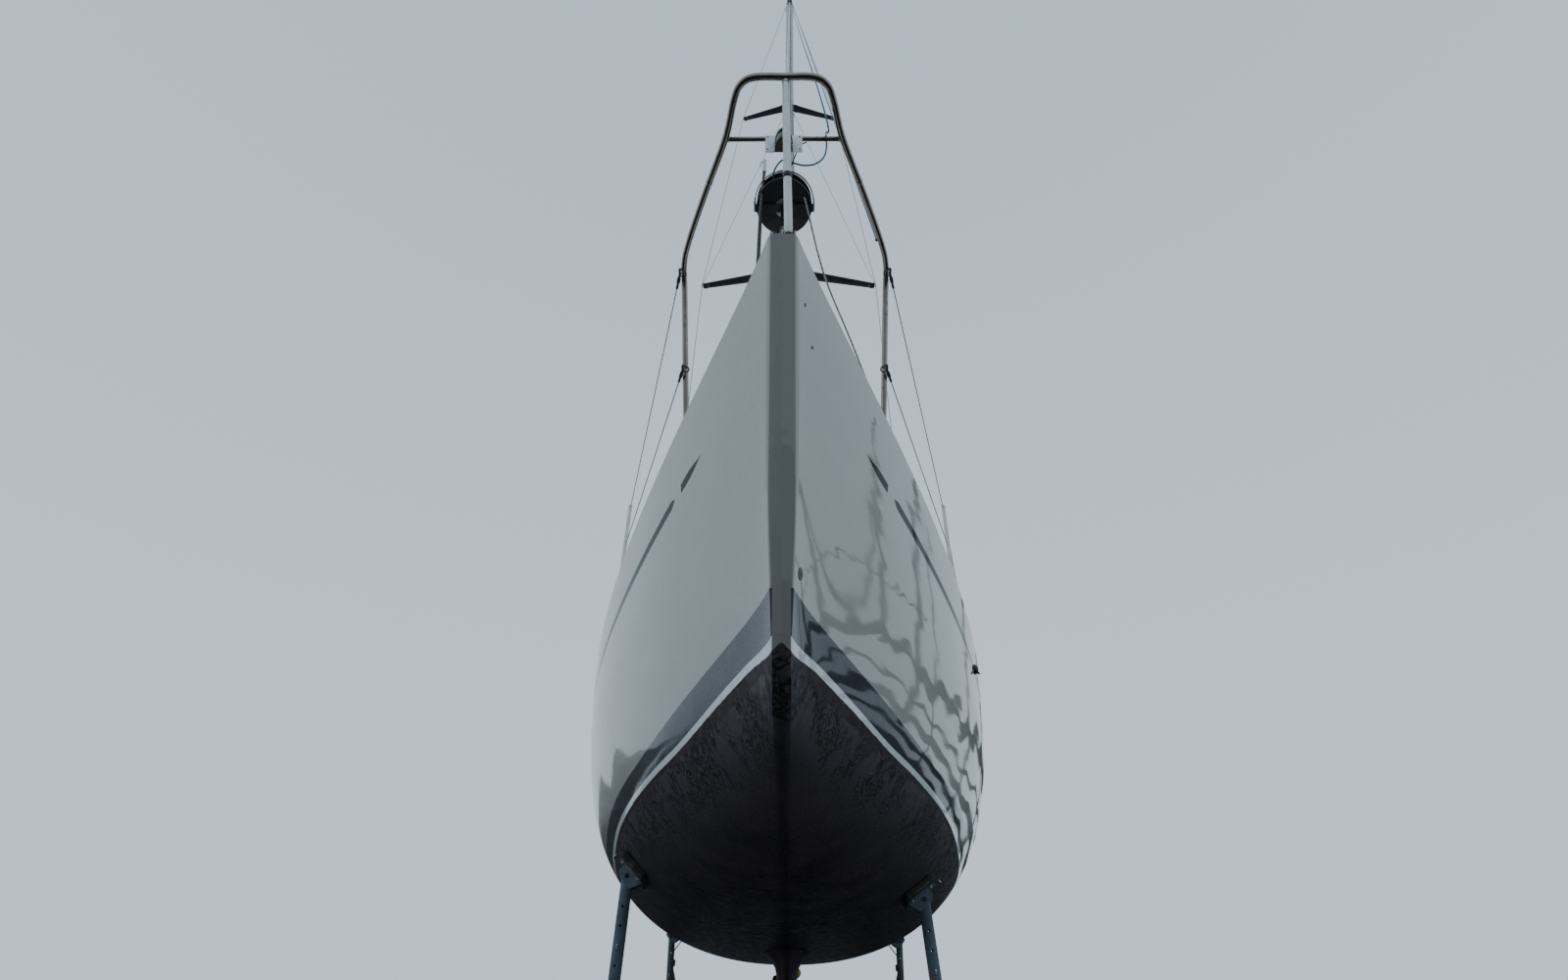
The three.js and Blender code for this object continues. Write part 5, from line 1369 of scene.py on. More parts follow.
class YACHT_OT_deck(bpy.types.Operator):
    """Moulds the deck with its coachroof, coamings, cockpit and openings, and lays the non-slip"""

    bl_idname = "yacht.deck"
    bl_label = "Deck"

    def execute(self, context):
        slab = Shape()
        rows = []
        for s in (lerp(0.06, 10.42, t) for t in shares(90)):
            half = deck_half(s)
            low = sheer_z(s / DECK_LENGTH) + 0.0004
            soft = min(0.009, half * 0.3)
            top = [lay(half * t, s, deck_z(s, half * t)) for t in (0, 0.12, 0.25, 0.4, 0.55, 0.7, 0.85)]
            edge = [lay(half - soft, s, deck_z(s, half - soft)),
                    lay(half - soft * 0.3, s, deck_z(s, half) - soft * 0.3),
                    lay(half, s, deck_z(s, half) - soft), lay(half, s, low)]
            rows.append(mirrored([*reversed(edge), *reversed(top)]))
        slab.skin(rows)
        deck = slab.make("deck_moulding", ["deck", "inside"], slot="deck_gelcoat",
                         replaces=["deck"])
        for form in (roof_form(), coaming_form(), *room_blocks(0.022, 0.04)):
            carve(deck, form.tool(), "UNION")
        for form in (roof_form(0.03, 0.2), *room_blocks(0, 0.028)):
            carve(deck, form.tool())
        window = Shape()
        window.plate(window_outline(0), lambda u, v, w: lay(w, u, v), -2, 2, 0)
        carve(deck, window.tool())
        self.openings(deck)
        self.companionway(deck)
        for side in (-1, 1):
            pad = Shape()
            pad.turned(((0.1, -0.1), (0.094, -0.04), (0.092, -0.008), (0.084, -0.0003)),
                       lay(side * WINCH_X, WINCH_S, COAMING_TOP + 0.03), sides=40)
            carve(deck, pad.tool(), "UNION")
            locker = Shape()
            locker.block(lay(side * 0.43, 7.8, BENCH - 0.3), lay(side * 0.83, 8.62, BENCH + 0.1), 0.02)
            carve(deck, locker.tool())
        step = Shape()
        step.block(lay(-0.12, 3.98, roof_z(4.13) - 0.03), lay(0.12, 4.28, MAST_SEAT), 0.02)
        carve(deck, step.tool(), "UNION")
        for face in deck.data.polygons:
            face.material_index = min(face.material_index, 1)
        while len(deck.data.materials) > 2:
            deck.data.materials.pop()
        deck.data.shade_smooth()
        deck.data.set_sharp_from_angle(angle=math.radians(34))
        self.nonslip()
        return {"FINISHED"}

    def openings(self, deck):
        """The hatch openings, their upstands and the anchor well."""
        for s0, s1, half, top in ((2.3, 2.83, 0.25, FORE_TOP), (5.38, 5.86, 0.24, SALOON_TOP)):
            rise = 0.04 if s0 < 3 else 0.06
            upstand = slab_of(round_box(half + 0.03, s0 - 0.03, s1 + 0.03, 0.07), top - rise - 0.045,
                              top - 0.008, 0.008)
            carve(deck, upstand.tool(), "UNION")
            carve(deck, slab_of(round_box(half, s0, s1, 0.05), top - 0.3, top + 0.2, 0).tool())
        carve(deck, slab_of(anchor_outline(0), sheer_z(0) - 0.4, 5, 0).tool())

    def companionway(self, deck):
        """The sliding hatch's runners and hood, and the way down through the bulkhead."""
        for side in (-1, 1):
            runner = Shape()
            runner.block(lay(side * 0.308, 5.96, SLIDE - 0.08), lay(side * 0.336, 7.416, SLIDE + 0.026),
                         0.006)
            carve(deck, runner.tool(), "UNION")
        hood = Shape()
        rows = []
        for s, lift, inward in ((5.94, -0.035, 0.03), (5.96, -0.012, 0.012), (6.0, 0, 0), (6.3, 0, 0),
                                (6.6, 0, 0), (6.61, -0.004, 0)):
            half, top = 0.336 - inward, SLIDE + 0.052 + lift
            corners = [lay(half, s, SLIDE - 0.06), lay(half, s, top - 0.008),
                       lay(half * 0.5, s, top - 0.002)]
            rows.append(mirrored(rounded([*corners, lay(0, s, top)], 0.03, 4)))
        hood.skin(rows)
        hollow = Shape()
        hollow.block(lay(-0.308, 5.964, SLIDE - 0.0003), lay(0.308, 6.64, SLIDE + 0.038), 0.004)
        hood = hood.tool()
        carve(hood, hollow.tool())
        carve(hood, roof_form(0.028).tool())
        carve(deck, hood, "UNION")
        for s0, s1, low in ((6.64, 7.48, SLIDE - 0.14), (7.36, 7.48, SILL)):
            way = Shape()
            way.block(lay(-0.29, s0, low), lay(0.29, s1, 5), 0.012 if s0 < 7 else 0.004)
            carve(deck, way.tool())

    def nonslip(self):
        patches = Shape()
        rail = lambda s: deck_half(s) - 0.13
        beside = lambda s: max(along(ROOF, 1, s) if s < 7.3 else along(COAMING, 1, s), 0.03) + 0.07
        crown = lambda s: along(ROOF, 2, s) * 0.93
        flat = lambda z: lambda s, x: z
        fixed = lambda x: lambda s: x
        for s0, s1, inner, outer, height in (
            (1.16, 1.68, fixed(0.02), rail, deck_z),
            (1.71, 2.24, fixed(0.02), rail, deck_z),
            (2.27, 2.87, fixed(0.34), rail, deck_z),
            *[(a, b, beside, rail, deck_z) for a, b in
              ((2.98, 3.9), (3.93, 4.54), (4.7, 5.9), (5.93, 7.1), (7.3, 8.3), (8.33, 9.2), (9.23, 9.95))],
            (3.5, 4.3, fixed(0.16), crown, roof_top),
            (4.33, 5.3, fixed(0.03), crown, roof_top),
            (5.33, 5.9, fixed(0.32), crown, roof_top),
            (5.93, 6.6, fixed(0.39), crown, roof_top),
            (7.44, 7.77, fixed(0.36), fixed(0.87), flat(BENCH)),
            (8.65, 8.83, fixed(0.36), fixed(0.87), flat(BENCH)),
            (7.75, 8.8, fixed(0.02), fixed(0.29), flat(SOLE)),
            (8.9, 9.9, fixed(0.22), fixed(0.66), flat(SOLE)),
        ):
            panel(patches, s0, s1, inner, outer, height, 0.03 if s1 - s0 < 0.3 else 0.05)
        patches.mirror().make("deck_panels", ["nonslip"], slot="deck_nonslip")


class YACHT_OT_deck_gear(bpy.types.Operator):
    """Fits the grab rails, cleats, chainplates, tracks, clutches and the lines that run aft"""

    bl_idname = "yacht.deck_gear"
    bl_label = "Deck gear"

    def execute(self, context):
        steel = Shape()
        share = 0.8
        line = []
        for s in (3.7, 4.325, 4.95, 5.575, 6.2):
            x = along(ROOF, 2, s) * share
            foot = lay(x, s, roof_top(s, x))
            foot_plate(steel, foot + 0.0005 * UP, 0.024, 0.005, 0, 2)
            line.append(foot + 0.055 * UP)
            if 3.7 < s < 6.2:
                steel.rod(foot, line[-1], 0.009, 12)
        ends = [lay(along(ROOF, 2, s) * share, s, roof_top(s, along(ROOF, 2, s) * share))
                for s in (3.66, 6.24)]
        steel.tube(rounded([ends[0], *line, ends[1]], 0.05, 5), 0.012, 14)
        steel.mirror().make("grab_rails", ["steel"], slot="stainless")

        cleats = Shape()
        for x, s in ((0.35, 1.25), (1.135, 10.05)):
            base = lay(x, s, deck_z(s, x))
            for step in (-0.04, 0.04):
                post = base + Vector((0, step, 0))
                cleats.turned(((0.024, 0), (0.022, 0.005), (0.012, 0.012), (0.011, 0.03)), post, sides=18)
            horns = [base + Vector((0, y, z))
                     for y, z in ((-0.11, 0.036), (-0.07, 0.033), (0, 0.031), (0.07, 0.033), (0.11, 0.036))]
            cleats.tube(spline(horns, 4), [lerp(0.011, 0.006, abs(k / 8 - 1) ** 2) for k in range(17)], 12)
        top = deck_z(PLATE_S, PLATE_X)
        tab = [(4.585, top - 0.02), (4.655, top - 0.02), (4.655, top + 0.05), (4.64, top + 0.07),
               (4.6, top + 0.07), (4.585, top + 0.05)]
        cleats.plate(tab, lambda u, v, w: lay(w, u, v), PLATE_X - 0.008, PLATE_X + 0.008, 0.002)
        cover = [(x + PLATE_X, s + PLATE_S) for x, s in round_box(0.035, -0.07, 0.07, 0.015)]
        cleats.plate(cover, lambda u, v, w: lay(u, v, deck_z(v, u) + w), -0.001, 0.004, 0.0015)
        for x, s in ((1.42, 5.2), (1.44, 8.9)):
            cleats.turned(((0.026, -0.001), (0.026, 0.003), (0.02, 0.005), (0.006, 0.004)),
                          lay(x, s, deck_z(s, x)), sides=24)
        cleats.mirror().make("deck_cleats", ["steel"], slot="stainless")

        tracks = Shape()
        x = 1.27
        half = ((-0.016, 0), (-0.016, 0.004), (-0.006, 0.006), (-0.006, 0.01), (-0.014, 0.012),
                (-0.014, 0.018))
        profile = [*half, *((-u, w) for u, w in reversed(half))]
        for k in range(23):
            ends = (lerp(5.2, 6.9, k / 23), lerp(5.2, 6.9, (k + 1) / 23))
            tracks.skin([[lay(x + u, s, deck_z(s, x) + w) for u, w in profile] for s in ends])
        car = lay(x, 6.0, deck_z(6.0, x))
        tracks.block(car + Vector((-0.024, -0.06, 0.008)), car + Vector((0.024, 0.06, 0.03)), 0.006)
        tracks.hoop(car + 0.056 * UP, (1, 0, 0), 0.024, 0.008, sides=10)
        tracks.turned(((0.004, -0.012), (0.03, -0.011), (0.022, 0), (0.03, 0.011), (0.004, 0.012)),
                      car + 0.056 * UP, (1, 0, 0), 24)
        for row, s in ((0.46, 6.95), (0.72, 4.72)):
            for k in range(3):
                x = row + 0.052 * (k - 1) * (1 if s > 5 else 0.9)
                z = roof_top(s, x)
                if s > 5:
                    tracks.block(lay(x - 0.02, s - 0.075, z - 0.002), lay(x + 0.02, s + 0.075, z + 0.034),
                                 0.006)
                    lever = Matrix.Translation(lay(x, s - 0.05, z + 0.036)) @ Matrix.Rotation(-0.14, 4, "X")
                    tracks.block((-0.012, -0.01, 0), (0.012, 0.13, 0.014), 0.005, turn=lever)
                else:
                    tracks.turned(((0.024, 0), (0.024, 0.004), (0.014, 0.008), (0.014, 0.018),
                                   (0.024, 0.022), (0.024, 0.027), (0.004, 0.028)), lay(x, s, z), sides=20)
        tracks.mirror().make("deck_tracks", ["black"], slot="black_fittings")

        lines = Shape()
        for k in range(3):
            aft = 0.46 + 0.052 * (k - 1)
            front = 0.72 + 0.047 * (k - 1) - 0.022
            points = [(0.09 + 0.012 * k, 4.3, 0.012), (front, 4.74, 0.014), (aft, 6.86, 0.018),
                      (aft, 7.06, 0.016), (aft + 0.004, 7.26, 0.008), (aft + 0.01, 7.36, 0.007)]
            path = [lay(x, s, roof_top(s, min(x, along(ROOF, 2, s) * 0.99)) + up) for x, s, up in points]
            bends = []
            for a, b in zip(path, path[1:]):
                bends += [a.lerp(b, t) for t in (0, 0.25, 0.5, 0.75)]
            dropped = []
            for p in [*bends, path[-1]]:
                floor = roof_top(p.y + BOW,
                                 min(p.x, along(ROOF, 2, min(p.y + BOW, ROOF_END)) * 0.99)) + 0.0065
                dropped.append(Vector((p.x, p.y, max(p.z, floor))))
            lines.tube(dropped, 0.005, 8, (0, 1, 2)[k])
        lines.mirror().make("deck_lines", ["white_rope", "blue_rope", "dark_rope"])
        return {"FINISHED"}


def foot_plate(shape, centre, radius, high, finish=0, screws=3):
    """The round foot of a rail's leg, with its screws and the weld round the tube."""
    x, y, z = centre
    shape.turned(
        ((radius - 0.001, 0), (radius, 0.001), (radius, high * 0.4), (radius * 0.9, high * 0.62),
         (0.02, high)),
        centre, (0, 0, 1), 28, finish,
    )
    for k in range(screws):
        t = 2 * math.pi * (k + 0.25) / screws
        head = Vector((x + 0.76 * radius * math.cos(t), y + 0.76 * radius * math.sin(t), z + high * 0.5))
        shape.turned(((0.0042, 0), (0.0042, 0.0012), (0.0028, 0.0024), (0.0006, 0.0026)), head, (0, 0, 1),
                     12, finish)


def pulpit_line():
    """The port half of the pulpit's rail, from its foot forward to the nose."""
    z = WATERLINE + 1.977
    foot = deck_z(1.0, 0.45) + 0.0023
    return [
        lay(*p)
        for p in (
            (0.456, 1.0, foot),
            (0.464, 0.96, foot + 0.09),
            (0.480, 0.70, z - 0.09),
            (0.476, 0.59, z - 0.012),
            (0.440, 0.470, z),
            (0.345, 0.235, z),
            (0.240, -0.010, z),
            (0.196, -0.160, z),
            (0.168, -0.222, z),
            (0.115, -0.2516, z),
            (0.0, -0.2536, z),
        )
    ]


class YACHT_OT_pulpit(bpy.types.Operator):
    """Bends the pulpit, with its legs, collars, cross bar and the eyes at its feet"""

    bl_idname = "yacht.pulpit"
    bl_label = "Pulpit"

    def execute(self, context):
        port = pulpit_line()
        rail = spline([*port, *reversed(flip(port[:-1]))], 9)
        pulpit = Shape()
        pulpit.tube(rail, 0.014, 20)
        z = port[-1].z
        pulpit.rod((-0.244, port[6].y, z), (0.244, port[6].y, z), 0.0098, 18)
        for side in SIDES:
            self.collar(pulpit, (side * 0.228, port[6].y, z), (1, 0, 0), 0.0118, 0.012, 3)
            joint = rail[9 * 5 + 2] if side > 0 else flip([rail[9 * 5 + 2]])[0]
            self.collar(pulpit, joint, (0.36 * side, 0.93, 0), 0.0148, 0.02, 0)
            foot_plate(pulpit, lay(side * 0.45, 1.0, deck_z(1.0, 0.45) + 0.0023), 0.0218, 0.0118, 1)
            self.collar(pulpit, lay(side * 0.4565, 0.998, deck_z(1.0, 0.45) + 0.016), (0, -0.2, 1), 0.0155,
                        0.007, 3)
        seat_z = deck_z(0.12) + 0.0103
        foot, head = lay(0.020, 0.030, seat_z + 0.006), lay(0.008, -0.2456, z)
        pulpit.tube([foot, foot.lerp(head, 0.5), head], [0.016, 0.015, 0.0138], 20, 2)
        foot_plate(pulpit, foot - 0.006 * UP, 0.0178, 0.0138, 1)
        up = (head - foot).normalized()
        self.collar(pulpit, head - up * 0.017, up, 0.0152, 0.007, 3)
        self.collar(pulpit, foot + up * 0.24, up, 0.0172, 0.022, 4)
        pulpit.make("pulpit_rail", ("steel", "steel", "leg", "weld", "black"),
                    slot="stainless", replaces=["pulpit"], smooth=45)
        self.eyes()
        return {"FINISHED"}

    @staticmethod
    def collar(shape, centre, axis, radius, long, finish):
        soft = min(0.002, long / 3)
        profile = ((radius - soft, -long / 2), (radius, -long / 2 + soft), (radius, long / 2 - soft),
                   (radius - soft, long / 2))
        shape.turned(profile, centre, axis, 20, finish)

    @staticmethod
    def eyes():
        """Ring eyes at the rear legs, and the black fairleads at the deck's edge behind them."""
        eyes = Shape()
        for side in SIDES:
            place = lay(side * (deck_half(0.9) - 0.03), 0.9, deck_z(0.9, 0.5) + 0.014)
            eyes.turned(((0.011, -0.012), (0.012, -0.01), (0.0115, -0.004), (0.006, -0.002)), place,
                        (0, 0, 1), 20)
            eyes.hoop(place + 0.009 * UP, (side * 0.5, 0.86, 0), 0.0115, 0.0026, sides=10, steps=28)
            low = lay(side * (deck_half(1.16) - 0.05), 1.16, deck_z(1.16, 0.48) - 0.001)
            eyes.block(low + Vector((-0.012, -0.028, 0)), low + Vector((0.012, 0.028, 0.006)), 0.002, 1)
            for end in (-1, 1):
                eyes.tube(rounded([low + Vector((0, end * 0.011, 0.004)),
                                   low + Vector((0, end * 0.012, 0.024)),
                                   low + Vector((0, end * 0.036, 0.03))], 0.008), 0.0048, 12, 1)
            eyes.rod(low + Vector((0, -0.03, 0.026)), low + Vector((0, 0.03, 0.026)), 0.0052, 12, 1, 0.5)
        eyes.make("bow_eyes", ["steel", "black"], slot="stainless")


class YACHT_OT_lamp(bpy.types.Operator):
    """Builds the two-colour lamp and its white plate on the pulpit's cross bar"""

    bl_idname = "yacht.lamp"
    bl_label = "Bow lamp"

    def execute(self, context):
        lamp = Shape()
        z_low, z_high = 3.837, 3.955
        for side in SIDES:
            outline = smooth_outline([(side * 0.0745, z_low), (side * 0.0335, z_low),
                                      (side * 0.0335, z_high), (side * 0.0745, z_high)], 0.008)
            lamp.plate(outline, lambda u, v, w: lay(clamp(u, -0.0738, 0.0738), w, v), -0.0378, -0.0302,
                       0.0014)
            for v in (z_low + 0.013, z_high - 0.013):
                lamp.turned(((0.004, 0), (0.004, 0.0012), (0.002, 0.002)), lay(side * 0.064, -0.0376, v),
                            (0, -1, 0), 12, 5)
        lamp.block(lay(-0.036, -0.0376, z_low + 0.002), lay(0.036, -0.0304, z_high), 0.001)
        # Housing: a half-round lamp with a hooded top and a deep base
        centre = lay(0, -0.0372, 0)
        sizes = ((0.030, 3.8304), (0.0355, 3.834), (0.0358, 3.846), (0.033, 3.849), (0.033, 3.888),
                 (0.0358, 3.891), (0.0355, 3.903), (0.03, 3.911), (0.016, 3.9145))
        arc = [math.pi * k / 22 for k in range(23)]
        rows = [[Vector((radius * math.cos(t), centre.y - 1.72 * radius * math.sin(t), z)) for t in arc]
                for radius, z in sizes]
        lamp.skin(rows[:4], 1)
        lamp.skin(rows[4:], 1)
        for finish, half in ((3, slice(0, 12)), (2, slice(11, 23))):
            lamp.skin([row[half] + [Vector((0, centre.y - 0.0008, row[0].z))] for row in rows[3:5]], finish)
        lamp.block((-0.0022, centre.y - 0.0585, 3.846), (0.0022, centre.y - 0.03, 3.892), 0.0008, 1)
        # Strap that hooks over the cross bar
        lamp.block(lay(-0.02, -0.0302, 3.9535), lay(0.02, -0.026, 3.9664), 0.001, 4)
        bend = [lay(0, -0.028, 3.955), lay(0, -0.0265, 3.9662), lay(0, -0.01, 3.9664),
                lay(0, 0.0037, 3.955)]
        for x in (-0.0165, -0.0055, 0.0055, 0.0165):
            lamp.tube(spline([p + Vector((x, 0, -0.0012)) for p in bend], 4), 0.0012, 8, 4)
        lamp.rod(lay(0.014, -0.031, 3.88), lay(0.014, 0.003, 3.93), 0.0028, 10, 5)
        lamp.tube(spline([lay(0.01, -0.04, 3.834), lay(0.014, -0.02, 3.806), lay(0.022, 0.02, 3.80),
                          lay(0.06, 0.0, 3.93), lay(0.09, -0.004, 3.963)], 6), 0.0026, 8, 5)
        lamp.make("bow_lamp", ("white", "olive", "green", "red", "steel", "black"),
                  slot="black_plastic", replaces=["nav_lamp"], smooth=35)
        return {"FINISHED"}


class YACHT_OT_stem(bpy.types.Operator):
    """Shapes the stem fitting with its anchor roller, pins and stay tang"""

    bl_idname = "yacht.stem"
    bl_label = "Stem fitting"

    def execute(self, context):
        base = deck_z(0.12)
        top = sheer_z(0)
        stem = Shape()
        outline = smooth_outline([(0.0478, 0.022), (0.0478, 0.258), (-0.0478, 0.258), (-0.0478, 0.022)],
                                 0.02, 5)
        stem.plate(outline, lambda u, v, w: lay(u, v, w), base - 0.0018, base + 0.0098, 0.0016)
        for x in (-0.036, 0.036):
            for s in (0.19, 0.235):
                stem.turned(((0.0055, 0), (0.0055, 0.001), (0.003, 0.0024), (0.0006, 0.0026)),
                            lay(x, s, base + 0.0095), (0, 0, 1), 14, 2)
        cheek = smooth_outline([(0.012, 0.02), (0.03, 0.066), (0.07, 0.066), (0.12, 0.046), (0.166, 0.034),
                         (0.166, 0.012), (0.012, 0.0)], 0.012, 5)
        for side in SIDES:
            stem.plate(cheek,
                       lambda u, v, w, side=side: lay(side * w, u, top + v), 0.0402, 0.0477, 0.0014)
            stem.turned(((0.009, 0), (0.009, 0.003), (0.006, 0.0045), (0.001, 0.0048)),
                        lay(side * 0.0432, 0.05, top + 0.046), (side, 0, 0), 18, 2)
        roller = ((0.024, -0.0385), (0.0238, -0.034), (0.017, -0.022), (0.0125, -0.008), (0.0125, 0.008),
                  (0.017, 0.022), (0.0238, 0.034), (0.024, 0.0385))
        stem.turned(roller, lay(0, 0.05, top + 0.046), (1, 0, 0), 32, 1)
        tang = smooth_outline([(0.0605, 0), (0.0605, 0.07), (0.075, 0.0955), (0.115, 0.0955),
                               (0.1295, 0.07), (0.1295, 0)], 0.02, 5)
        stem.plate(tang,
                   lambda u, v, w: lay(w, u, clamp(3.3515 + v, 0, 3.4493)), -0.0088, 0.0088, 0.0014)
        stem.rod(lay(-0.0165, 0.095, 3.424), lay(0.0165, 0.095, 3.424), 0.0062, 18, 2)
        stem.make("stem_fitting_plate", ("steel", "black", "bolt"),
                  slot="stainless", replaces=["stem_fitting"], smooth=40)
        return {"FINISHED"}


class YACHT_OT_furler(bpy.types.Operator):
    """Builds the furling drum with its line, guard and toggle, and the foil with its joints and swivel"""

    bl_idname = "yacht.furler"
    bl_label = "Furling gear"

    def execute(self, context):
        centre = on_stay(0.470)
        drum = Shape()
        for sign in (-1, 1):
            face = [(0.034, 0.028), (0.1, 0.034), (0.1165, 0.040), (0.1178, 0.0445), (0.1165, 0.0492),
                    (0.1, 0.0498), (0.034, 0.0499)]
            profile = [(r, sign * h) for r, h in face]
            drum.turned(profile if sign > 0 else list(reversed(profile)), centre, STAY_AIM, 56)
        drum.turned(((0.036, -0.045), (0.052, -0.04), (0.052, 0.04), (0.036, 0.045)), centre, STAY_AIM, 32)
        for k in range(8):
            turn = Matrix.Rotation(k / 8 * 2 * math.pi, 3, STAY_AIM)
            arm = turn @ Vector((1, 0, 0))
            for level in (centre + STAY_AIM * 0.047, centre - STAY_AIM * 0.047):
                drum.rod(level + arm * 0.05, level + arm * 0.108, 0.0026, 8)
        neck = ((0.0295, 0.05), (0.0298, 0.06), (0.0298, 0.115), (0.026, 0.12), (0.026, 0.165),
                (0.0298, 0.17), (0.0298, 0.252), (0.024, 0.2595))
        drum.turned(neck, centre, STAY_AIM, 32, 1)
        for ahead in (0.028, -0.028):
            drum.rod(on_stay(0.62, ahead * 0.9), on_stay(0.62, ahead * 1.06), 0.005, 12, 2)
        drum.make("furling_drum", ("black", "foil", "bolt"), "furler", "black_fittings",
                  ["furler_drum"], 35)
        self.coils(centre)
        self.guard()
        self.foil()
        return {"FINISHED"}

    @staticmethod
    def coils(centre):
        """Turns of the furling line on the drum's core."""
        coils = Shape()
        count, half, pitch = 6, 0.026, 0.0096
        _, first, second = square_to(STAY_AIM)
        for radius, rising in ((0.0605, 1), (0.069, -1)):
            line = []
            for k in range(count * 26 + 1):
                t = 2 * math.pi * k / 26
                up = rising * (pitch * t / (2 * math.pi) - half)
                line.append(centre + STAY_AIM * clamp(up, -0.029, 0.029)
                            + radius * (first * math.cos(t) + second * math.sin(t)))
            coils.tube(line, 0.0046, 8)
        coils.make("furling_coils", ["white_rope"], "furler", "cloth", smooth=60)

    @staticmethod
    def guard():
        """The toggle below the drum, and the bright strap guard round it."""
        guard = Shape()
        foot, top = on_stay(0.0), on_stay(0.4197)
        guard.rod(on_stay(0.03), top, 0.0132, 24, edge=0.1)
        guard.turned(((0.0142, 0.085), (0.0142, 0.2), (0.0138, 0.205)), foot, STAY_AIM, 24)
        guard.turned(((0.03, 0.4062), (0.0395, 0.408), (0.0398, 0.414), (0.036, 0.4192), (0.014, 0.4194)),
                     foot, STAY_AIM, 32, 1)
        for side in SIDES:
            guard.plate(round_box(0.012, 0.0, 0.072, 0.01, 4),
                        lambda u, v, w, side=side: on_stay(v - 0.004, u, side * w), 0.0102, 0.0138, 0.001)
        for pin in (0.012, 0.058):
            guard.rod(on_stay(pin, side=-0.0165), on_stay(pin, side=0.0165), 0.0055, 16, 1)
        # Strap under the drum, up both its sides, and the hoop across the front
        strip = rounded([(-0.1259, 0.5085, 0), (-0.1259, 0.403, 0), (0.1259, 0.403, 0),
                         (0.1259, 0.5085, 0)], 0.02, 6)
        rows = []
        for i, p in enumerate(strip):
            before, after = strip[max(i - 1, 0)], strip[min(i + 1, len(strip) - 1)]
            normal = Vector((-(after.y - before.y), after.x - before.x, 0)).normalized() * 0.0026
            corners = ((normal, -0.0165), (normal, 0.0165), (-normal, 0.0165), (-normal, -0.0165))
            rows.append([on_stay(p.y + n.y, ahead, clamp(p.x + n.x, -0.1319, 0.1319))
                         for n, ahead in corners])
        guard.skin(rows, 2)
        hoop = []
        for t in (math.pi * k / 32 for k in range(33)):
            corners = ((0.1234, 0.4935), (0.1274, 0.4935), (0.1274, 0.5095), (0.1234, 0.5095))
            hoop.append([on_stay(up, radius * math.sin(t), radius * math.cos(t)) for radius, up in corners])
        guard.skin(hoop[:19], 2)
        guard.skin(hoop[18:30], 1)
        guard.skin(hoop[29:], 2)
        guard.make("toggle_and_guard", ("steel", "bolt", "black"), slot="stainless",
                   replaces=["stay_toggle"], smooth=30)

    @staticmethod
    def foil():
        """Oval foil in lengths, with joint sleeves, feeder, top swivel and the bare wire above it."""
        length = (STAY_HEAD - STAY_FOOT).length
        foil = Shape()
        ends = [0.7303, 1.05, 3.4, 5.4, 7.4, 9.4, 11.4, length - 0.32]
        for low, high in zip(ends, ends[1:]):
            rows = []
            for along_stay in (low + 0.0006, low + 0.004, high - 0.004, high - 0.0006):
                grow = 0.96 if along_stay in (low + 0.0006, high - 0.0006) else 1.0
                row = []
                for t in turns(24):
                    ahead, side = 0.0178 * math.cos(t) * grow, 0.0128 * math.sin(t) * grow
                    if abs(side) < 0.0035 and ahead < 0:
                        ahead += 0.004
                    row.append(on_stay(along_stay, ahead, side))
                rows.append(row)
            foil.skin(rows)
        for joint in ends[2:-1]:
            for off in (-0.05, 0.05):
                foil.rod(on_stay(joint + off, 0.002, 0.0118), on_stay(joint + off, 0.002, 0.0138), 0.0028,
                         10, 2)
        foil.turned(((0.017, 0.7303), (0.018, 0.74), (0.018, 0.9), (0.0165, 0.92)), STAY_FOOT, STAY_AIM, 24,
                    1)
        swivel = ((0.02, -0.9), (0.036, -0.894), (0.0405, -0.88), (0.0405, -0.845), (0.033, -0.838),
                  (0.033, -0.812), (0.0405, -0.805), (0.0405, -0.77), (0.036, -0.756), (0.02, -0.75))
        foil.turned([(r, length + h) for r, h in swivel], STAY_FOOT, STAY_AIM, 32, 1)
        foil.hoop(on_stay(length - 0.86, 0.0, -0.0355), (0, 0.3, 1), 0.004, 0.0012, finish=2)
        foil.turned([(0.017, length - 0.322), (0.018, length - 0.318), (0.0168, length - 0.3),
                     (0.0075, length - 0.285)], STAY_FOOT, STAY_AIM, 20, 1)
        foil.rod(on_stay(length - 0.3), on_stay(length - 0.031), 0.0052, 16, 3)
        foil.rod(on_stay(length - 0.12), on_stay(length - 0.031), 0.0068, 16, 2)
        foil.make("headstay_foil", ("foil", "black", "steel", "wire"), "furler", "foil_alloy",
                  ["stay_foil"], 40)


STANCHION_PLACES = (2.44, 4.25, 6.05, 7.85)
SLOT_PITCH = 0.12
SAG = 0.006


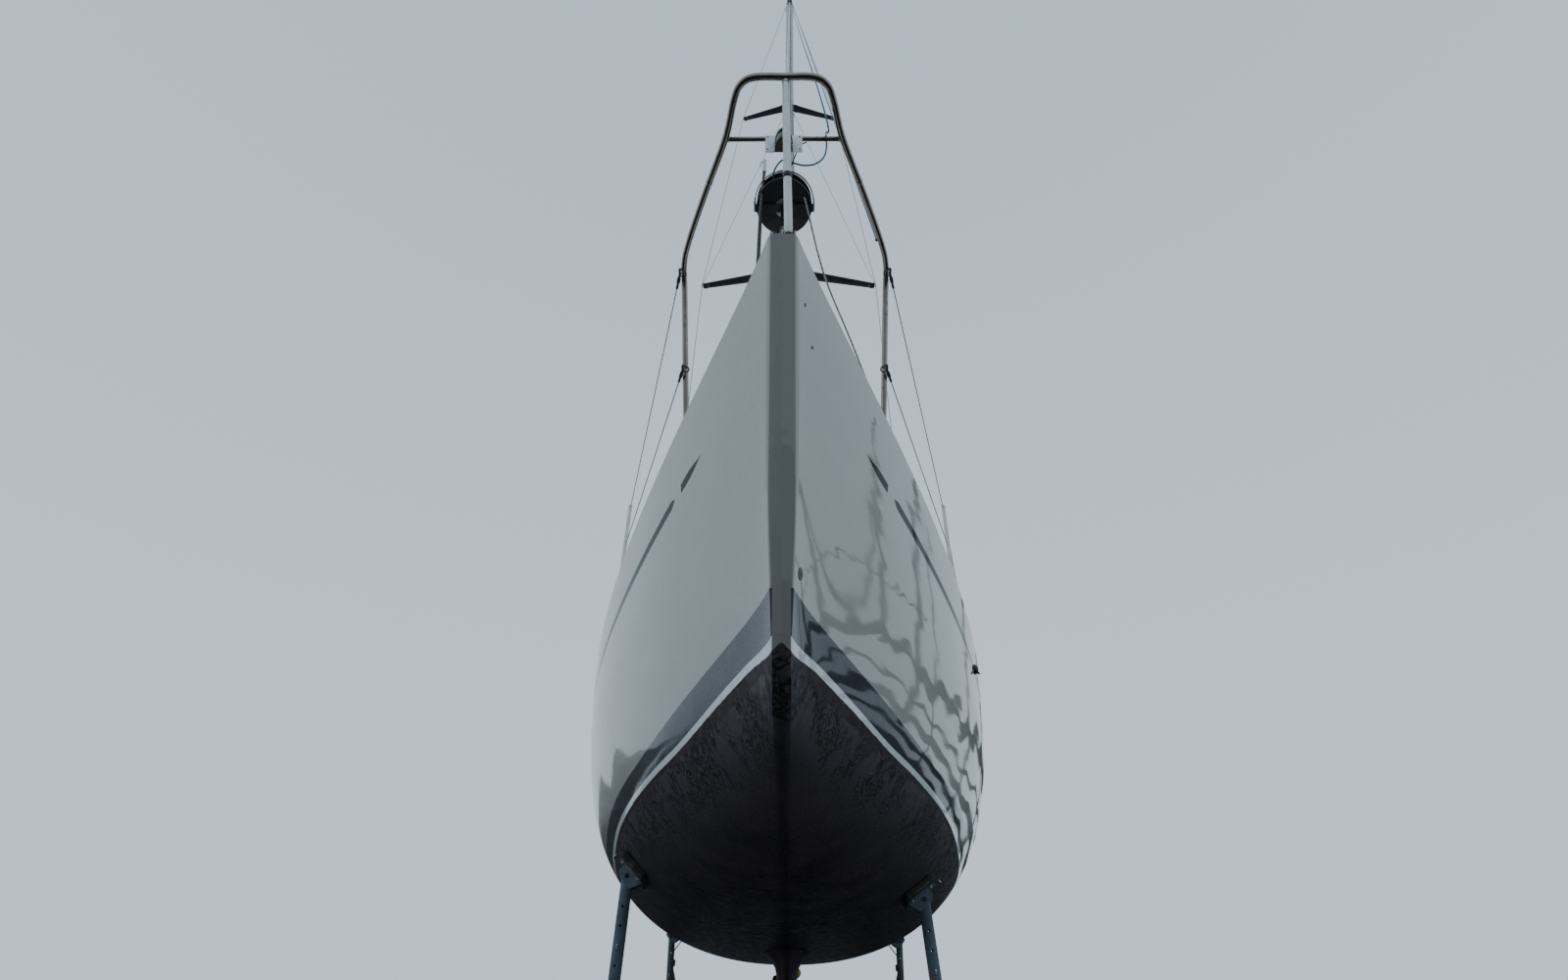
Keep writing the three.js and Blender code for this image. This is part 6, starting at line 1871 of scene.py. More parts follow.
class YACHT_OT_rails(bpy.types.Operator):
    """Fits the slotted toe rails with their stanchions, the pushpits and the guard wires"""

    bl_idname = "yacht.rails"
    bl_label = "Toe rails, pushpits and guard wires"

    def execute(self, context):
        for build in (self.toe_rail, self.pushpit, self.wires):
            for side in SIDES:
                build(side)
        return {"FINISHED"}

    @staticmethod
    def toe_rail(side):
        rail = Shape()

        def strip(start, end, low, high, thin=0.0, steps=1, finish=0):
            """A run of the rail between two heights, with softened edges."""
            rows = []
            for k in range(steps + 1):
                s = lerp(start, end, k / steps)
                out = deck_half(s) - 0.0032
                base = deck_z(s, out - 0.012) + 0.0004
                edge = 0.0018
                outer, inner = out - thin, out - 0.0118 + thin
                rows.append([lay(side * x, s, base + z) for x, z in (
                    (outer - edge, low), (outer, low + edge), (outer, high - edge), (outer - edge, high),
                    (inner + edge, high), (inner, high - edge), (inner, low + edge), (inner + edge, low))])
            rail.skin(rows, finish)

        first, last = 1.19, 10.27
        strip(first, last, 0.0, 0.0125, steps=90)
        strip(first, last, 0.0262, 0.0357, steps=90)
        count = round((last - first - 0.05) / SLOT_PITCH)
        for k in range(count + 1):
            middle = first + 0.025 + (last - first - 0.05) * k / count
            strip(middle - 0.022, middle + 0.022, 0.011, 0.0275, thin=0.0012)
        for end in (first, last):
            strip(end - 0.006, end + 0.006, 0.0005, 0.0352, thin=-0.0006, finish=1)
        for s in STANCHION_PLACES:
            out = deck_half(s) - 0.009
            place = lay(side * out, s, deck_z(s, out) + 0.0013)
            inward = -side
            rail.block(place + Vector((inward * 0.0295, -0.0315, 0)),
                       place + Vector((-inward * 0.0075, 0.0315, 0.0125)), 0.003, 1)
            rail.block(place + Vector((inward * 0.025, -0.022, 0.01)),
                       place + Vector((inward * -0.006, 0.022, 0.0435)), 0.006, 1)
            foot = place + Vector((inward * 0.008, 0, 0.01))
            head = place + Vector((-inward * 0.002, 0, 0.6235))
            rail.rod(foot, head, 0.0123, 20, 1)
            rail.rod(foot, foot.lerp(head, 0.17), 0.0168, 20, 1, 0.2)
            for share, grow in ((0.985, 0.0128), (0.5, 0.0127)):
                ring = foot.lerp(head, share)
                rail.rod(ring - 0.006 * UP, ring + 0.006 * UP, grow, 20, 1, 0.2)
                rail.hoop(ring, (0, 1, 0), 0.006, 0.0016, 2, sides=8, steps=14)
            for dy in (-0.026, 0.026):
                rail.turned(((0.0048, 0), (0.0048, 0.0012), (0.002, 0.0028)),
                            place + Vector((inward * 0.022, dy, 0.0122)), (0, 0, 1), 12, 2)
        name = f"toe_rail_{SIDES[side]}"
        rail.make(f"{name}_slots", ("foil", "leg", "bolt"), slot="mast_alloy",
                  replaces=[name], smooth=35)

    @staticmethod
    def pushpit(side):
        y0, y1 = 9.45, 10.33
        out0, out1 = deck_half(y0) - 0.07, deck_half(y1) - 0.09
        z = sheer_z(0.95) + 0.64
        low0, low1, gate = deck_z(y0, out0) + 0.0013, deck_z(y1, out1) + 0.0013, deck_z(y1, 0.33) + 0.0013
        path = [(out0, y0, low0), (out0, y0, lerp(low0, z, 0.4)), (out0, y0, z - 0.12),
                (out0 - 0.004, y0 + 0.06, z - 0.012), (out0 - 0.020, y0 + 0.16, z), (out1, y1 - 0.14, z),
                (out1 - 0.05, y1 - 0.035, z), (out1 - 0.15, y1, z), (0.44, y1, z), (0.35, y1, z - 0.03),
                (0.33, y1, z - 0.13), (0.33, y1, lerp(gate, z, 0.4)), (0.33, y1, gate)]
        mid_z = (low0 + z) / 2
        middle = [(out0, y0, mid_z), (out0 - 0.02, y0 + 0.16, mid_z), (out1, y1 - 0.14, mid_z),
                  (out1 - 0.05, y1 - 0.035, mid_z), (out1 - 0.15, y1, mid_z), (0.44, y1, mid_z),
                  (0.33, y1, mid_z)]
        rail = Shape()
        rail.tube(spline([lay(side * x, s, h) for x, s, h in path], 7), 0.0129, 18)
        rail.tube(spline([lay(side * x, s, h) for x, s, h in middle], 6), 0.0108, 16)
        corner = lay(side * (out1 - 0.014), y1 - 0.1, low1)
        rail.rod(corner, Vector((corner.x, corner.y, z)), 0.0128, 18)
        for x, s, low in ((out0, y0, low0), (out1 - 0.014, y1 - 0.1, low1), (0.33, y1, gate)):
            foot_plate(rail, lay(side * x, s, low), 0.0297, 0.0118)
            ring = lay(side * x, s, low + 0.015)
            rail.turned(((0.013, -0.004), (0.0158, -0.001), (0.0158, 0.002), (0.013, 0.006)), ring,
                        (0, 0, 1), 20, 1)
        for x, s in ((out0, y0), (out1 - 0.014, y1 - 0.1), (0.33, y1)):
            ring = lay(side * x, s, mid_z)
            rail.turned(((0.0128, -0.015), (0.0148, -0.012), (0.0148, 0.012), (0.0128, 0.015)), ring,
                        (0, 0, 1), 20, 1)
        name = f"pushpit_{SIDES[side]}"
        rail.make(f"{name}_rail", ["steel", "weld"], slot="stainless", replaces=[name], smooth=45)
        gate_chain = Shape()
        if side > 0:
            for height in (z - 0.03, mid_z):
                gate_chain.tube(spline([lay(0.318, y1, height), lay(0.0, y1 + 0.004, height - 0.05),
                                        lay(-0.318, y1, height)], 8), 0.0026, 8)
                for x in (-0.312, 0.312):
                    gate_chain.hoop(lay(x, y1, height - 0.002), (0, 1, 0), 0.008, 0.0018, steps=14)
            gate_chain.make("stern_gate_wires", ["wire"], slot="wire")

    @staticmethod
    def wires(side):
        """Two guard wires from the pulpit's rear leg through the stanchions to the pushpit."""
        radius = bpy.context.scene.yacht_rig.guard_wire
        wires = Shape()
        end = 9.45
        out = deck_half(end) - 0.07
        for height, start in ((0.593, lay(side * 0.497, 0.62, 3.93)),
                              (0.318, lay(side * 0.474, 0.84, 3.517))):
            line = [start]
            for s in STANCHION_PLACES:
                base = deck_z(s, deck_half(s)) + 0.0113
                line.append(lay(side * (deck_half(s) - 0.007 - (0.01 if height < 0.5 else 0.002)), s,
                                base + height))
            line.append(lay(side * out, end, deck_z(end, out) + (0.6 if height > 0.5 else 0.31)))
            fine = []
            for a, b in zip(line, line[1:]):
                fine += [a.lerp(b, t) - SAG * 4 * t * (1 - t) * UP for t in (0, 0.2, 0.4, 0.6, 0.8)]
            fine.append(line[-1])
            wires.tube(fine, radius, 8)
            aim = (fine[2] - fine[0]).normalized()
            # Black hooked end at the pulpit, and a bright screw at the pushpit
            wires.rod(start - aim * 0.01, start + aim * 0.085, 0.0062, 14, 1)
            wires.rod(start + aim * 0.02, start + aim * 0.05, 0.0088, 14, 1, 0.3)
            hook = [start, start - aim * 0.018 + Vector((side * 0.006, 0, 0.01)),
                    start - aim * 0.026 + Vector((-side * 0.002, 0, 0.002)),
                    start - aim * 0.022 + Vector((-side * 0.014, 0, -0.012))]
            wires.tube(spline(hook, 5), 0.0055, 10, 1)
            wires.hoop(start - aim * 0.004 - Vector((side * 0.012, 0, 0)), (0, 0.2, 1), 0.0165, 0.003, 1,
                       steps=20)
            back = (fine[-2] - fine[-1]).normalized()
            wires.rod(fine[-1] + back * 0.012, fine[-1] + back * 0.12, 0.0048, 14, 2)
            wires.rod(fine[-1] + back * 0.03, fine[-1] + back * 0.08, 0.0066, 14, 2)
            wires.hoop(fine[-1], (0, 0.2, 1), 0.0145, 0.003, 2, steps=20)
        wires.make(f"guard_wires_{SIDES[side]}", ("wire", "black", "steel"), slot="wire")


def spar_row(centre, wide, long, sides=40, groove=0.0):
    """An oval section round the mast's axis, with the sail groove in its aft face."""
    row = []
    for k in range(sides):
        t = 2 * math.pi * (k + 0.5) / sides
        x, y = wide * math.cos(t), long * math.sin(t)
        if groove and abs(x) < 0.013 and y > 0:
            y -= groove
        row.append(centre + Vector((x, y, 0)))
    return row


# Half the mast's width
MAST_HALF = 0.0648


class YACHT_OT_mast(bpy.types.Operator):
    """Raises the mast with its groove, boxes, winches, cleats, tangs and masthead gear"""

    bl_idname = "yacht.mast"
    bl_label = "Mast"

    def execute(self, context):
        mast = Shape()
        foot, head = MAST_FOOT.z, MAST_TOP
        levels = [foot, foot + 0.002, *(lerp(foot + 0.02, head - 0.01, t) for t in shares(18)),
                  head - 0.001]
        mast.skin([spar_row(mast_at(z), MAST_HALF, 0.0947, 44, 0.006) for z in levels])
        # Halyard exit boxes and the heel's collar
        for up, side in ((2.05, -1), (2.3, -1), (2.65, 1), (2.95, 1)):
            self.exit_box(mast, foot + up, side)
        collar = ((0.004, 0.075), (0.034, 0.073), (0.04, 0.067))
        mast.skin([spar_row(mast_at(foot + up), wide, wide + 0.03, 44) for up, wide in collar], 1)
        mast.make("mast_tube", ("spar", "black", "steel"), slot="mast_alloy",
                  replaces=["mast"], smooth=40)
        self.fittings()
        self.spreader_roots()
        self.masthead()
        return {"FINISHED"}

    @staticmethod
    def exit_box(mast, z, side):
        outline = smooth_outline([(-0.02, -0.09), (0.02, -0.09), (0.02, 0.09),
                                                (-0.02, 0.09)], 0.018, 5)
        mast.plate(outline, lambda u, v, w: mast_at(z + v, u - 0.012, side * (0.0632 + w)), 0, 0.004, 0.001,
                   2)
        slot = smooth_outline([(-0.008, -0.06), (0.008, -0.06), (0.008, 0.06),
                                             (-0.008, 0.06)], 0.007, 4)
        mast.plate(slot, lambda u, v, w: mast_at(z + v, u - 0.012, side * (0.0632 + w)), 0.003, 0.0048,
                   0.0004, 1)

    @staticmethod
    def fittings():
        """Winches low on the sides, cleats, the steaming lamp and the tangs of the shrouds."""
        gear = Shape()
        low = MAST_FOOT.z
        for side in SIDES:
            centre = mast_at(low + 0.95, 0.0, side * 0.06)
            axis = Vector((side, 0, 0))
            gear.turned(((0.04, 0), (0.04, 0.01), (0.03, 0.014), (0.027, 0.03), (0.027, 0.05),
                         (0.036, 0.062), (0.036, 0.07), (0.028, 0.074), (0.01, 0.075)), centre, axis, 28, 0)
            for z, ahead in ((low + 0.7, 0.02), (low + 1.25, -0.03)):
                place = mast_at(z, ahead, side * 0.066)
                gear.tube([place + Vector((side * 0.026, 0, -0.062)),
                           place + Vector((side * 0.03, 0, -0.03)), place + Vector((side * 0.03, 0, 0.03)),
                           place + Vector((side * 0.026, 0, 0.062))], [0.0045, 0.0075, 0.0075, 0.0045], 12,
                          1)
                for up in (-0.018, 0.018):
                    gear.rod(place + Vector((-side * 0.004, 0, up)), place + Vector((side * 0.028, 0, up)),
                             0.0065, 12, 1)
            for z in (16.62, 12.66, 8.42):
                tang = smooth_outline([(-0.018, -0.05), (0.018, -0.05), (0.022, 0.05),
                                                     (-0.022, 0.05)], 0.014, 4)
                gear.plate(tang, lambda u, v, w, z=z, side=side: mast_at(z + v, u, side * (0.0645 + w)), 0,
                           0.003, 0.0008, 0)
                gear.rod(mast_at(z - 0.02, 0, side * 0.06), mast_at(z - 0.02, 0, side * 0.0725), 0.006, 12,
                         2)
        lamp = mast_at(low + 4.6, 0.094)
        gear.block(lamp + Vector((-0.022, -0.05, -0.03)), lamp + Vector((0.022, 0.006, 0.0)), 0.006, 1)
        gear.turned(((0.024, -0.032), (0.026, -0.05), (0.022, -0.07), (0.006, -0.078)),
                    lamp + Vector((0, -0.024, 0)), (0, 0, 1), 24, 3)
        pole_track = [mast_at(low + 0.9 + 3.0 * t, 0.0965) for t in shares(6)]
        gear.tube(pole_track, 0.009, 8, 2, flat=0.5)
        ring = mast_at(low + 1.2, 0.106)
        gear.turned(((0.012, 0), (0.014, 0.006), (0.014, 0.012), (0.011, 0.014)), ring, (0, -1, 0), 18, 0)
        gear.hoop(ring + Vector((0, -0.03, 0)), (1, 0, 0), 0.02, 0.0045)
        gear.make("mast_fittings", ("steel", "black", "bolt", "clear"), slot="stainless")

    @staticmethod
    def spreader_roots():
        roots = Shape()
        for z, half in ((8.612, 0.034), (12.827, 0.028)):
            for side in SIDES:
                outline = smooth_outline([(-0.08, -half), (0.09, -half), (0.09, half), (-0.08, half)],
                                         0.022, 5)
                face = lambda u: math.sqrt(1 - (u / 0.0955) ** 2) * MAST_HALF
                roots.plate(outline,
                            lambda u, v, w, z=z, side=side: mast_at(z + v, -u, side * (face(u) + w)),
                            -0.006, 0.006, 0.001)
                for u in (-0.05, 0.055):
                    roots.turned(((0.006, 0), (0.006, 0.002), (0.003, 0.0035)),
                                 mast_at(z + half * 0.6, -u, side * (face(u) + 0.005)), (side, 0, 0), 12)
        roots.make("spreader_roots", ["foil"], slot="mast_alloy")

    @staticmethod
    def masthead():
        """Plate, sheaves, lamp, wind arrow, whip and the black cap on the mast's top."""
        low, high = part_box("masthead_crane")
        top = low.z + 0.04
        centre = Vector((0, low.y + 0.19, 0))
        crane = Shape()
        for side in SIDES:
            outline = smooth_outline([(low.y + 0.001, top - 0.002), (low.y + 0.001, top + 0.033),
                                      (high.y - 0.001, top + 0.033), (high.y - 0.001, top + 0.006),
                                      (high.y - 0.1, top - 0.03), (low.y + 0.09, top - 0.03)], 0.012, 4)
            crane.plate(outline, lambda u, v, w, side=side: Vector((side * w, u, v)), 0.0405, 0.0448, 0.001)
        crane.block((-0.044, low.y + 0.03, top + 0.0005), (0.044, high.y - 0.03, top + 0.006), 0.001)
        for y in (low.y + 0.03, high.y - 0.032):
            for x in (-0.019, 0.019):
                crane.turned(((0.022, -0.011), (0.0225, -0.009), (0.018, 0), (0.0225, 0.009),
                              (0.022, 0.011)), (x, y, top + 0.012), (1, 0, 0), 24, 1)
            crane.rod((-0.0465, y, top + 0.012), (0.0465, y, top + 0.012), 0.005, 14, 2)
        crane.block((-0.061, centre.y - 0.02, top + 0.031), (0.061, high.y - 0.07, top + 0.0435), 0.004, 1)
        crane.turned(((0.02, 0), (0.022, 0.003), (0.022, 0.02), (0.018, 0.026), (0.004, 0.0292)),
                     (0, centre.y + 0.09, top + 0.03), (0, 0, 1), 24, 3)
        crane.rod((0.05, high.y - 0.1, top + 0.036), (0.05, high.y - 0.012, top + 0.052), 0.0028, 10, 1)
        crane.rod((-0.05, centre.y + 0.02, top + 0.03), (-0.05, centre.y + 0.02, top + 0.0595), 0.004, 10,
                  1)
        crane.make("masthead_plate", ("spreader", "black", "bolt", "clear"),
                   slot="black_plastic", replaces=["masthead_crane"])


class YACHT_OT_spreaders(bpy.types.Operator):
    """Makes the two pairs of dark spreaders with their end caps and collars"""

    bl_idname = "yacht.spreaders"
    bl_label = "Spreaders"

    def execute(self, context):
        sizes = {
            "low": ((0.066, 8.612), (1.116, 4.554, 8.787), 0.150, 0.036),
            "high": ((0.066, 12.827), (0.735, 4.494, 12.887), 0.120, 0.030),
        }
        for level, ((root_x, root_z), (tip_x, tip_s, tip_z), chord, thick) in sizes.items():
            for side in SIDES:
                spreader = Shape()
                root = mast_at(root_z)
                root.x = root_x
                tip = lay(tip_x - 0.012, tip_s, tip_z)
                rows = []
                for t in (0.0, 0.01, 0.25, 0.5, 0.75, 0.96, 0.972):
                    centre = root.lerp(tip, t)
                    scale = lerp(1, 0.55, t) * (0.97 if t in (0.0, 0.972) else 1)
                    rows.append([centre + Vector((0, -math.cos(a) * 0.5 * chord * scale,
                                                  math.sin(a) * 0.5 * thick * lerp(1, 0.66, t)
                                                  * (1 + 0.25 * math.cos(a)) * (0.8 if t == 0.972 else 1)))
                                 for a in turns(28)])
                spreader.skin(rows)
                cap = root.lerp(tip, 0.985)
                reach = 0.5 * chord * 0.5
                cap_rows = []
                for along_tip, grow in ((-0.035, 0.97), (-0.032, 1.06), (0.006, 1.06), (0.016, 0.9),
                                        (0.02, 0.6)):
                    centre = cap + Vector((along_tip, 0, 0))
                    cap_rows.append([centre
                                     + Vector((0, -math.cos(a) * reach * grow * 1.08,
                                               math.sin(a) * 0.0135 * grow)) for a in turns(24)])
                spreader.skin(cap_rows, 1)
                joint = root.lerp(tip, 0.07)
                spreader.skin([[joint
                                + Vector((x, -math.cos(a) * 0.5 * chord * grow,
                                          math.sin(a) * 0.5 * thick * grow)) for a in turns(24)]
                               for x, grow in ((-0.02, 1.0), (-0.017, 1.04), (0.017, 1.03), (0.02, 0.98))],
                              1)
                hook = root.lerp(tip, 0.93)
                spreader.hoop(hook + Vector((0, -0.012, -0.028)), (1, 0, 0), 0.011, 0.0022, 2)
                spreader.rod(hook + Vector((0, -0.012, -0.02)), hook + Vector((0, -0.012, 0.0)), 0.004, 10,
                             2)
                spreader.to_side(side)
                name = f"spreader_{level}_{SIDES[side]}"
                spreader.make(f"{name}_arm", ("spreader", "black", "bolt"),
                              slot="spreader_black", replaces=[name])
        return {"FINISHED"}


def turnbuckle(shape, foot, head):
    """A rigging screw between a toggle at its foot and the wire's end above."""
    aim = (head - foot).normalized()
    length = (head - foot).length
    shape.turned(((0.0055, 0.05), (0.0055, 0.1), (0.0095, 0.105), (0.0095, 0.13), (0.0085, 0.132),
                  (0.0085, 0.132 + 0.14), (0.0095, 0.275), (0.0095, 0.3), (0.0055, 0.305), (0.0055, 0.345),
                  (0.0068, 0.35), (0.0064, 0.44), (0.0052, 0.445)), foot, aim, 18)
    across = Vector((0, 1, 0)) if abs(aim.y) < 0.6 else Vector((1, 0, 0))
    across = (across - aim * across.dot(aim)).normalized()
    for sign in (-1, 1):
        ear = foot + across * (sign * 0.009)
        shape.rod(ear - aim * 0.004, ear + aim * 0.06, 0.0032, 10)
    shape.rod(foot - across * 0.014 + aim * 0.004, foot + across * 0.014 + aim * 0.004, 0.0042)
    shape.hoop(foot + aim * 0.2, across, 0.011, 0.0009, sides=6, steps=14)
    return foot + aim * min(0.44, length / 2)


class YACHT_OT_shrouds(bpy.types.Operator):
    """Leads the shrouds over the spreaders, and the lowers, the backstay and their screws"""

    bl_idname = "yacht.shrouds"
    bl_label = "Shrouds and backstay"

    def execute(self, context):
        for side in SIDES:
            self.side(side, context.scene.yacht_rig.wire)
        self.backstay()
        return {"FINISHED"}

    @staticmethod
    def side(side, wire):
        stays = Shape()

        def point(x, s, z):
            return lay(side * x, s, z)

        deck = deck_z(PLATE_S, PLATE_X)
        foot = point(PLATE_X, PLATE_S, deck + 0.0703)
        low_tip, high_tip = point(1.1235, 4.554, 8.79), point(0.7436, 4.494, 12.89)
        head = mast_at(MAST_TOP - 0.06, 0, side * 0.0715)
        start = turnbuckle(stays, foot, low_tip)
        stays.tube([start, low_tip, high_tip, head], wire, 10, 1)
        for tip, after in ((low_tip, high_tip), (high_tip, head)):
            aim = (after - tip).normalized()
            stays.rod(tip - 0.028 * UP, tip, wire * 1.7, 12)
            stays.rod(tip, tip + aim * 0.06, wire * 1.7, 12)
        stays.rod(head - (head - high_tip).normalized() * 0.1, head, wire * 1.6, 12)
        # Lower shroud and the diagonal from the lower tip to the upper spreader's root
        root = mast_at(8.4, 0, side * 0.0705)
        begin = turnbuckle(stays, point(1.1185, 4.645, deck + 0.062), root)
        stays.tube([begin, root], wire * 0.86, 10, 1)
        stays.rod(root - (root - begin).normalized() * 0.09, root, wire * 1.5, 12)
        knee = mast_at(12.64, 0, side * 0.0705)
        stays.tube([low_tip + Vector((-side * 0.008, 0, 0.012)), knee], wire * 0.8, 10, 1)
        stays.rod(knee - (knee - low_tip).normalized() * 0.08, knee, wire * 1.5, 12)
        stays.block(point(1.112, 4.626, deck - 0.002), point(1.126, 4.664, deck + 0.07), 0.0015)
        name = f"shroud_{SIDES[side]}"
        stays.make(f"{name}_wires", ["steel", "wire"], slot="wire", replaces=[name])

    @staticmethod
    def backstay():
        stay = Shape()
        foot = lay(0, 10.33, deck_z(10.33) + 0.04)
        top = mast_at(MAST_TOP) + Vector((0, 0.215, 0))
        aim = (top - foot).normalized()
        end = turnbuckle(stay, foot, top)
        stay.tube([end, foot + aim * 3.1, top], 0.0042, 10, 1)
        for place in (3.1, (top - foot).length - 1.0):
            stay.turned(((0.008, -0.05), (0.017, -0.035), (0.019, 0), (0.017, 0.035), (0.008, 0.05)),
                        foot + aim * place, aim, 20, 2)
        stay.rod(top - aim * 0.12, top, 0.0075, 12)
        plate = smooth_outline([(10.3015, -0.01), (10.3015, 0.05), (10.315, 0.0595),
                                              (10.345, 0.0595), (10.3585, 0.05), (10.3585, -0.01)], 0.012,
                                              4)
        stay.plate(plate, lambda u, v, w: lay(w, u, foot.z - 0.04 + v), -0.0078, 0.0078, 0.001)
        stay.make("backstay_wire", ("steel", "wire", "white"), slot="wire",
                  replaces=["backstay"])


class YACHT_OT_halyards(bpy.types.Operator):
    """Leads the halyards, the topping lift, the blue line at the pulpit and the loose line by the drum"""

    bl_idname = "yacht.halyards"
    bl_label = "Halyards and lines"

    def execute(self, context):
        line = context.scene.yacht_rig.line
        white, blue, dark = Shape(), Shape(), Shape()
        top = mast_at(MAST_TOP)
        # Halyards down the mast's front and sides
        for x, ahead, low in ((0.03, 0.1, 1.4), (-0.03, 0.1, 1.4), (0.07, 0.03, 2.6), (-0.07, -0.02, 2.4)):
            ends = [mast_at(MAST_FOOT.z + low, ahead, x), mast_at(9.0, ahead + 0.012, x * 1.1),
                    mast_at(MAST_TOP - 0.05, ahead, x * 0.6)]
            white.tube(spline(ends, 8), line, 8)
        # Spinnaker halyard led forward to the pulpit's cross bar, with the loop that hangs below it
        loop = [(0.161, 0.018, 4.36), (0.175, 0.018, 4.06), (0.167, 0.014, 3.905), (0.13, 0.004, 3.82),
                (0.08, 0.004, 3.805), (0.034, 0.03, 3.87), (-0.01, 0.07, 3.955), (-0.045, 0.115, 3.93)]
        head = top + Vector((0.02, -0.1, -0.03))
        blue.tube(spline([head, head.lerp(lay(*loop[0]), 0.5) - 0.1 * UP, *[lay(*p) for p in loop],
                          on_stay(0.66, 0.012, -0.032)], 12), line * 0.7, 10)
        # Second halyard to the port leg of the pulpit
        rail = pulpit_line()[4] + Vector((-0.017, 0, 0.004))
        blue.tube([top + Vector((0.03, -0.1, -0.03)), rail], line * 0.8, 8)
        dark.ball(rail, 0.008)
        # Furling line from the drum aft along the port deck's edge
        furl = [on_stay(0.47, 0.055, 0.03), on_stay(0.46, 0.06, 0.075), lay(0.16, 0.30, deck_z(0.3) + 0.16),
                lay(0.29, 0.6, deck_z(0.6) + 0.09), lay(0.5, 1.12, deck_z(1.12, 0.5) + 0.03)]
        for s in (1.7, 2.44, 3.3, 4.25, 5.2, 6.05, 7.0, 7.85, 8.6):
            furl.append(lay(deck_half(s) - 0.055, s, deck_z(s, deck_half(s)) + 0.05))
        white.tube(spline(furl, 5), line * 0.75, 8)
        # Lead blocks that carry it past the stanchions
        for s in STANCHION_PLACES:
            place = lay(deck_half(s) - 0.055, s, deck_z(s, deck_half(s)) + 0.05)
            dark.turned(((0.008, -0.006), (0.013, -0.005), (0.013, 0.005), (0.008, 0.006)), place,
                        (0, 1, 0), 16)
        # Black rod with a pale hook, standing beside the drum
        foot, head = lay(-0.099, 0.19, 3.36), lay(-0.086, 0.16, 4.03)
        dark.tube([foot, foot.lerp(head, 0.55) + Vector((-0.004, 0, 0)), head], [0.008, 0.0075, 0.007], 12)
        dark.rod(foot - 0.03 * UP, foot + 0.02 * UP, 0.014, 14)
        hook = Shape()
        hook.tube([head - 0.01 * UP, head + Vector((0.002, -0.004, 0.075))], 0.0085, 12)
        hook.tube(spline([head + Vector((0.002, -0.004, 0.07)), head + Vector((-0.014, -0.006, 0.056)),
                          head + Vector((-0.018, -0.006, 0.03))], 4), 0.0034, 10)
        hook.make("rod_hook", ["leg"], slot="stainless")
        # Knots and shackles where the halyards end on the neck of the drum
        for ahead, side, distance in ((0.02, -0.034, 0.66), (0.03, -0.03, 0.69), (0.012, -0.038, 0.71)):
            dark.ball(on_stay(distance, ahead, side), 0.0135)
        dark.hoop(on_stay(0.705, 0.026, -0.04), (0.3, 1, 0), 0.013, 0.003)
        white.make("running_lines", ["white_rope"], slot="cloth", smooth=60)
        blue.make("blue_halyard", ["blue_rope"], slot="cloth", smooth=60)
        dark.make("line_leads", ["black"], slot="black_fittings")
        return {"FINISHED"}


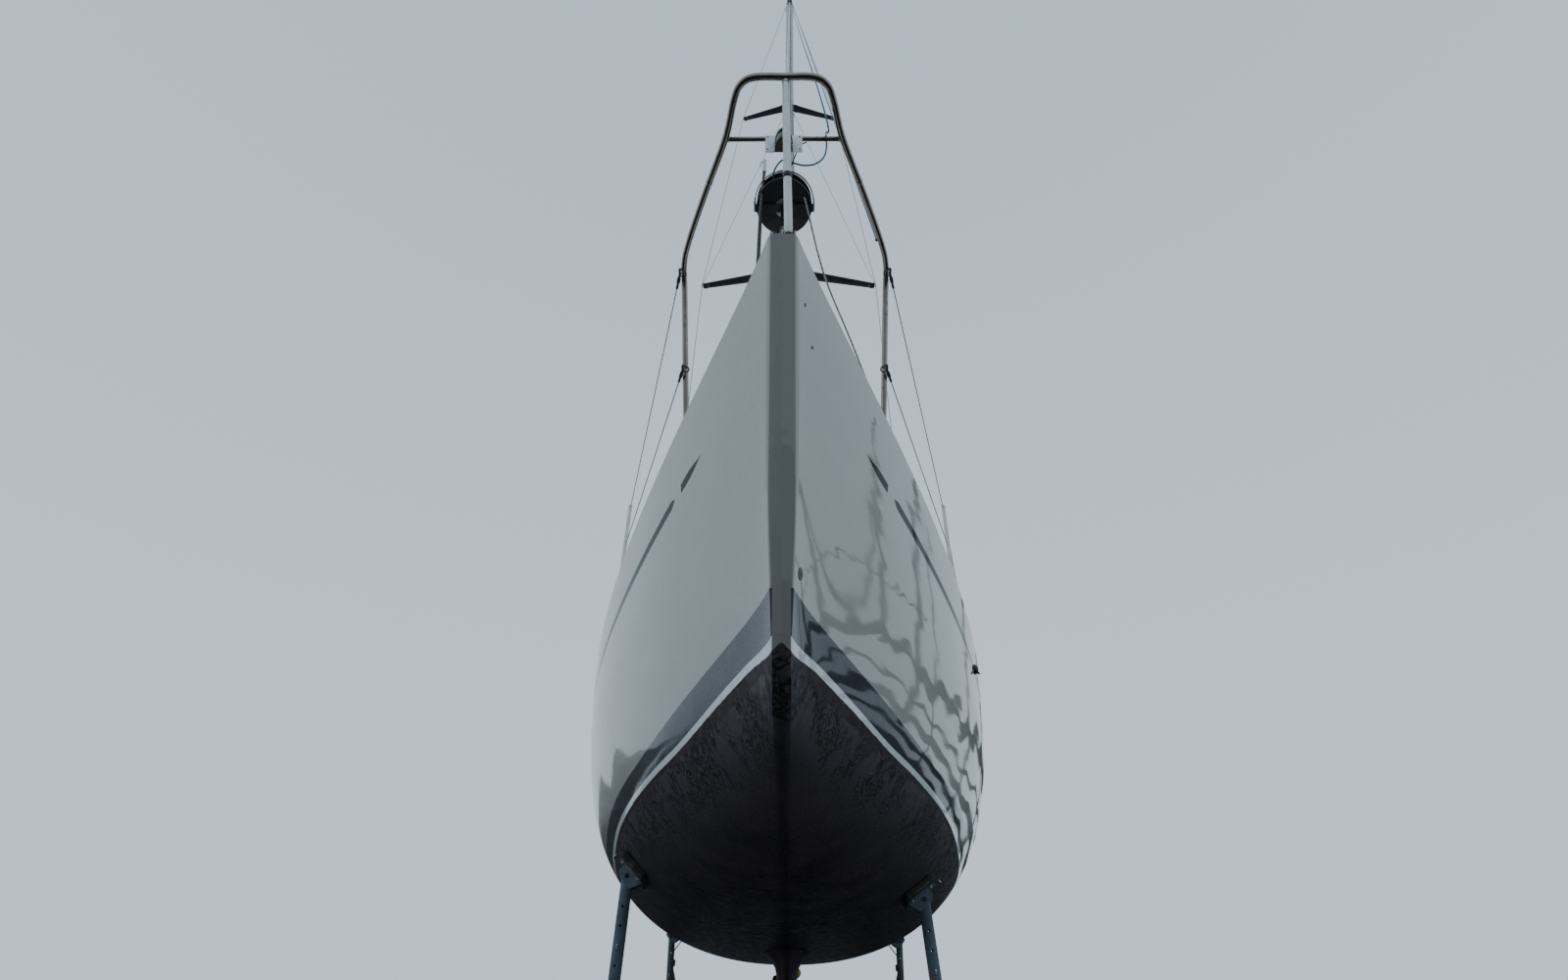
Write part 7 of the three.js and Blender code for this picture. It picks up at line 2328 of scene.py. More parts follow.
class YACHT_OT_boom(bpy.types.Operator):
    """Builds the boom with its end fittings and sheaves, the gooseneck, the vang and its bracket"""

    bl_idname = "yacht.boom"
    bl_label = "Boom and vang"

    def execute(self, context):
        pivot = lay(0, 4.281577, 4.480)
        aim = Vector((0, 1, math.sin(math.radians(2)))).normalized()
        upward = aim.cross(Vector((1, 0, 0))) * -1
        if upward.z < 0:
            upward = -upward

        def at(distance, x=0.0, up=0.0):
            return pivot + aim * distance + Vector((x, 0, 0)) + upward * up

        boom = Shape()
        rows = []
        for distance, grow in ((0.085, 0.985), (0.088, 1), (1.0, 1), (2.0, 1), (3.0, 1), (3.79, 1),
                               (3.793, 0.985)):
            row = []
            for t in turns(40, 0.5):
                x, up = 0.0448 * math.cos(t) * grow, 0.0695 * math.sin(t) * grow
                row.append(at(distance, x, up - 0.006 if abs(x) < 0.009 and up > 0 else up))
            rows.append(row)
        boom.skin(rows)
        for low, high in ((0.061, 0.11), (3.77, 3.848)):
            cap = []
            for distance, share in ((low, 0.9), (low + 0.006, 1.005), (high - 0.002, 1.005), (high, 0.96)):
                cap.append([at(distance, 0.0449 * math.cos(t) * share, 0.0699 * math.sin(t) * share)
                            for t in turns(40, 0.5)])
            boom.skin(cap, 1)
        knuckle = smooth_outline([(-0.022, -0.024), (0.075, -0.034), (0.075, 0.034), (-0.022, 0.024)], 0.02,
                                 5)
        boom.plate(knuckle, lambda u, v, w: at(u, w, v), -0.0138, 0.0138, 0.0015, 2)
        boom.turned(((0.0235, -0.008), (0.024, -0.006), (0.018, 0), (0.024, 0.006), (0.0235, 0.008)),
                    at(3.812, 0.0, 0.044), (1, 0, 0), 24, 3)
        for distance in (2.55, 3.35, 3.6):
            up = -0.0735
            outline = smooth_outline([(-0.016, -0.024), (0.016, -0.024), (0.02, 0.012), (-0.02, 0.012)],
                                     0.01)
            for x in (-0.0125, 0.0125):
                boom.plate(outline,
                           lambda u, v, w, d=distance, up=up, x=x: at(d + u, x + w, up + 0.012 + v),
                           -0.0015, 0.0015, 0.0005, 2)
            boom.rod(at(distance, -0.017, up - 0.002), at(distance, 0.017, up - 0.002), 0.004, 12, 2)
        for distance in (0.5, 0.9):
            place = at(distance)
            for side in SIDES:
                boom.rod(place + Vector((side * 0.043, 0, 0)), place + Vector((side * 0.0485, 0, 0)), 0.014,
                         18, 3)
        boom.make("boom_spar", ("spar", "black", "foil", "black"), "boom_body", "mast_alloy",
                  ["boom"], 40)
        self.gooseneck(pivot)
        self.vang(at(1.25))
        return {"FINISHED"}

    @staticmethod
    def gooseneck(pivot):
        neck = Shape()
        face = mast_at(pivot.z, -0.0935)
        plate = smooth_outline([(-0.0215, -0.0595), (0.0215, -0.0595), (0.0215, 0.0595), (-0.0215, 0.0595)],
                               0.014, 5)
        neck.plate(plate, lambda u, v, w: Vector((u, face.y + w, pivot.z + v)), -0.001, 0.0045, 0.001)
        for sign in (-1, 1):
            ear = smooth_outline([(face.y + 0.002, -0.0195), (pivot.y + 0.0155, -0.017),
                                  (pivot.y + 0.0155, 0.017), (face.y + 0.002, 0.0195)], 0.012, 5)
            neck.plate(ear, lambda u, v, w, sign=sign: Vector((v, u, pivot.z + sign * w)),
                       0.035, 0.0466, 0.0012)
        neck.rod(pivot - 0.051 * UP, pivot + 0.051 * UP, 0.0068, 18, 1)
        neck.turned(((0.011, 0), (0.0115, 0.002), (0.0115, 0.006), (0.009, 0.0075)), pivot + 0.0468 * UP,
                    (0, 0, 1), 20, 1)
        neck.make("gooseneck_toggle", ["foil", "steel"], slot="stainless",
                  replaces=["gooseneck"])

    @staticmethod
    def vang(head):
        foot = Vector((0, mast_at(3.74028).y + 0.135, 3.74028))
        head.z = min(head.z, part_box("vang")[1].z - 0.016)
        aim = (head - foot).normalized()
        length = (head - foot).length
        vang = Shape()
        vang.turned([(r, length * t) for r, t in (
            (0.011, 0.004), (0.0128, 0.012), (0.0128, 0.066), (0.02, 0.07), (0.0248, 0.076),
            (0.0248, 0.545),
            (0.021, 0.553), (0.0178, 0.556), (0.0178, 0.975), (0.014, 0.982))], foot, aim, 28)
        for end in (foot, head - aim * 0.002):
            for reach, radius, sides in ((0.028, 0.0078, 18), (0.0115, 0.0155, 20)):
                vang.rod(end - Vector((reach, 0, 0)), end + Vector((reach, 0, 0)), radius, sides, 1)
        for share in (0.1, 0.3, 0.53):
            vang.turned(((0.0249, -0.008), (0.0254, -0.006), (0.0254, 0.006), (0.0249, 0.008)),
                        foot + aim * length * share, aim, 28, 2)
        # Small purchase beside the tube
        for x in (-0.0212, 0.0212):
            vang.tube([foot + aim * 0.1 + Vector((x, 0, -0.004)),
                       head - aim * 0.12 + Vector((x * 0.9, 0, -0.006))], 0.0026, 8, 3)
        vang.make("vang_strut", ("foil", "steel", "black", "white_rope"), "boom_body",
                  "mast_alloy", ["vang"], 40)
        bracket = Shape()
        low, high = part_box("vang_bracket")
        middle = (low.z + high.z) / 2
        plate = smooth_outline([(-0.0218, -0.0495), (0.0218, -0.0495), (0.0218, 0.0495), (-0.0218, 0.0495)],
                               0.012, 5)
        bracket.plate(plate, lambda u, v, w: Vector((u, low.y + w, middle + v)), 0.0002, 0.0055, 0.001)
        for sign in (-1, 1):
            ear = smooth_outline([(low.y + 0.004, -0.0148), (high.y - 0.0006, -0.0148),
                                  (high.y - 0.0006, 0.0148), (low.y + 0.004, 0.0148)], 0.009, 4)
            bracket.plate(ear, lambda u, v, w, sign=sign: Vector((v, u, middle + sign * w)),
                          0.031, 0.0426, 0.001)
        bracket.make("vang_foot", ["foil"], slot="stainless", replaces=["vang_bracket"])


def hatch_lid(name, body, node, half, s0, s1, z):
    """A framed hatch of smoked acrylic with hinges, handles and a gasket."""
    lid = Shape()
    outer, inner = round_box(half + 0.026, s0 - 0.026, s1 + 0.026, 0.075, 8), round_box(half - 0.022,
                                                                                        s0 + 0.022,
                                                                                        s1 - 0.022, 0.05, 8)
    levels = ((outer, 0.002, 0.0), (outer, 0.0, 0.004), (outer, 0.0, 0.018), (outer, 0.006, 0.0235),
              (inner, -0.004, 0.0235), (inner, 0.0, 0.02), (inner, 0.0, 0.0))
    lid.skin([[lay(x, s, z + up) for x, s in shrink(line, inset)] for line, inset, up in levels], loop=True)
    lid.plate(shrink(inner, -0.003), lambda u, v, w: lay(u, v, z + w), 0.006, 0.0205, 0.002, 1)
    hinge = s0 - 0.006
    for x in (-half * 0.62, half * 0.62):
        lid.block(lay(x - 0.026, hinge - 0.0195, z + 0.008), lay(x + 0.026, hinge + 0.0195, z + 0.0274),
                  0.004)
        lid.turned(((0.017, 0), (0.017, 0.0012), (0.012, 0.0022), (0.002, 0.0024)),
                   lay(x, lerp(s0, s1, 0.93), z + 0.0205), sides=24, finish=2)
        lid.turned(((0.014, 0), (0.013, -0.016), (0.006, -0.018)),
                   lay(x, lerp(s0, s1, 0.93), z + 0.006), sides=18, finish=2)
    lid.make(name, ["spar", "smoke", "black"], body, "hatch_acrylic", [node])


class YACHT_OT_hatches(bpy.types.Operator):
    """Fits the hatches, the anchor locker's lid, the sliding hatch, its doors and the locker lids"""

    bl_idname = "yacht.hatches"
    bl_label = "Hatches and doors"

    def execute(self, context):
        fore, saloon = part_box("fore_hatch"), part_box("saloon_hatch")
        hatch_lid("fore_hatch_lid", "fore_hatch_body", "fore_hatch", 0.25, 2.3, 2.83, fore[0].z)
        hatch_lid("saloon_hatch_lid", "saloon_hatch_body", "saloon_hatch", 0.24, 5.38, 5.86, saloon[0].z)
        frames = Shape()
        for half, s0, s1, top in ((0.25, 2.3, 2.83, FORE_TOP), (0.24, 5.38, 5.86, SALOON_TOP)):
            outer, inner = round_box(half + 0.022, s0 - 0.022, s1 + 0.022, 0.065,
                                     6), round_box(half - 0.002, s0 + 0.002, s1 - 0.002, 0.05, 6)
            levels = ((outer, -0.012), (outer, -0.003), (inner, -0.003), (inner, -0.04), (outer, -0.04))
            frames.skin([[lay(x, s, top + up) for x, s in line] for line, up in levels], loop=True)
            gasket = round_box(half + 0.006, s0 - 0.006, s1 + 0.006, 0.055, 6)
            frames.tube([lay(x, s, top - 0.0045) for x, s in gasket], 0.004, 6, 1, loop=True)
        frames.make("hatch_frames", ["spar", "rubber"])
        self.anchor_lid()
        self.slide()
        self.doors()
        self.locker_lids()
        return {"FINISHED"}

    def anchor_lid(self):
        lid = Shape()
        rise = lambda s, x: deck_z(s, x) + 0.0006
        lid.plate(anchor_outline(0.024), lambda u, v, w: lay(u, v, rise(v, u) + w), 0, 0.0155, 0.005)
        half = lambda s: lerp(0.07, 0.16, (s - 0.6) / 0.45)
        panel(lid, 0.63, 1.03, lambda s: -half(s), half, lambda s, x: rise(s, x) + 0.0155, 0.02, 1)
        for x in (-0.1, 0.1):
            lid.block(lay(x - 0.022, 1.045, rise(1.05, x) + 0.004),
                      lay(x + 0.022, 1.07, rise(1.05, x) + 0.0178), 0.003, 2)
        lid.turned(((0.024, 0), (0.024, 0.0018), (0.02, 0.0022), (0.018, 0.0004), (0.002, 0.0004)),
                   lay(0, 0.655, rise(0.655, 0) + 0.0155), sides=24, finish=2)
        lid.make("anchor_locker_lid", ["deck", "nonslip", "steel"], "anchor_lid_body",
                 "deck_gelcoat", ["anchor_lid"])

    def slide(self):
        low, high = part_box("companion_hatch")
        lid = Shape()
        rows = []
        for s, inset, drop in ((6.58, 0.01, 0.01), (6.59, 0.002, 0.002), (6.62, 0, 0), (7.2, 0, 0),
                               (7.43, 0, 0), (7.448, 0.002, 0.003), (7.4535, 0.01, 0.01)):
            half = high.x - inset
            top = low.z + 0.0465 - drop
            corners = [lay(half, s, top - 0.024), lay(half, s, top - 0.0125),
                       lay(half * 0.7, s, top - 0.0025), lay(0, s, top)]
            rows.append(mirrored([lay(half - 0.012, s, top - 0.026), *rounded(corners, 0.012, 4)]))
        lid.skin(rows)
        panel(lid, 6.9, 7.4, lambda s: -0.24, lambda s: 0.24,
              lambda s, x: low.z + 0.0465 - 0.0025 * abs(x) / (high.x * 0.7) - 0.0017, 0.04, 1)
        lid.block(lay(-0.27, 7.436, low.z), lay(0.27, 7.4525, low.z + 0.03), 0.005)
        lid.tube(rounded([lay(x, s, z)
                          for x, s, z in ((-0.07, 7.41, low.z + 0.042), (-0.07, 7.41, low.z + 0.0458),
                                          (0.07, 7.41, low.z + 0.0458), (0.07, 7.41, low.z + 0.042))], 0.01,
                         3), 0.0018, 8, 2)
        lid.make("companion_slide", ["deck", "nonslip", "steel"], "companion_hatch_body",
                 "deck_gelcoat", ["companion_hatch"])

    def doors(self):
        """Two varnished doors with louvres, hinges and a bolt."""
        for sign, side in SIDES.items():
            low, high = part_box(f"companion_door_{side}")
            door = Shape()
            inner, outer = (low.x, high.x - 0.006) if sign > 0 else (high.x, low.x + 0.006)
            y0, y1 = low.y + BOW, high.y + BOW - 0.002

            def span(a, b, z0, z1, s0, s1, edge=0.003, finish=0):
                door.block(lay(lerp(inner, outer, a), s0, z0), lay(lerp(inner, outer, b), s1, z1), edge,
                           finish)

            for a, b in ((0, 0.17), (0.83, 1)):
                span(a, b, low.z, high.z, y0, y1)
            height = high.z - low.z
            for a, b in ((0, 0.14), (0.46, 0.54), (0.87, 1)):
                span(0.165, 0.835, low.z + height * a, low.z + height * b, y0, y1)
            span(0.16, 0.84, low.z + height * 0.12, low.z + height * 0.48, y0 + 0.007, y1 - 0.007, 0.001)
            for k in range(7):
                z = low.z + height * (0.56 + 0.043 * k)
                tilt = Matrix.Translation(lay((inner + outer) / 2, (y0 + y1) / 2,
                                              z)) @ Matrix.Rotation(-0.6, 4, "X")
                door.block((-0.104, -0.0085, -0.003), (0.104, 0.0085, 0.003), 0.0015, 0, tilt)
            for z in (low.z + 0.07, high.z - 0.07):
                span(0.86, 1.0, z - 0.018, z + 0.018, y1 - 0.003, y1 + 0.0012, 0.001, 1)
                door.rod(lay(outer, y1 - 0.002, z - 0.02), lay(outer, y1 - 0.002, z + 0.02), 0.0038, 12, 1)
            door.turned(((0.011, 0), (0.011, 0.001), (0.004, 0.0015)),
                        lay(lerp(inner, outer, 0.1), y1, low.z + height * 0.5), (0, 1, 0), 18, 1)
            door.make(f"companion_door_leaf_{side}", ["varnish", "steel"], f"door_{side}",
                      "varnished_wood", [f"companion_door_{side}"])

    def locker_lids(self):
        for sign, side in SIDES.items():
            low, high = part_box(f"locker_lid_{side}")
            lid = Shape()
            s0, s1 = low.y + BOW, high.y + BOW
            middle, half = (low.x + high.x) / 2, (high.x - low.x) / 2
            outline = [(x + middle, s) for x, s in round_box(half, s0, s1, 0.045)]
            lid.plate(outline, lambda u, v, w: lay(u, v, w), low.z, high.z - 0.002, 0.005)
            panel(lid, s0 + 0.035, s1 - 0.035, lambda s: middle - half + 0.035,
                  lambda s: middle + half - 0.035, lambda s, x: high.z - 0.0022, 0.03, 1)
            edge = high.x - 0.012 if sign > 0 else low.x + 0.012
            for s in (s0 + 0.16, s1 - 0.16):
                lid.block(lay(edge - 0.011, s - 0.03, high.z - 0.004),
                          lay(edge + 0.011, s + 0.03, high.z - 0.0002), 0.001, 2)
            catch = lay(low.x + 0.02 if sign > 0 else high.x - 0.02, (s0 + s1) / 2, high.z)
            lid.block(catch - Vector((0.009, 0.025, 0.004)), catch + Vector((0.009, 0.025, -0.0002)), 0.001,
                      2)
            lid.make(f"locker_lid_panel_{side}", ["deck", "nonslip", "steel"],
                     f"locker_lid_{side}_body", "deck_nonslip", [f"locker_lid_{side}"])


class YACHT_OT_windows(bpy.types.Operator):
    """Bonds the smoked windows into the coachroof"""

    bl_idname = "yacht.windows"
    bl_label = "Windows"

    def execute(self, context):
        for sign, side in SIDES.items():
            pane = Shape()
            outline = window_outline(0.016)
            place = lambda u, v, w: lay(sign * (roof_side(u, v) + w), u, v)
            rows = []
            for inset, w in ((0, -0.012), (0, 0.0012), (0.0015, 0.003)):
                rows.append([place(u, v, w) for u, v in shrink(outline, inset)])
            self.draped(pane, outline, place, rows)
            seal = [place(u, v, 0.0006) for u, v in window_outline(0.0175)]
            pane.tube(seal, 0.003, 6, 1, loop=True, up=(1, 0, 0))
            for k in range(9):
                s = lerp(4.55, 6.7, k / 8)
                for v in (deck_z(s, 1.0) + 0.099, min(deck_z(s, 1.0) + 0.255, roof_z(s) - 0.055) + 0.004):
                    pane.turned(((0.0055, 0), (0.005, 0.0016), (0.001, 0.0022)), place(s, v, 0.003),
                                (sign, 0, 0.5), 10, 1)
            made = pane.make(f"window_pane_{side}", ["smoke", "rubber"], slot="window_acrylic",
                             replaces=[f"window_{side}"])
            welded = bmesh.new()
            welded.from_mesh(made.data)
            bmesh.ops.remove_doubles(welded, verts=welded.verts[:], dist=1e-5)
            bmesh.ops.recalc_face_normals(welded, faces=welded.faces[:])
            welded.to_mesh(made.data)
            welded.free()
        return {"FINISHED"}

    @staticmethod
    def draped(pane, outline, place, rims):
        """Closes the pane with strips across it, so that it follows the coachroof's curve."""
        first = min(range(len(outline)), key=lambda i: outline[i][0])
        turned = outline[first:] + outline[:first]
        pane.skin(rims, capped=False)
        for w, inset in ((-0.012, 0), (0.003, 0.0015)):
            line = shrink(turned, inset)
            count = len(line)
            points = [place(u, v, w) for u, v in line]
            faces = []
            ring = [*range(count), 0]
            i, j = 0, count
            while j - i > 2:
                if line[ring[i + 1]][0] < line[ring[j - 1]][0]:
                    faces.append((ring[i], ring[i + 1], ring[j]))
                    i += 1
                else:
                    faces.append((ring[i], ring[j - 1], ring[j]))
                    j -= 1
            if ring[i] != ring[j]:
                faces.append((ring[i], ring[i + 1], ring[j]))
            pane.add(points, [f for f in faces if len(set(f)) == 3])


class YACHT_OT_helm(bpy.types.Operator):
    """Makes the steering pedestal, the wheel, the winches and the mainsheet traveller"""

    bl_idname = "yacht.helm"
    bl_label = "Helm and winches"

    def execute(self, context):
        self.pedestal()
        self.wheel()
        for sign, side in SIDES.items():
            winch = Shape()
            place = lay(sign * WINCH_X, WINCH_S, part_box(f"winch_{side}")[0].z)
            winch.turned(((0.082, 0), (0.082, 0.008), (0.074, 0.016), (0.06, 0.022), (0.056, 0.03),
                          (0.055, 0.07), (0.058, 0.085), (0.068, 0.098), (0.078, 0.104), (0.078, 0.109),
                          (0.066, 0.113)), place, sides=48)
            for turn in turns(20):
                out = Vector((math.cos(turn), math.sin(turn), 0))
                winch.tube([place + out * 0.0562 + 0.032 * UP, place + out * 0.0557 + 0.068 * UP,
                            place + out * 0.0582 + 0.084 * UP], 0.0022, 6)
            winch.turned(((0.07, 0.113), (0.072, 0.118), (0.068, 0.126), (0.05, 0.128), (0.05, 0.131),
                          (0.07, 0.133), (0.071, 0.14), (0.06, 0.146), (0.03, 0.1495), (0.016, 0.1495),
                          (0.014, 0.143), (0.001, 0.143)), place, sides=48, finish=1)
            winch.block(place + Vector((-0.012, 0.055, 0.129)), place + Vector((0.012, 0.08, 0.142)), 0.004,
                        1)
            winch.make(f"winch_drum_{side}", ["steel", "black"], slot="chrome_winch",
                       replaces=[f"winch_{side}"])
        self.traveller()
        return {"FINISHED"}

    def pedestal(self):
        foot = lay(0, 9.16, SOLE + 0.0004)
        column = Shape()
        column.turned(((0.12, 0), (0.12, 0.008), (0.108, 0.014), (0.084, 0.03), (0.078, 0.06), (0.07, 0.4),
                       (0.064, 0.78), (0.068, 0.8), (0.07, 0.9), (0.064, 0.955), (0.05, 0.968),
                       (0.002, 0.97)), foot, sides=40)
        hub = lay(0, 9.16, SOLE + 0.88)
        column.turned(((0.05, 0.05), (0.042, 0.075), (0.034, 0.085), (0.034, 0.128), (0.028, 0.136)), hub,
                      (0, 1, 0), 32, 2)
        bowl = foot + 0.968 * UP
        column.turned(((0.072, 0), (0.078, 0.008), (0.076, 0.03), (0.066, 0.042)), bowl, sides=36, finish=1)
        column.turned(((0.064, 0.034), (0.056, 0.054), (0.038, 0.068), (0.015, 0.076), (0.002, 0.078)),
                      bowl, sides=36, finish=3)
        for x in (-0.09, 0.09):
            column.block(lay(x - 0.045, 9.05, SOLE + 0.9), lay(x + 0.045, 9.09, SOLE + 0.99), 0.01, 1)
            column.turned(((0.034, 0), (0.034, 0.003), (0.03, 0.004), (0.03, 0.002), (0.002, 0.002)),
                          lay(x, 9.09, SOLE + 0.945), (0, 1, 0), 28, 3)
        arch = [lay(x, 9.07, z)
                for x, z in ((0.17, SOLE + 0.004), (0.17, SOLE + 1.07), (-0.17, SOLE + 1.07),
                             (-0.17, SOLE + 0.004))]
        column.tube(rounded(arch, 0.09, 7), 0.0135, 14, 2)
        for x in (-0.17, 0.17):
            foot_plate(column, lay(x, 9.07, SOLE + 0.0006), 0.028, 0.005, 2, 3)
        lever = lay(0.084, 9.16, SOLE + 0.84)
        column.turned(((0.02, -0.02), (0.02, 0.012), (0.012, 0.018)), lever, (1, 0, 0), 20, 2)
        column.tube([lever + Vector((0.012, 0, 0)), lever + Vector((0.018, -0.012, 0.05)),
                     lever + Vector((0.02, -0.03, 0.1))], 0.006, 10, 2)
        column.ball(lever + Vector((0.02, -0.032, 0.11)), 0.013, 1)
        column.make("steering_pedestal", ["enamel", "black", "steel", "clear"],
                    slot="white_enamel", replaces=["pedestal"])

    def wheel(self):
        centre = lay(0, 9.33, 3.31)
        wheel = Shape()
        radius = 0.46
        wheel.hoop(centre, (0, 1, 0), radius, 0.0125, 0, 14, 96)
        wheel.turned(((0.012, -0.03), (0.034, -0.029), (0.046, -0.018), (0.046, 0.006), (0.036, 0.02),
                      (0.02, 0.03), (0.002, 0.032)), centre, (0, 1, 0), 36)
        for k in range(5):
            turn = math.pi / 2 + k / 5 * 2 * math.pi
            out = Vector((math.cos(turn), 0, math.sin(turn)))
            wheel.tube([centre + out * 0.036, centre + out * 0.2 + Vector((0, 0.004, 0)),
                        centre + out * 0.454], [0.0095, 0.008, 0.0065], 12)
            wrap = [centre + radius * Vector((math.cos(turn + t), 0, math.sin(turn + t)))
                    for t in (-0.16, -0.08, 0, 0.08, 0.16)]
            wheel.tube(wrap, 0.0139, 14, 1)
        wheel.make("steering_wheel", ["steel", "dark_rope"], "wheel_body", "stainless", ["wheel"])

    def traveller(self):
        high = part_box("traveller")[1]
        beam = Shape()
        base = SLIDE + 0.0523
        profile = ((-0.02, 0), (0.02, 0), (0.02, 0.01), (0.007, 0.014), (0.007, 0.018), (0.014, 0.02),
                   (0.014, 0.026), (-0.014, 0.026), (-0.014, 0.02), (-0.007, 0.018), (-0.007, 0.014),
                   (-0.02, 0.01))
        beam.skin([[lay(x, TRAVELLER_S + u, base + w) for u, w in profile]
                   for x in [lerp(-0.632, 0.632, k / 12) for k in range(13)]])
        for x in (-0.63, 0.63):
            beam.block(lay(x - 0.0095, 6.324, base - 0.003), lay(x + 0.0095, 6.376, base + 0.034), 0.004, 1)
        for x in (-0.56, 0.56):
            z = roof_top(TRAVELLER_S, x) + 0.0005
            beam.block(lay(x - 0.03, 6.33, z), lay(x + 0.03, 6.37, base + 0.001), 0.006)
            beam.block(lay(x - 0.045, 6.318, z), lay(x + 0.045, 6.382, z + 0.006), 0.0025)
        beam.block(lay(-0.058, 6.312, base + 0.016), lay(0.058, 6.388, base + 0.046), 0.008, 1)
        for x in (-0.034, 0.034):
            beam.turned(((0.004, -0.01), (0.0155, -0.009), (0.012, 0), (0.0155, 0.009), (0.004, 0.01)),
                        lay(x, TRAVELLER_S, base + 0.0435), (1, 0, 0), 20, 1)
        beam.tube(rounded([lay(-0.048, TRAVELLER_S, base + 0.042), lay(-0.048, TRAVELLER_S, high.z - 0.006),
                           lay(0.048, TRAVELLER_S, high.z - 0.006), lay(0.048, TRAVELLER_S, base + 0.042)],
                          0.02, 4), 0.0045, 10, 2)
        for sign in (-1, 1):
            beam.tube([lay(sign * 0.058, TRAVELLER_S, base + 0.03),
                       lay(sign * 0.62, TRAVELLER_S, base + 0.03)], 0.004, 8, 3)
        beam.make("mainsheet_traveller", ["spar", "black", "steel", "white_rope"],
                  slot="mast_alloy", replaces=["traveller"])


# Half the width of the bulkhead's doorway, and the rise of the arch over it
DOORWAY, ARCH = 0.28, 0.15
# The companion steps: their number, the first one's place, and the run and rise of each
TREADS, STEP_START, STEP_RUN, STEP_RISE = 4, 6.87, 0.11, 0.24


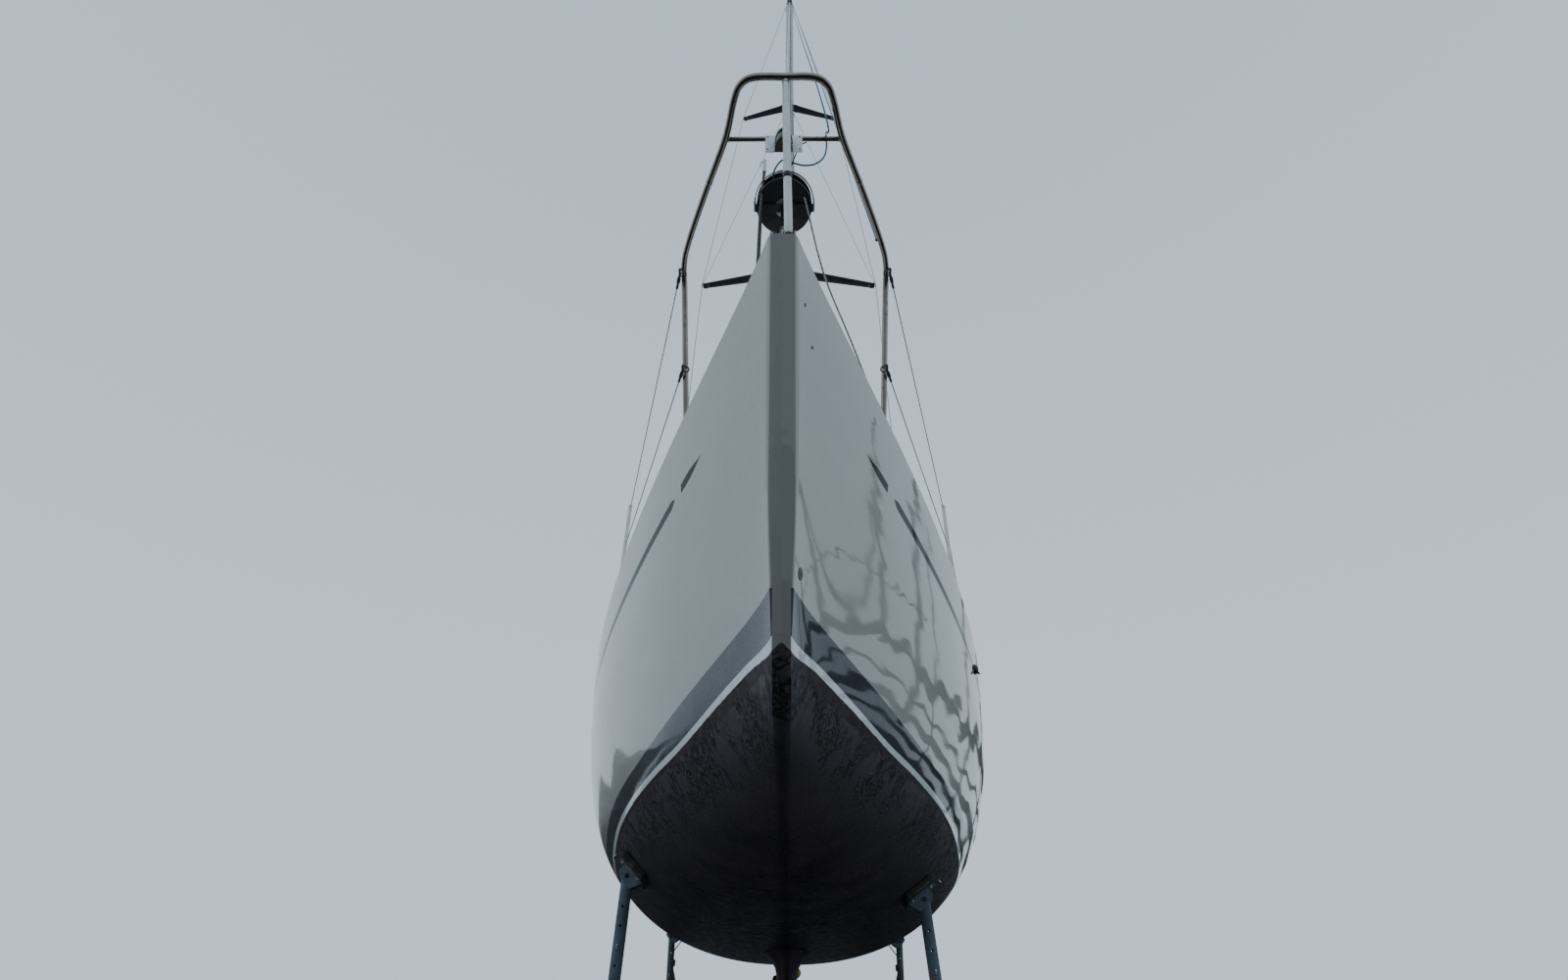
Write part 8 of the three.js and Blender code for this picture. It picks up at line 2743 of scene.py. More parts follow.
class YACHT_OT_cabin(bpy.types.Operator):
    """Builds the bulkhead, the companion steps and the settees with their padded cushions"""

    bl_idname = "yacht.cabin"
    bl_label = "Cabin"

    def execute(self, context):
        self.bulkhead()
        self.steps()
        self.settees()
        return {"FINISHED"}

    @staticmethod
    def bulkhead():
        """The port half in strips between the doorway's side and the hull, then over the doorway."""
        low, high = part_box("bulkhead")
        middle, start, end = 4.125, 4.11, 4.14
        shoulder = sheer_z(0.4)
        coaming = along(ROOF, 1, middle) - 0.04
        outer = [(hull_side(middle, z).x - SKIN - 0.006, z)
                 for z in (lerp(low.z, shoulder - 0.02, t) for t in shares(16))]
        outer += [(coaming, shoulder - 0.02), (coaming, deck_z(middle, 1.0)),
                  (along(ROOF, 2, middle) - 0.01, roof_z(middle) - 0.07), (0.4, high.z - 0.006),
                  (0, high.z - 0.002)]
        wall = Shape()
        rows = []
        for x, z in outer:
            u, v = DOORWAY, z
            if z > shoulder:
                t = clamp((z - shoulder) / (outer[-1][1] - shoulder))
                u = DOORWAY * (1 - t) if t > 0.5 else DOORWAY - 0.02 * t
                v = shoulder + ARCH * min(t * 2, 1)
            rows.append([lay(x, start, z), lay(x, end, z), lay(u, end, v), lay(u, start, v)])
        wall.skin(rows)
        frame = ((DOORWAY, low.z + 0.002), (DOORWAY, shoulder), (0.265, shoulder + 0.1),
                 (0.2, shoulder + ARCH), (0.0, shoulder + ARCH))
        wall.tube(rounded([lay(x, middle, z) for x, z in frame], 0.05, 4), 0.018, 10, 1)
        wall.mirror()
        wall.make("main_bulkhead", ["varnish", "teak"], slot="varnished_wood", replaces=["bulkhead"])

    @staticmethod
    def steps():
        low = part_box("cabin_steps")[0]
        steps = Shape()
        for x in (-0.245, 0.245):
            for k in range(TREADS):
                s = STEP_START + STEP_RUN * k
                top = low.z + STEP_RISE * (k + 1)
                steps.block(lay(x - 0.012, s + 0.004, low.z), lay(x + 0.012, 7.345, top - 0.02), 0.003)
        for k in range(TREADS):
            s = STEP_START + STEP_RUN * k
            riser = low.z + STEP_RISE * k
            top = low.z + STEP_RISE * (k + 1)
            tread = 0.13 if k < TREADS - 1 else 0.15
            steps.block(lay(-0.26, s, top - 0.022), lay(0.26, s + tread, top - 0.0006), 0.006)
            steps.block(lay(-0.23, s + 0.012, riser + 0.002), lay(0.23, s + 0.024, top - 0.02), 0.002)
            for strip in (-0.13, 0.0, 0.13):
                steps.block(lay(strip - 0.055, s + 0.018, top - 0.002),
                            lay(strip + 0.055, s + 0.075, top - 0.0001), 0.0004, 1)
        steps.make("companion_steps", ["varnish", "rubber"], slot="varnished_wood",
                   replaces=["cabin_steps"])

    def settees(self):
        """Berth boxes with seat and back cushions, three to a side."""
        for sign, side in SIDES.items():
            low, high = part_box(f"settee_{side}")
            base = Shape()
            rows = []
            for s in [lerp(4.506, 6.494, t) for t in shares(8)]:
                outer = [(hull_side(s, z).x - SKIN - 0.014, z)
                         for z in (low.z + 0.004, low.z + 0.15, low.z + 0.3)]
                row = [(0.48, low.z), (outer[0][0], low.z), *outer, (0.48, low.z + 0.3)]
                rows.append([lay(sign * x, s, z) for x, z in row])
            base.skin(rows)
            for s in (4.9, 5.5, 6.1):
                base.block(lay(sign * 0.474, s - 0.2, low.z + 0.07),
                           lay(sign * 0.482, s + 0.2, low.z + 0.24), 0.002, 1)
            base.make(f"settee_base_{side}", ["varnish", "teak"], slot="varnished_wood",
                      replaces=[f"settee_{side}"])
            for k in range(3):
                s0, s1 = 4.508 + 0.663 * k, 4.508 + 0.663 * (k + 1) - 0.006
                seat_low, seat_high = low.z + 0.302, low.z + 0.42
                self.cushion(f"seat_cushion_{side}_{k + 1}", lay(sign * 0.49, s0, seat_low),
                             lay(sign * 1.045, s1, seat_high), sign)
                self.cushion(f"back_cushion_{side}_{k + 1}", lay(sign * 1.055, s0, seat_low + 0.004),
                             lay(sign * 1.175, s1, high.z - 0.02), sign)

    def cushion(self, name, a, b, sign):
        """A cushion of cloth: crowned, pulled in between its corners, filled by pressure and piped."""
        low = Vector((min(a.x, b.x), a.y, a.z))
        high = Vector((max(a.x, b.x), b.y, b.z))
        middle, half = (low + high) / 2, (high - low) / 2
        thin = 2 if half.z < half.x else 0
        rests = -1 if thin == 2 else sign
        first, second = (k for k in range(3) if k != thin)
        pad = Shape()
        slack = Vector((0.006,) * 3)
        slack[thin] = 0.012
        start, end = low + slack, high - slack
        (start if rests < 0 else end)[thin] += 0.008 * rests
        pad.block(start, end, 0.024)
        made = pad.make(name, ["cloth", "piping"], slot="cloth", smooth=60)
        self.net(made, 0.014)
        for v in made.data.vertices:
            u, w = ((v.co[k] - middle[k]) / half[k] for k in (first, second))
            v.co[first] -= u * half[first] * 0.032 * max(1 - w * w, 0)
            v.co[second] -= w * half[second] * 0.032 * max(1 - u * u, 0)
            side = (v.co[thin] - middle[thin]) / half[thin]
            if side * rests < 0:
                v.co[thin] -= side * half[thin] * 0.34 * (1 - (1 - u ** 4) * (1 - w ** 4))
        self.fill(made, low, high)
        made.data.shade_smooth()
        self.pipe(made, middle, half, thin, first, second)

    @staticmethod
    def fill(made, low, high):
        """Blows the cloth out from inside, and lets no point move further than the cushion's box allows."""
        scene = bpy.context.scene
        was = [v.co.copy() for v in made.data.vertices]
        step = made.modifiers.new("cloth", "CLOTH")
        step.settings.quality = 5
        step.settings.mass = 0.3
        step.settings.tension_stiffness = step.settings.compression_stiffness = 12
        step.settings.bending_stiffness = 0.6
        step.settings.use_pressure = True
        step.settings.uniform_pressure_force = 4
        step.settings.effector_weights.gravity = 0
        step.point_cache.frame_start, step.point_cache.frame_end = 1, 20
        for frame in range(1, 21):
            scene.frame_set(frame)
        bake(made)
        scene.frame_set(1)
        for v, place in zip(made.data.vertices, was):
            moved = v.co - place
            v.co = place + moved * min(1, 0.011 / max(moved.length, 1e-6))
            for axis in range(3):
                v.co[axis] = clamp(v.co[axis], low[axis] + 0.001, high[axis] - 0.001)
        made.modifiers.new("finer", "SUBSURF").levels = 1
        bake(made)

    @staticmethod
    def net(piece, size):
        """Gives the box an even net of small faces for the cloth."""
        step = piece.modifiers.new("net", "REMESH")
        step.mode = "VOXEL"
        step.voxel_size = size
        bake(piece)

    @staticmethod
    def pipe(made, middle, half, thin, first, second):
        """Piping round both faces, laid along the filled cloth."""
        cloth = made.data
        tree = BVHTree.FromPolygons([v.co for v in cloth.vertices],
                                    [face.vertices for face in cloth.polygons])
        cord = Shape()
        for side in (-1, 1):
            line = []
            for k in range(112):
                turn = 2 * math.pi * k / 112
                reach = (abs(math.cos(turn)) ** 14 + abs(math.sin(turn)) ** 14) ** (-1 / 14)
                spot = middle.copy()
                spot[first] += half[first] * math.cos(turn) * reach
                spot[second] += half[second] * math.sin(turn) * reach
                spot[thin] += half[thin] * 0.72 * side
                line.append(tree.find_nearest(spot)[0])
            for _ in range(2):
                line = [(line[k - 1] + 2 * line[k] + line[(k + 1) % 112]) / 4 for k in range(112)]
            cord.tube(line, 0.0036, 6, finish=1, loop=True)
        whole = bmesh.new()
        whole.from_mesh(cloth)
        whole.from_mesh(cord.mesh("piping"))
        whole.to_mesh(cloth)
        whole.free()


# Each post: side, x of its foot, the share of its height at which its inner strut meets it, and how far
# in the strut's foot stands
POSTS = {
    "fwd_port": (1, 0.94, 0.55, 0.33),
    "fwd_stbd": (-1, 1.005, 0.55, 0.33),
    "aft_port": (1, 1.15, 0.88, 0.42),
    "aft_stbd": (-1, 1.22, 0.88, 0.42),
}
PAD_THICK = 0.034
TUBE_WALL = 0.0045
# The frame: the height of its beams and of what stands on them, and the places of its tubes
BEAM = 0.1
SEAT = BEAM + 0.0003
CROSS_BEAMS, SHORT_BEAMS, LONG_BEAMS = (3.5, 7.8), (5.15, 5.95), (-0.42, 0.42)
SHORT_END = 0.371


def hull_at(s, out):
    """The bottom's point at s that is a distance out from the centre line, and its outward normal."""
    low, high = centre_z(clamp((s - 0.3) / BOTTOM_LENGTH)), WATERLINE + 0.35
    for _ in range(40):
        middle = (low + high) / 2
        if hull_side(s, middle).x < out:
            low = middle
        else:
            high = middle
    return hull_side(s, low), YACHT_OT_hull.outward(s, low)


def pad_frame(name):
    """The hull's point behind a pad, its outward normal and the pad's two directions, on the port side."""
    low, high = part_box(f"cradle_pad_{name}")
    centre = (low + high) / 2
    centre.x = abs(centre.x)
    s, out = centre.y + BOW, centre.x
    for _ in range(6):
        point, normal = hull_at(s, out)
        off = point + normal * (PAD_THICK / 2 + 0.0012) - centre
        s, out = s - off.y, out - off.x
    lengthways = (Vector((0, 1, 0)) - normal * normal.y).normalized()
    across = normal.cross(lengthways)
    if across.z < 0:
        across = -across
    return point, normal, lengthways, across


def bolt_head(shape, centre, axis, radius=0.009, finish=0):
    """A hexagon head on its washer."""
    shape.turned(((radius * 1.7, 0), (radius * 1.7, 0.002)), centre, axis, 20, finish)
    shape.turned(((radius, 0.002), (radius, 0.0075), (radius * 0.86, 0.0085)), centre, axis, 6, finish)
    shape.turned(((radius * 0.55, 0.0085), (radius * 0.5, 0.012)), centre, axis, 12, finish)


def weld_ring(shape, centre, axis, radius, finish, thick=0.0045):
    """A slightly uneven weld round a tube's end."""
    axis, first, second = square_to(axis)
    line, radii = [], []
    for t in turns(44):
        line.append(Vector(centre) + radius * (first * math.cos(t) + second * math.sin(t)))
        radii.append(thick * (1 + 0.16 * math.sin(9 * t) + 0.12 * math.sin(23 * t + 1)))
    shape.tube(line, radii, 8, finish, loop=True, up=axis)


def holed_plate(shape, outline, hole, radius, place, low, high):
    """A plate of an outline with a round hole. place(u, v, w) gives the real point."""
    rim = []
    for turn in turns(40):
        aim = Vector((math.cos(turn), math.sin(turn)))
        best = 0.0
        for a, b in zip(outline, [*outline[1:], outline[0]]):
            start, run = Vector(a) - Vector(hole), Vector(b) - Vector(a)
            cross = aim.x * run.y - aim.y * run.x
            if abs(cross) > 1e-12:
                far = (start.x * run.y - start.y * run.x) / cross
                share = (start.x * aim.y - start.y * aim.x) / cross
                if far > best and -1e-6 <= share <= 1 + 1e-6:
                    best = far
        rim.append((hole[0] + aim.x * best, hole[1] + aim.y * best))
    ring = [(hole[0] + radius * math.cos(t), hole[1] + radius * math.sin(t)) for t in turns(40)]
    rows = [[place(u, v, w) for u, v in line]
            for line, w in ((rim, low), (rim, high), (ring, high), (ring, low))]
    shape.skin(rows, loop=True)


class YACHT_OT_cradle(bpy.types.Operator):
    """Welds the cradle's frame, its four posts with their struts and plates, and lays the keel timbers"""

    bl_idname = "yacht.cradle"
    bl_label = "Cradle"

    def execute(self, context):
        self.base()
        for name, sizes in POSTS.items():
            self.post(name, *sizes, context.scene.yacht_cradle.hole_pitch)
            self.pad(name, sizes[0])
        self.timbers()
        return {"FINISHED"}

    def base(self):
        base = Shape()

        def section(start, end):
            """A hollow square tube between two points of its axis, open at its ends."""
            aim = (end - start).normalized()
            across = UP.cross(aim)
            outer = round_box(BEAM / 2, -BEAM / 2, BEAM / 2, 0.012, 3)
            inner = [(u * 0.9, v * 0.9) for u, v in outer]
            loops = ((start, outer), (end, outer), (end, inner), (start, inner))
            base.skin([[place + across * u + Vector((0, 0, v)) for u, v in ring] for place, ring in loops],
                      loop=True)

        def hole(x, s, side):
            """A round hole's rim in the side of a tube. side is the way that the tube's side faces."""
            base.turned(((0.012, -0.004), (0.0125, 0.0002), (0.0095, 0.0003), (0.009, -0.003)),
                        lay(x, s, half), side, 20, 2)

        half = BEAM / 2
        for s in CROSS_BEAMS:
            section(lay(-1.35, s, half), lay(1.35, s, half))
        for s in SHORT_BEAMS:
            section(lay(-SHORT_END, s, half), lay(SHORT_END, s, half))
        for x in LONG_BEAMS:
            section(lay(x, 3.2, half), lay(x, 8.1, half))
        # Welds along the crossings, and plates where the tubes cross
        for s in CROSS_BEAMS:
            for x in LONG_BEAMS:
                for dx in (-half, half):
                    for ds in (-half, half):
                        base.rod(lay(x + dx, s + ds, 0.004), lay(x + dx, s + ds, 0.095), 0.0042, 8, 1, 0.6)
                base.block(lay(x - 0.047, s - 0.047, 0.0935), lay(x + 0.047, s + 0.047, 0.0999), 0.0015)
        for s in SHORT_BEAMS:
            for x in (-SHORT_END, SHORT_END):
                for ds in (-half, half):
                    base.rod(lay(x, s + ds, 0.004), lay(x, s + ds, 0.095), 0.0042, 8, 1, 0.6)
                base.rod(lay(x, s - 0.048, 0.0965), lay(x, s + 0.048, 0.0965), 0.0034, 8, 1, 0.6)
        for s in CROSS_BEAMS:
            for x in (-1.27, -0.75, 0.75, 1.27):
                for side in (-1, 1):
                    hole(x, s + side * half, (0, side, 0))
        for x in LONG_BEAMS:
            for s in (3.27, 4.3, 6.9, 8.03):
                for side in (-1, 1):
                    hole(x + side * half, s, (side, 0, 0))
        base.make("cradle_frame", ("paint", "weld", "rubber"), slot="cradle_paint",
                  replaces=["cradle_base"], smooth=30)

    def post(self, name, side, foot_x, knee_share, splay, pitch):
        point, normal, lengthways, across = pad_frame(name)
        back = point + normal * (PAD_THICK + 0.0012 + 0.0003)
        centre = back + normal * 0.036
        s = CROSS_BEAMS["aft" in name]
        foot = lay(foot_x, s, SEAT)
        aim = (centre - foot).normalized()
        top = centre + aim * 0.006
        # Hollow tube, drilled across for the height pins
        leg = Shape()
        radius = 0.0358
        length = (top - foot).length
        first = aim.orthogonal().normalized()
        second = aim.cross(first)
        rows = []
        for r, h in ((radius, 0.012), (radius, length), (radius - TUBE_WALL, length),
                     (radius - TUBE_WALL, 0.012)):
            rows.append([foot + aim * h + r * (first * math.cos(t) + second * math.sin(t))
                         for t in turns(48)])
        leg.skin(rows, loop=True)
        piece = leg.make(f"cradle_post_{name}_tube", ["paint"], slot="cradle_paint")
        drill = Shape()
        for k in range(int((length - 0.24) / pitch)):
            place = centre - aim * (0.16 + pitch * k)
            drill.rod(place - Vector((0, 0.08, 0)), place + Vector((0, 0.08, 0)), 0.0078, 16, edge=0.01)
        carve(piece, drill.tool())
        if side < 0:
            piece.data.transform(Matrix.Scale(-1, 4, (1, 0, 0)))
            piece.data.flip_normals()
        seat(piece, "yacht", (), 35)
        fittings = Shape()
        # Shoe on the cross beam, with gussets and bolts
        fittings.block(foot + Vector((-0.0695, -0.0475, 0.0002)), foot + Vector((0.0695, 0.0475, 0.0118)),
                       0.002)
        for dx in (-1, 1):
            web = smooth_outline([(0.03, 0.01), (0.064, 0.01), (0.064, 0.018), (0.036, 0.085),
                                                (0.03, 0.085)], 0.004, 2)
            fittings.plate(web, lambda u, v, w, dx=dx: foot + Vector((dx * u, w, v)), -0.004, 0.004, 0.001)
            for dy in (-1, 1):
                bolt_head(fittings, foot + Vector((dx * 0.055, dy * 0.034, 0.0115)), UP, 0.008, 2)
        weld_ring(fittings, foot + aim * 0.0125, aim, 0.0375, 1)
        # Inner strut, with its shoe, and a thinner one opposite and fore and aft
        knee = foot.lerp(centre, 0.98 * knee_share)
        strut_foot = lay(foot_x - splay, s, SEAT + 0.008)
        fittings.tube([strut_foot, strut_foot.lerp(knee, 0.5), knee], 0.0165, 16)
        fittings.block(strut_foot + Vector((-0.0445, -0.0395, -0.0078)),
                       strut_foot + Vector((0.0445, 0.0395, 0.002)), 0.002)
        for dy in (-1, 1):
            bolt_head(fittings, strut_foot + Vector((-0.03, dy * 0.026, 0.002)), UP, 0.006, 2)
        weld_ring(fittings, strut_foot + (knee - strut_foot).normalized() * 0.006, knee - strut_foot,
                  0.0185, 1, 0.003)
        ear = (knee - strut_foot).normalized()
        fittings.block(knee - Vector((0.052, 0.005, 0.04)), knee - Vector((0.02, -0.005, -0.02)), 0.002)
        bolt_head(fittings, knee - ear * 0.03 + Vector((0, -0.017, 0)), (0, -1, 0), 0.0065, 2)
        if "aft" in name:
            outer_foot = lay(min(foot_x + 0.17, 1.3), s, SEAT + 0.006)
            split = foot.lerp(centre, 0.42)
            fittings.rod(outer_foot, split, 0.0105, 12)
            fittings.rod(lay(foot_x - 0.2, s, SEAT + 0.004), split, 0.0105, 12)
            fittings.block(outer_foot + Vector((-0.03, -0.03, -0.0055)),
                           outer_foot + Vector((0.03, 0.03, 0.004)), 0.0015)
            link = foot.lerp(centre, 0.9)
            fittings.rod(link, link + Vector((-0.13, -0.02, 0.155)), 0.006, 10)
        # Head: two webs that hold the tube on a pin, on the plate behind the pad
        web = smooth_outline([(0.062, 0.004), (0.056, 0.058), (0.02, 0.07), (-0.064, 0.078),
                              (-0.098, 0.004)], 0.008, 3)
        for u in (-0.0415, 0.0415):
            holed_plate(fittings, web, (-0.002, 0.036), 0.0155,
                        lambda v, w, thick, u=u: back + lengthways * (u + thick) + across * v + normal * w,
                        -0.004, 0.004)
        fittings.rod(centre - lengthways * 0.05, centre + lengthways * 0.05, 0.0085, 16, 3)
        for u in (-1, 1):
            fittings.rod(back + lengthways * u * 0.0415 + across * 0.058 + normal * 0.008,
                         back + lengthways * u * 0.0415 - across * 0.09 + normal * 0.008, 0.0048, 8, 1)
        plate = smooth_outline([(-0.085, -0.08), (-0.06, -0.096), (0.06, -0.096),
                                              (0.085, -0.08), (0.085, 0.08), (0.06, 0.096), (-0.06, 0.096),
                                              (-0.085, 0.08)], 0.006, 3)
        fittings.plate(plate, lambda u, v, w: back + lengthways * u + across * v + normal * w, 0.0, 0.0062,
                       0.001)
        for u, v in ((-0.066, -0.07), (0.066, -0.07), (-0.066, 0.07), (0.066, 0.07)):
            bolt_head(fittings, back + lengthways * u + across * v + normal * 0.006, normal, 0.0062, 2)
        # Angle bracket on the plate's top edge
        edge_at = back + across * 0.095
        web = [(-0.012, -0.02), (0.012, -0.02), (0.012, 0.045), (-0.012, 0.045)]
        fittings.plate(web, lambda u, v, w: edge_at + lengthways * u + across * v + normal * (0.005 + w), 0,
                       0.006, 0.001)
        fittings.plate([(-0.034, 0.001), (0.034, 0.001), (0.034, 0.024), (-0.034, 0.024)],
                       lambda u, v, w: edge_at + lengthways * u + across * (0.045 + w) + normal * v, 0,
                       0.0055, 0.001, 2)
        # Pin through one of the holes, on its chain
        pin = centre - aim * (0.16 + pitch * 2)
        fittings.rod(pin - Vector((0, 0.052, 0)), pin + Vector((0, 0.05, 0)), 0.0066, 14, 2)
        fittings.hoop(pin - Vector((0, 0.054, 0.012)), (1, 0, 0), 0.012, 0.0022, 2, steps=18)
        fittings.to_side(side)
        fittings.make(f"cradle_post_{name}_fittings", ("paint", "weld", "bolt", "rubber"),
                      slot="cradle_paint", replaces=[f"cradle_post_{name}"], smooth=35)

    @staticmethod
    def pad(name, side):
        point, normal, lengthways, across = pad_frame(name)
        pad = Shape()
        for low, high, grow, finish in ((0.0014, 0.0125, 1.0, 1), (0.0125, 0.0345, 0.97, 0)):
            outline = round_box(0.149 * grow, -0.099 * grow, 0.099 * grow, 0.008, 3)
            pad.plate(outline, lambda u, v, w: point + lengthways * u + across * v + normal * w,
                      low, high, 0.003, finish)
        pad.to_side(side)
        pad.make(f"cradle_pad_{name}_board", ["board", "rubber"], slot="pad_board",
                 replaces=[f"cradle_pad_{name}"])

    @staticmethod
    def timbers():
        timbers = Shape()
        for s in (5.15, 5.95):
            timbers.block(lay(-0.2, s - 0.06, 0.1003), lay(0.2, s + 0.06, 0.1495), 0.004)
            for x in (-0.165, 0.165):
                timbers.turned(((0.008, 0), (0.0082, 0.0008), (0.004, 0.0012)), lay(x, s, 0.1486),
                               (0, 0, 1), 12, 1)
        timbers.block(lay(-0.08, 5.215, 0.1005), lay(0.08, 5.885, 0.1493), 0.004)
        timbers.block(lay(-0.0795, 5.095, 0.1006), lay(0.0795, 5.6, 0.149), 0.003)
        timbers.make("keel_blocks", ["timber", "bolt"], slot="timber", replaces=["keel_timbers"])


class YACHT_OT_stage(bpy.types.Operator):
    """Sets the pale floor, the soft lights and the camera under the bow"""

    bl_idname = "yacht.stage"
    bl_label = "Stage"

    def execute(self, context):
        settings = context.scene.yacht_stage
        self.floor(settings)
        self.backdrop(context.scene, settings)
        self.lights(settings)
        self.flags()
        camera = bpy.data.objects.new("camera", bpy.data.cameras.new("camera"))
        context.scene.collection.objects.link(camera)
        camera.data.sensor_width = 36
        camera.data.lens = settings.lens
        camera.data.clip_start = 0.05
        camera.data.clip_end = 400
        turn = Matrix.Rotation(settings.yaw, 4, "Z") @ Matrix.Rotation(math.pi / 2 + settings.pitch, 4, "X")
        turn = turn @ Matrix.Rotation(settings.roll, 4, "Z")
        camera.matrix_world = Matrix.Translation(settings.place) @ turn
        context.scene.camera = camera
        return {"FINISHED"}

    def floor(self, settings):
        finish = plain("stage_floor", settings.floor, 0.7, cloud=0.02, size=0.5)
        ground = Shape()
        rim = [(160 * math.cos(t), 160 * math.sin(t), 0) for t in turns(48)]
        ground.add([(0, 0, 0), *rim], [(0, 1 + k, 1 + (k + 1) % 48) for k in range(48)])
        floor = bpy.data.objects.new("stage_floor", ground.mesh("stage_floor"))
        floor.data.materials.append(finish.material)
        bpy.context.scene.collection.objects.link(floor)
        floor.location.z = -0.0005

    def backdrop(self, scene, settings):
        """A pale, cool light all round that is a little darker overhead."""
        world = bpy.data.worlds.new("backdrop")
        world.use_nodes = True
        scene.world = world
        nodes, links = world.node_tree.nodes, world.node_tree.links
        sky = nodes["Background"]
        place = nodes.new("ShaderNodeTexCoord")
        split = nodes.new("ShaderNodeSeparateXYZ")
        ramp = nodes.new("ShaderNodeValToRGB")
        links.new(place.outputs["Generated"], split.inputs[0])
        links.new(split.outputs["Z"], ramp.inputs["Fac"])
        links.new(ramp.outputs["Color"], sky.inputs["Color"])
        first, last = ramp.color_ramp.elements
        first.color = (*settings.sky, 1)
        last.position = 0.9
        last.color = (*settings.zenith, 1)
        middle = ramp.color_ramp.elements.new(0.25)
        middle.color = (*settings.sky, 1)
        sky.inputs["Strength"].default_value = settings.level

    def lights(self, settings):
        for name, place, size, power, tint in (
            ("overhead", (0, 1, 30), 26, settings.key, (0.92, 0.96, 1.0)),
            ("from_starboard", (-22, -10, 14), 14, settings.key * 0.5, (0.92, 0.96, 1.0)),
            ("from_aft", (6, 24, 14), 14, settings.key * 0.35, (1.0, 0.98, 0.95)),
        ):
            data = bpy.data.lights.new(name, "AREA")
            data.shape = "DISK"
            data.size = size
            data.energy = power
            data.color = tint
            lamp = bpy.data.objects.new(name, data)
            bpy.context.scene.collection.objects.link(lamp)
            lamp.location = place
            lamp.visible_glossy = False
            lamp.rotation_euler = (3 * UP - Vector(place)).to_track_quat("-Z", "Y").to_euler()

    def flags(self):
        """Dark cards round the stage. Only gloss sees them, as the lines and shapes on the topsides."""
        finish = plain("stage_flag", (0.02, 0.021, 0.022), 0.9, cloud=0.05, size=1).material
        card = Shape()

        def stand(turn, far, z):
            turn = math.radians(turn)
            return Vector((far * math.cos(turn), far * math.sin(turn) - 3.5, z))

        # direction, distance, width, low, high and lean of each upright card
        for turn, far, wide, low, high, lean in (
            (31, 15, 0.16, 5.0, 14, 1.2),
            (35, 16, 0.34, 5.5, 13, -1.6),
            (41, 17, 0.4, 3.0, 14, 1.5),
            (47, 18, 0.16, 2.0, 13, -0.3),
            (58, 16, 0.2, 2.0, 12, 0.4),
            (67, 18, 0.25, 2.0, 12, 0.2),
        ):
            across = (stand(turn + 90, 1, 0) - stand(turn + 90, 0, 0)) * wide / 2
            foot, head = stand(turn, far, low), stand(turn + lean * 1.5, far, high)
            card.skin([[foot - across, foot + across], [head - across, head + across]], wrap=False)
        # first and last direction, distance, low, high and unevenness of each long card
        for first, last, far, low, high, wave in (
            (18, 84, 15, 0.0, 2.0, 0.12),
            (20, 84, 15.2, 2.55, 2.85, 0.08),
            (20, 84, 15.4, 3.3, 3.75, 0.12),
            (22, 84, 15.6, 4.35, 4.55, 0.16),
            (24, 80, 15.8, 5.55, 6.25, 0.3),
            (22, 44, 16.2, 8.3, 8.42, 0.12),
        ):
            rows = []
            for k in range(41):
                lift = wave * (math.sin(k * 1.9) + 0.6 * math.sin(k * 0.7 + 1))
                turn = lerp(first, last, k / 40)
                rows.append([stand(turn, far, low + lift if low else 0), stand(turn, far, high + lift)])
            card.skin(rows, wrap=False)
        # A row of low roofs to starboard, in two layers with a light gap between them
        roofs = ((100, 4.2), (113, 4.3), (117.5, 5.0), (120.5, 3.9), (125.5, 4.8), (128.5, 3.7),
                 (131.5, 3.4), (134.5, 2.7), (138, 2.4), (150, 2.3))
        for low, high in ((0.0, 2.0), (2.2, 9.0)):
            card.skin([[stand(turn, 16, low), stand(turn, 16, min(top, high))] for turn, top in roofs],
                      wrap=False)
        # A dark card on the floor under the boat that only gloss sees: a painted reflection of dark ground
        # in the tubes and topsides
        card.add([(-9, -15, 0.001), (9, -15, 0.001), (9, 13, 0.001), (-9, 13, 0.001)], [(0, 1, 2, 3)])
        flags = bpy.data.objects.new("stage_flags", card.mesh("stage_flags"))
        flags.data.materials.append(finish)
        bpy.context.scene.collection.objects.link(flags)
        flags.visible_camera = False
        flags.visible_diffuse = False
        flags.visible_shadow = False


class YACHT_PT_panel(bpy.types.Panel):
    """Lists the pieces, in the order in which they are built"""

    bl_idname = "YACHT_PT_panel"
    bl_label = "Yacht"
    bl_space_type = "VIEW_3D"
    bl_region_type = "UI"
    bl_category = "Yacht"

    def draw(self, context):
        for step in STEPS:
            self.layout.operator(step.bl_idname)
        for group in SETTINGS:
            box = self.layout.box()
            for name in SETTINGS[group].__annotations__:
                box.prop(getattr(context.scene, group), name)


SETTINGS = {
    "yacht_hull": YachtHullSettings,
    "yacht_rig": YachtRigSettings,
    "yacht_cradle": YachtCradleSettings,
    "yacht_stage": YachtStageSettings,
}

STEPS = (
    YACHT_OT_finishes,
    YACHT_OT_hull,
    YACHT_OT_fins,
    YACHT_OT_drive,
    YACHT_OT_deck,
    YACHT_OT_deck_gear,
    YACHT_OT_pulpit,
    YACHT_OT_lamp,
    YACHT_OT_stem,
    YACHT_OT_furler,
    YACHT_OT_rails,
    YACHT_OT_mast,
    YACHT_OT_spreaders,
    YACHT_OT_shrouds,
    YACHT_OT_halyards,
    YACHT_OT_boom,
    YACHT_OT_hatches,
    YACHT_OT_windows,
    YACHT_OT_helm,
    YACHT_OT_cabin,
    YACHT_OT_cradle,
    YACHT_OT_stage,
)


def register():
    for kind in (*SETTINGS.values(), *STEPS, YACHT_PT_panel):
        bpy.utils.register_class(kind)
    for name, kind in SETTINGS.items():
        setattr(bpy.types.Scene, name, bpy.props.PointerProperty(type=kind))


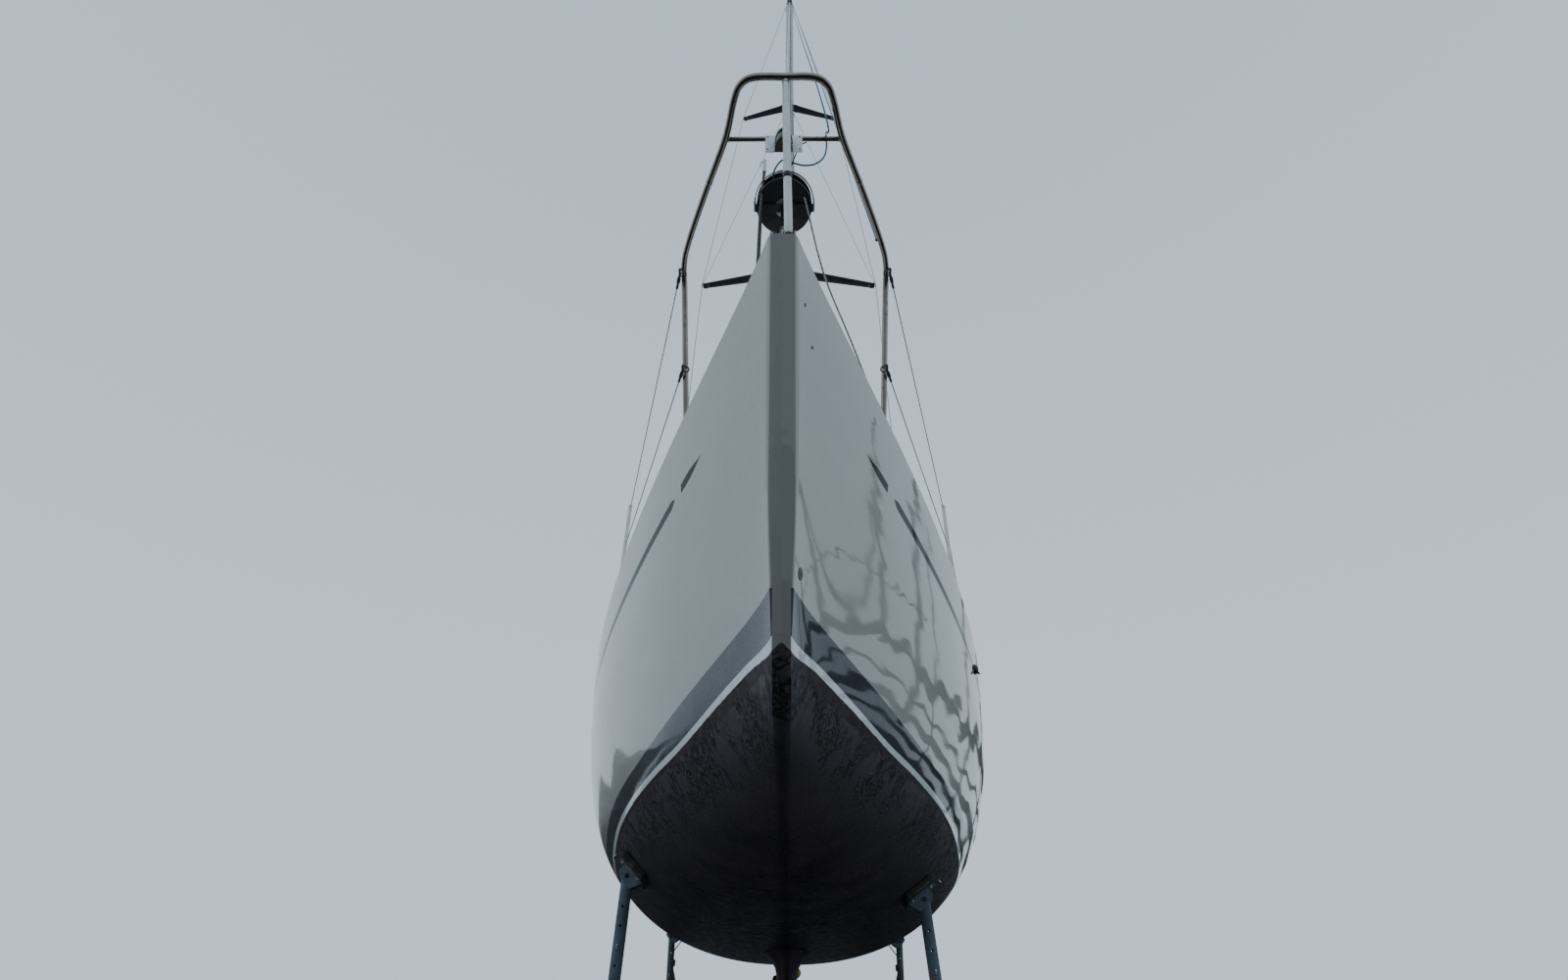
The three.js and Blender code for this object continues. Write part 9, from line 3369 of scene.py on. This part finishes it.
def unregister():
    for name in SETTINGS:
        delattr(bpy.types.Scene, name)
    for kind in reversed((*SETTINGS.values(), *STEPS, YACHT_PT_panel)):
        bpy.utils.unregister_class(kind)


def main():
    register()
    for step in STEPS:
        group, name = step.bl_idname.split(".")
        getattr(getattr(bpy.ops, group), name)()


if __name__ == "__main__":
    main()
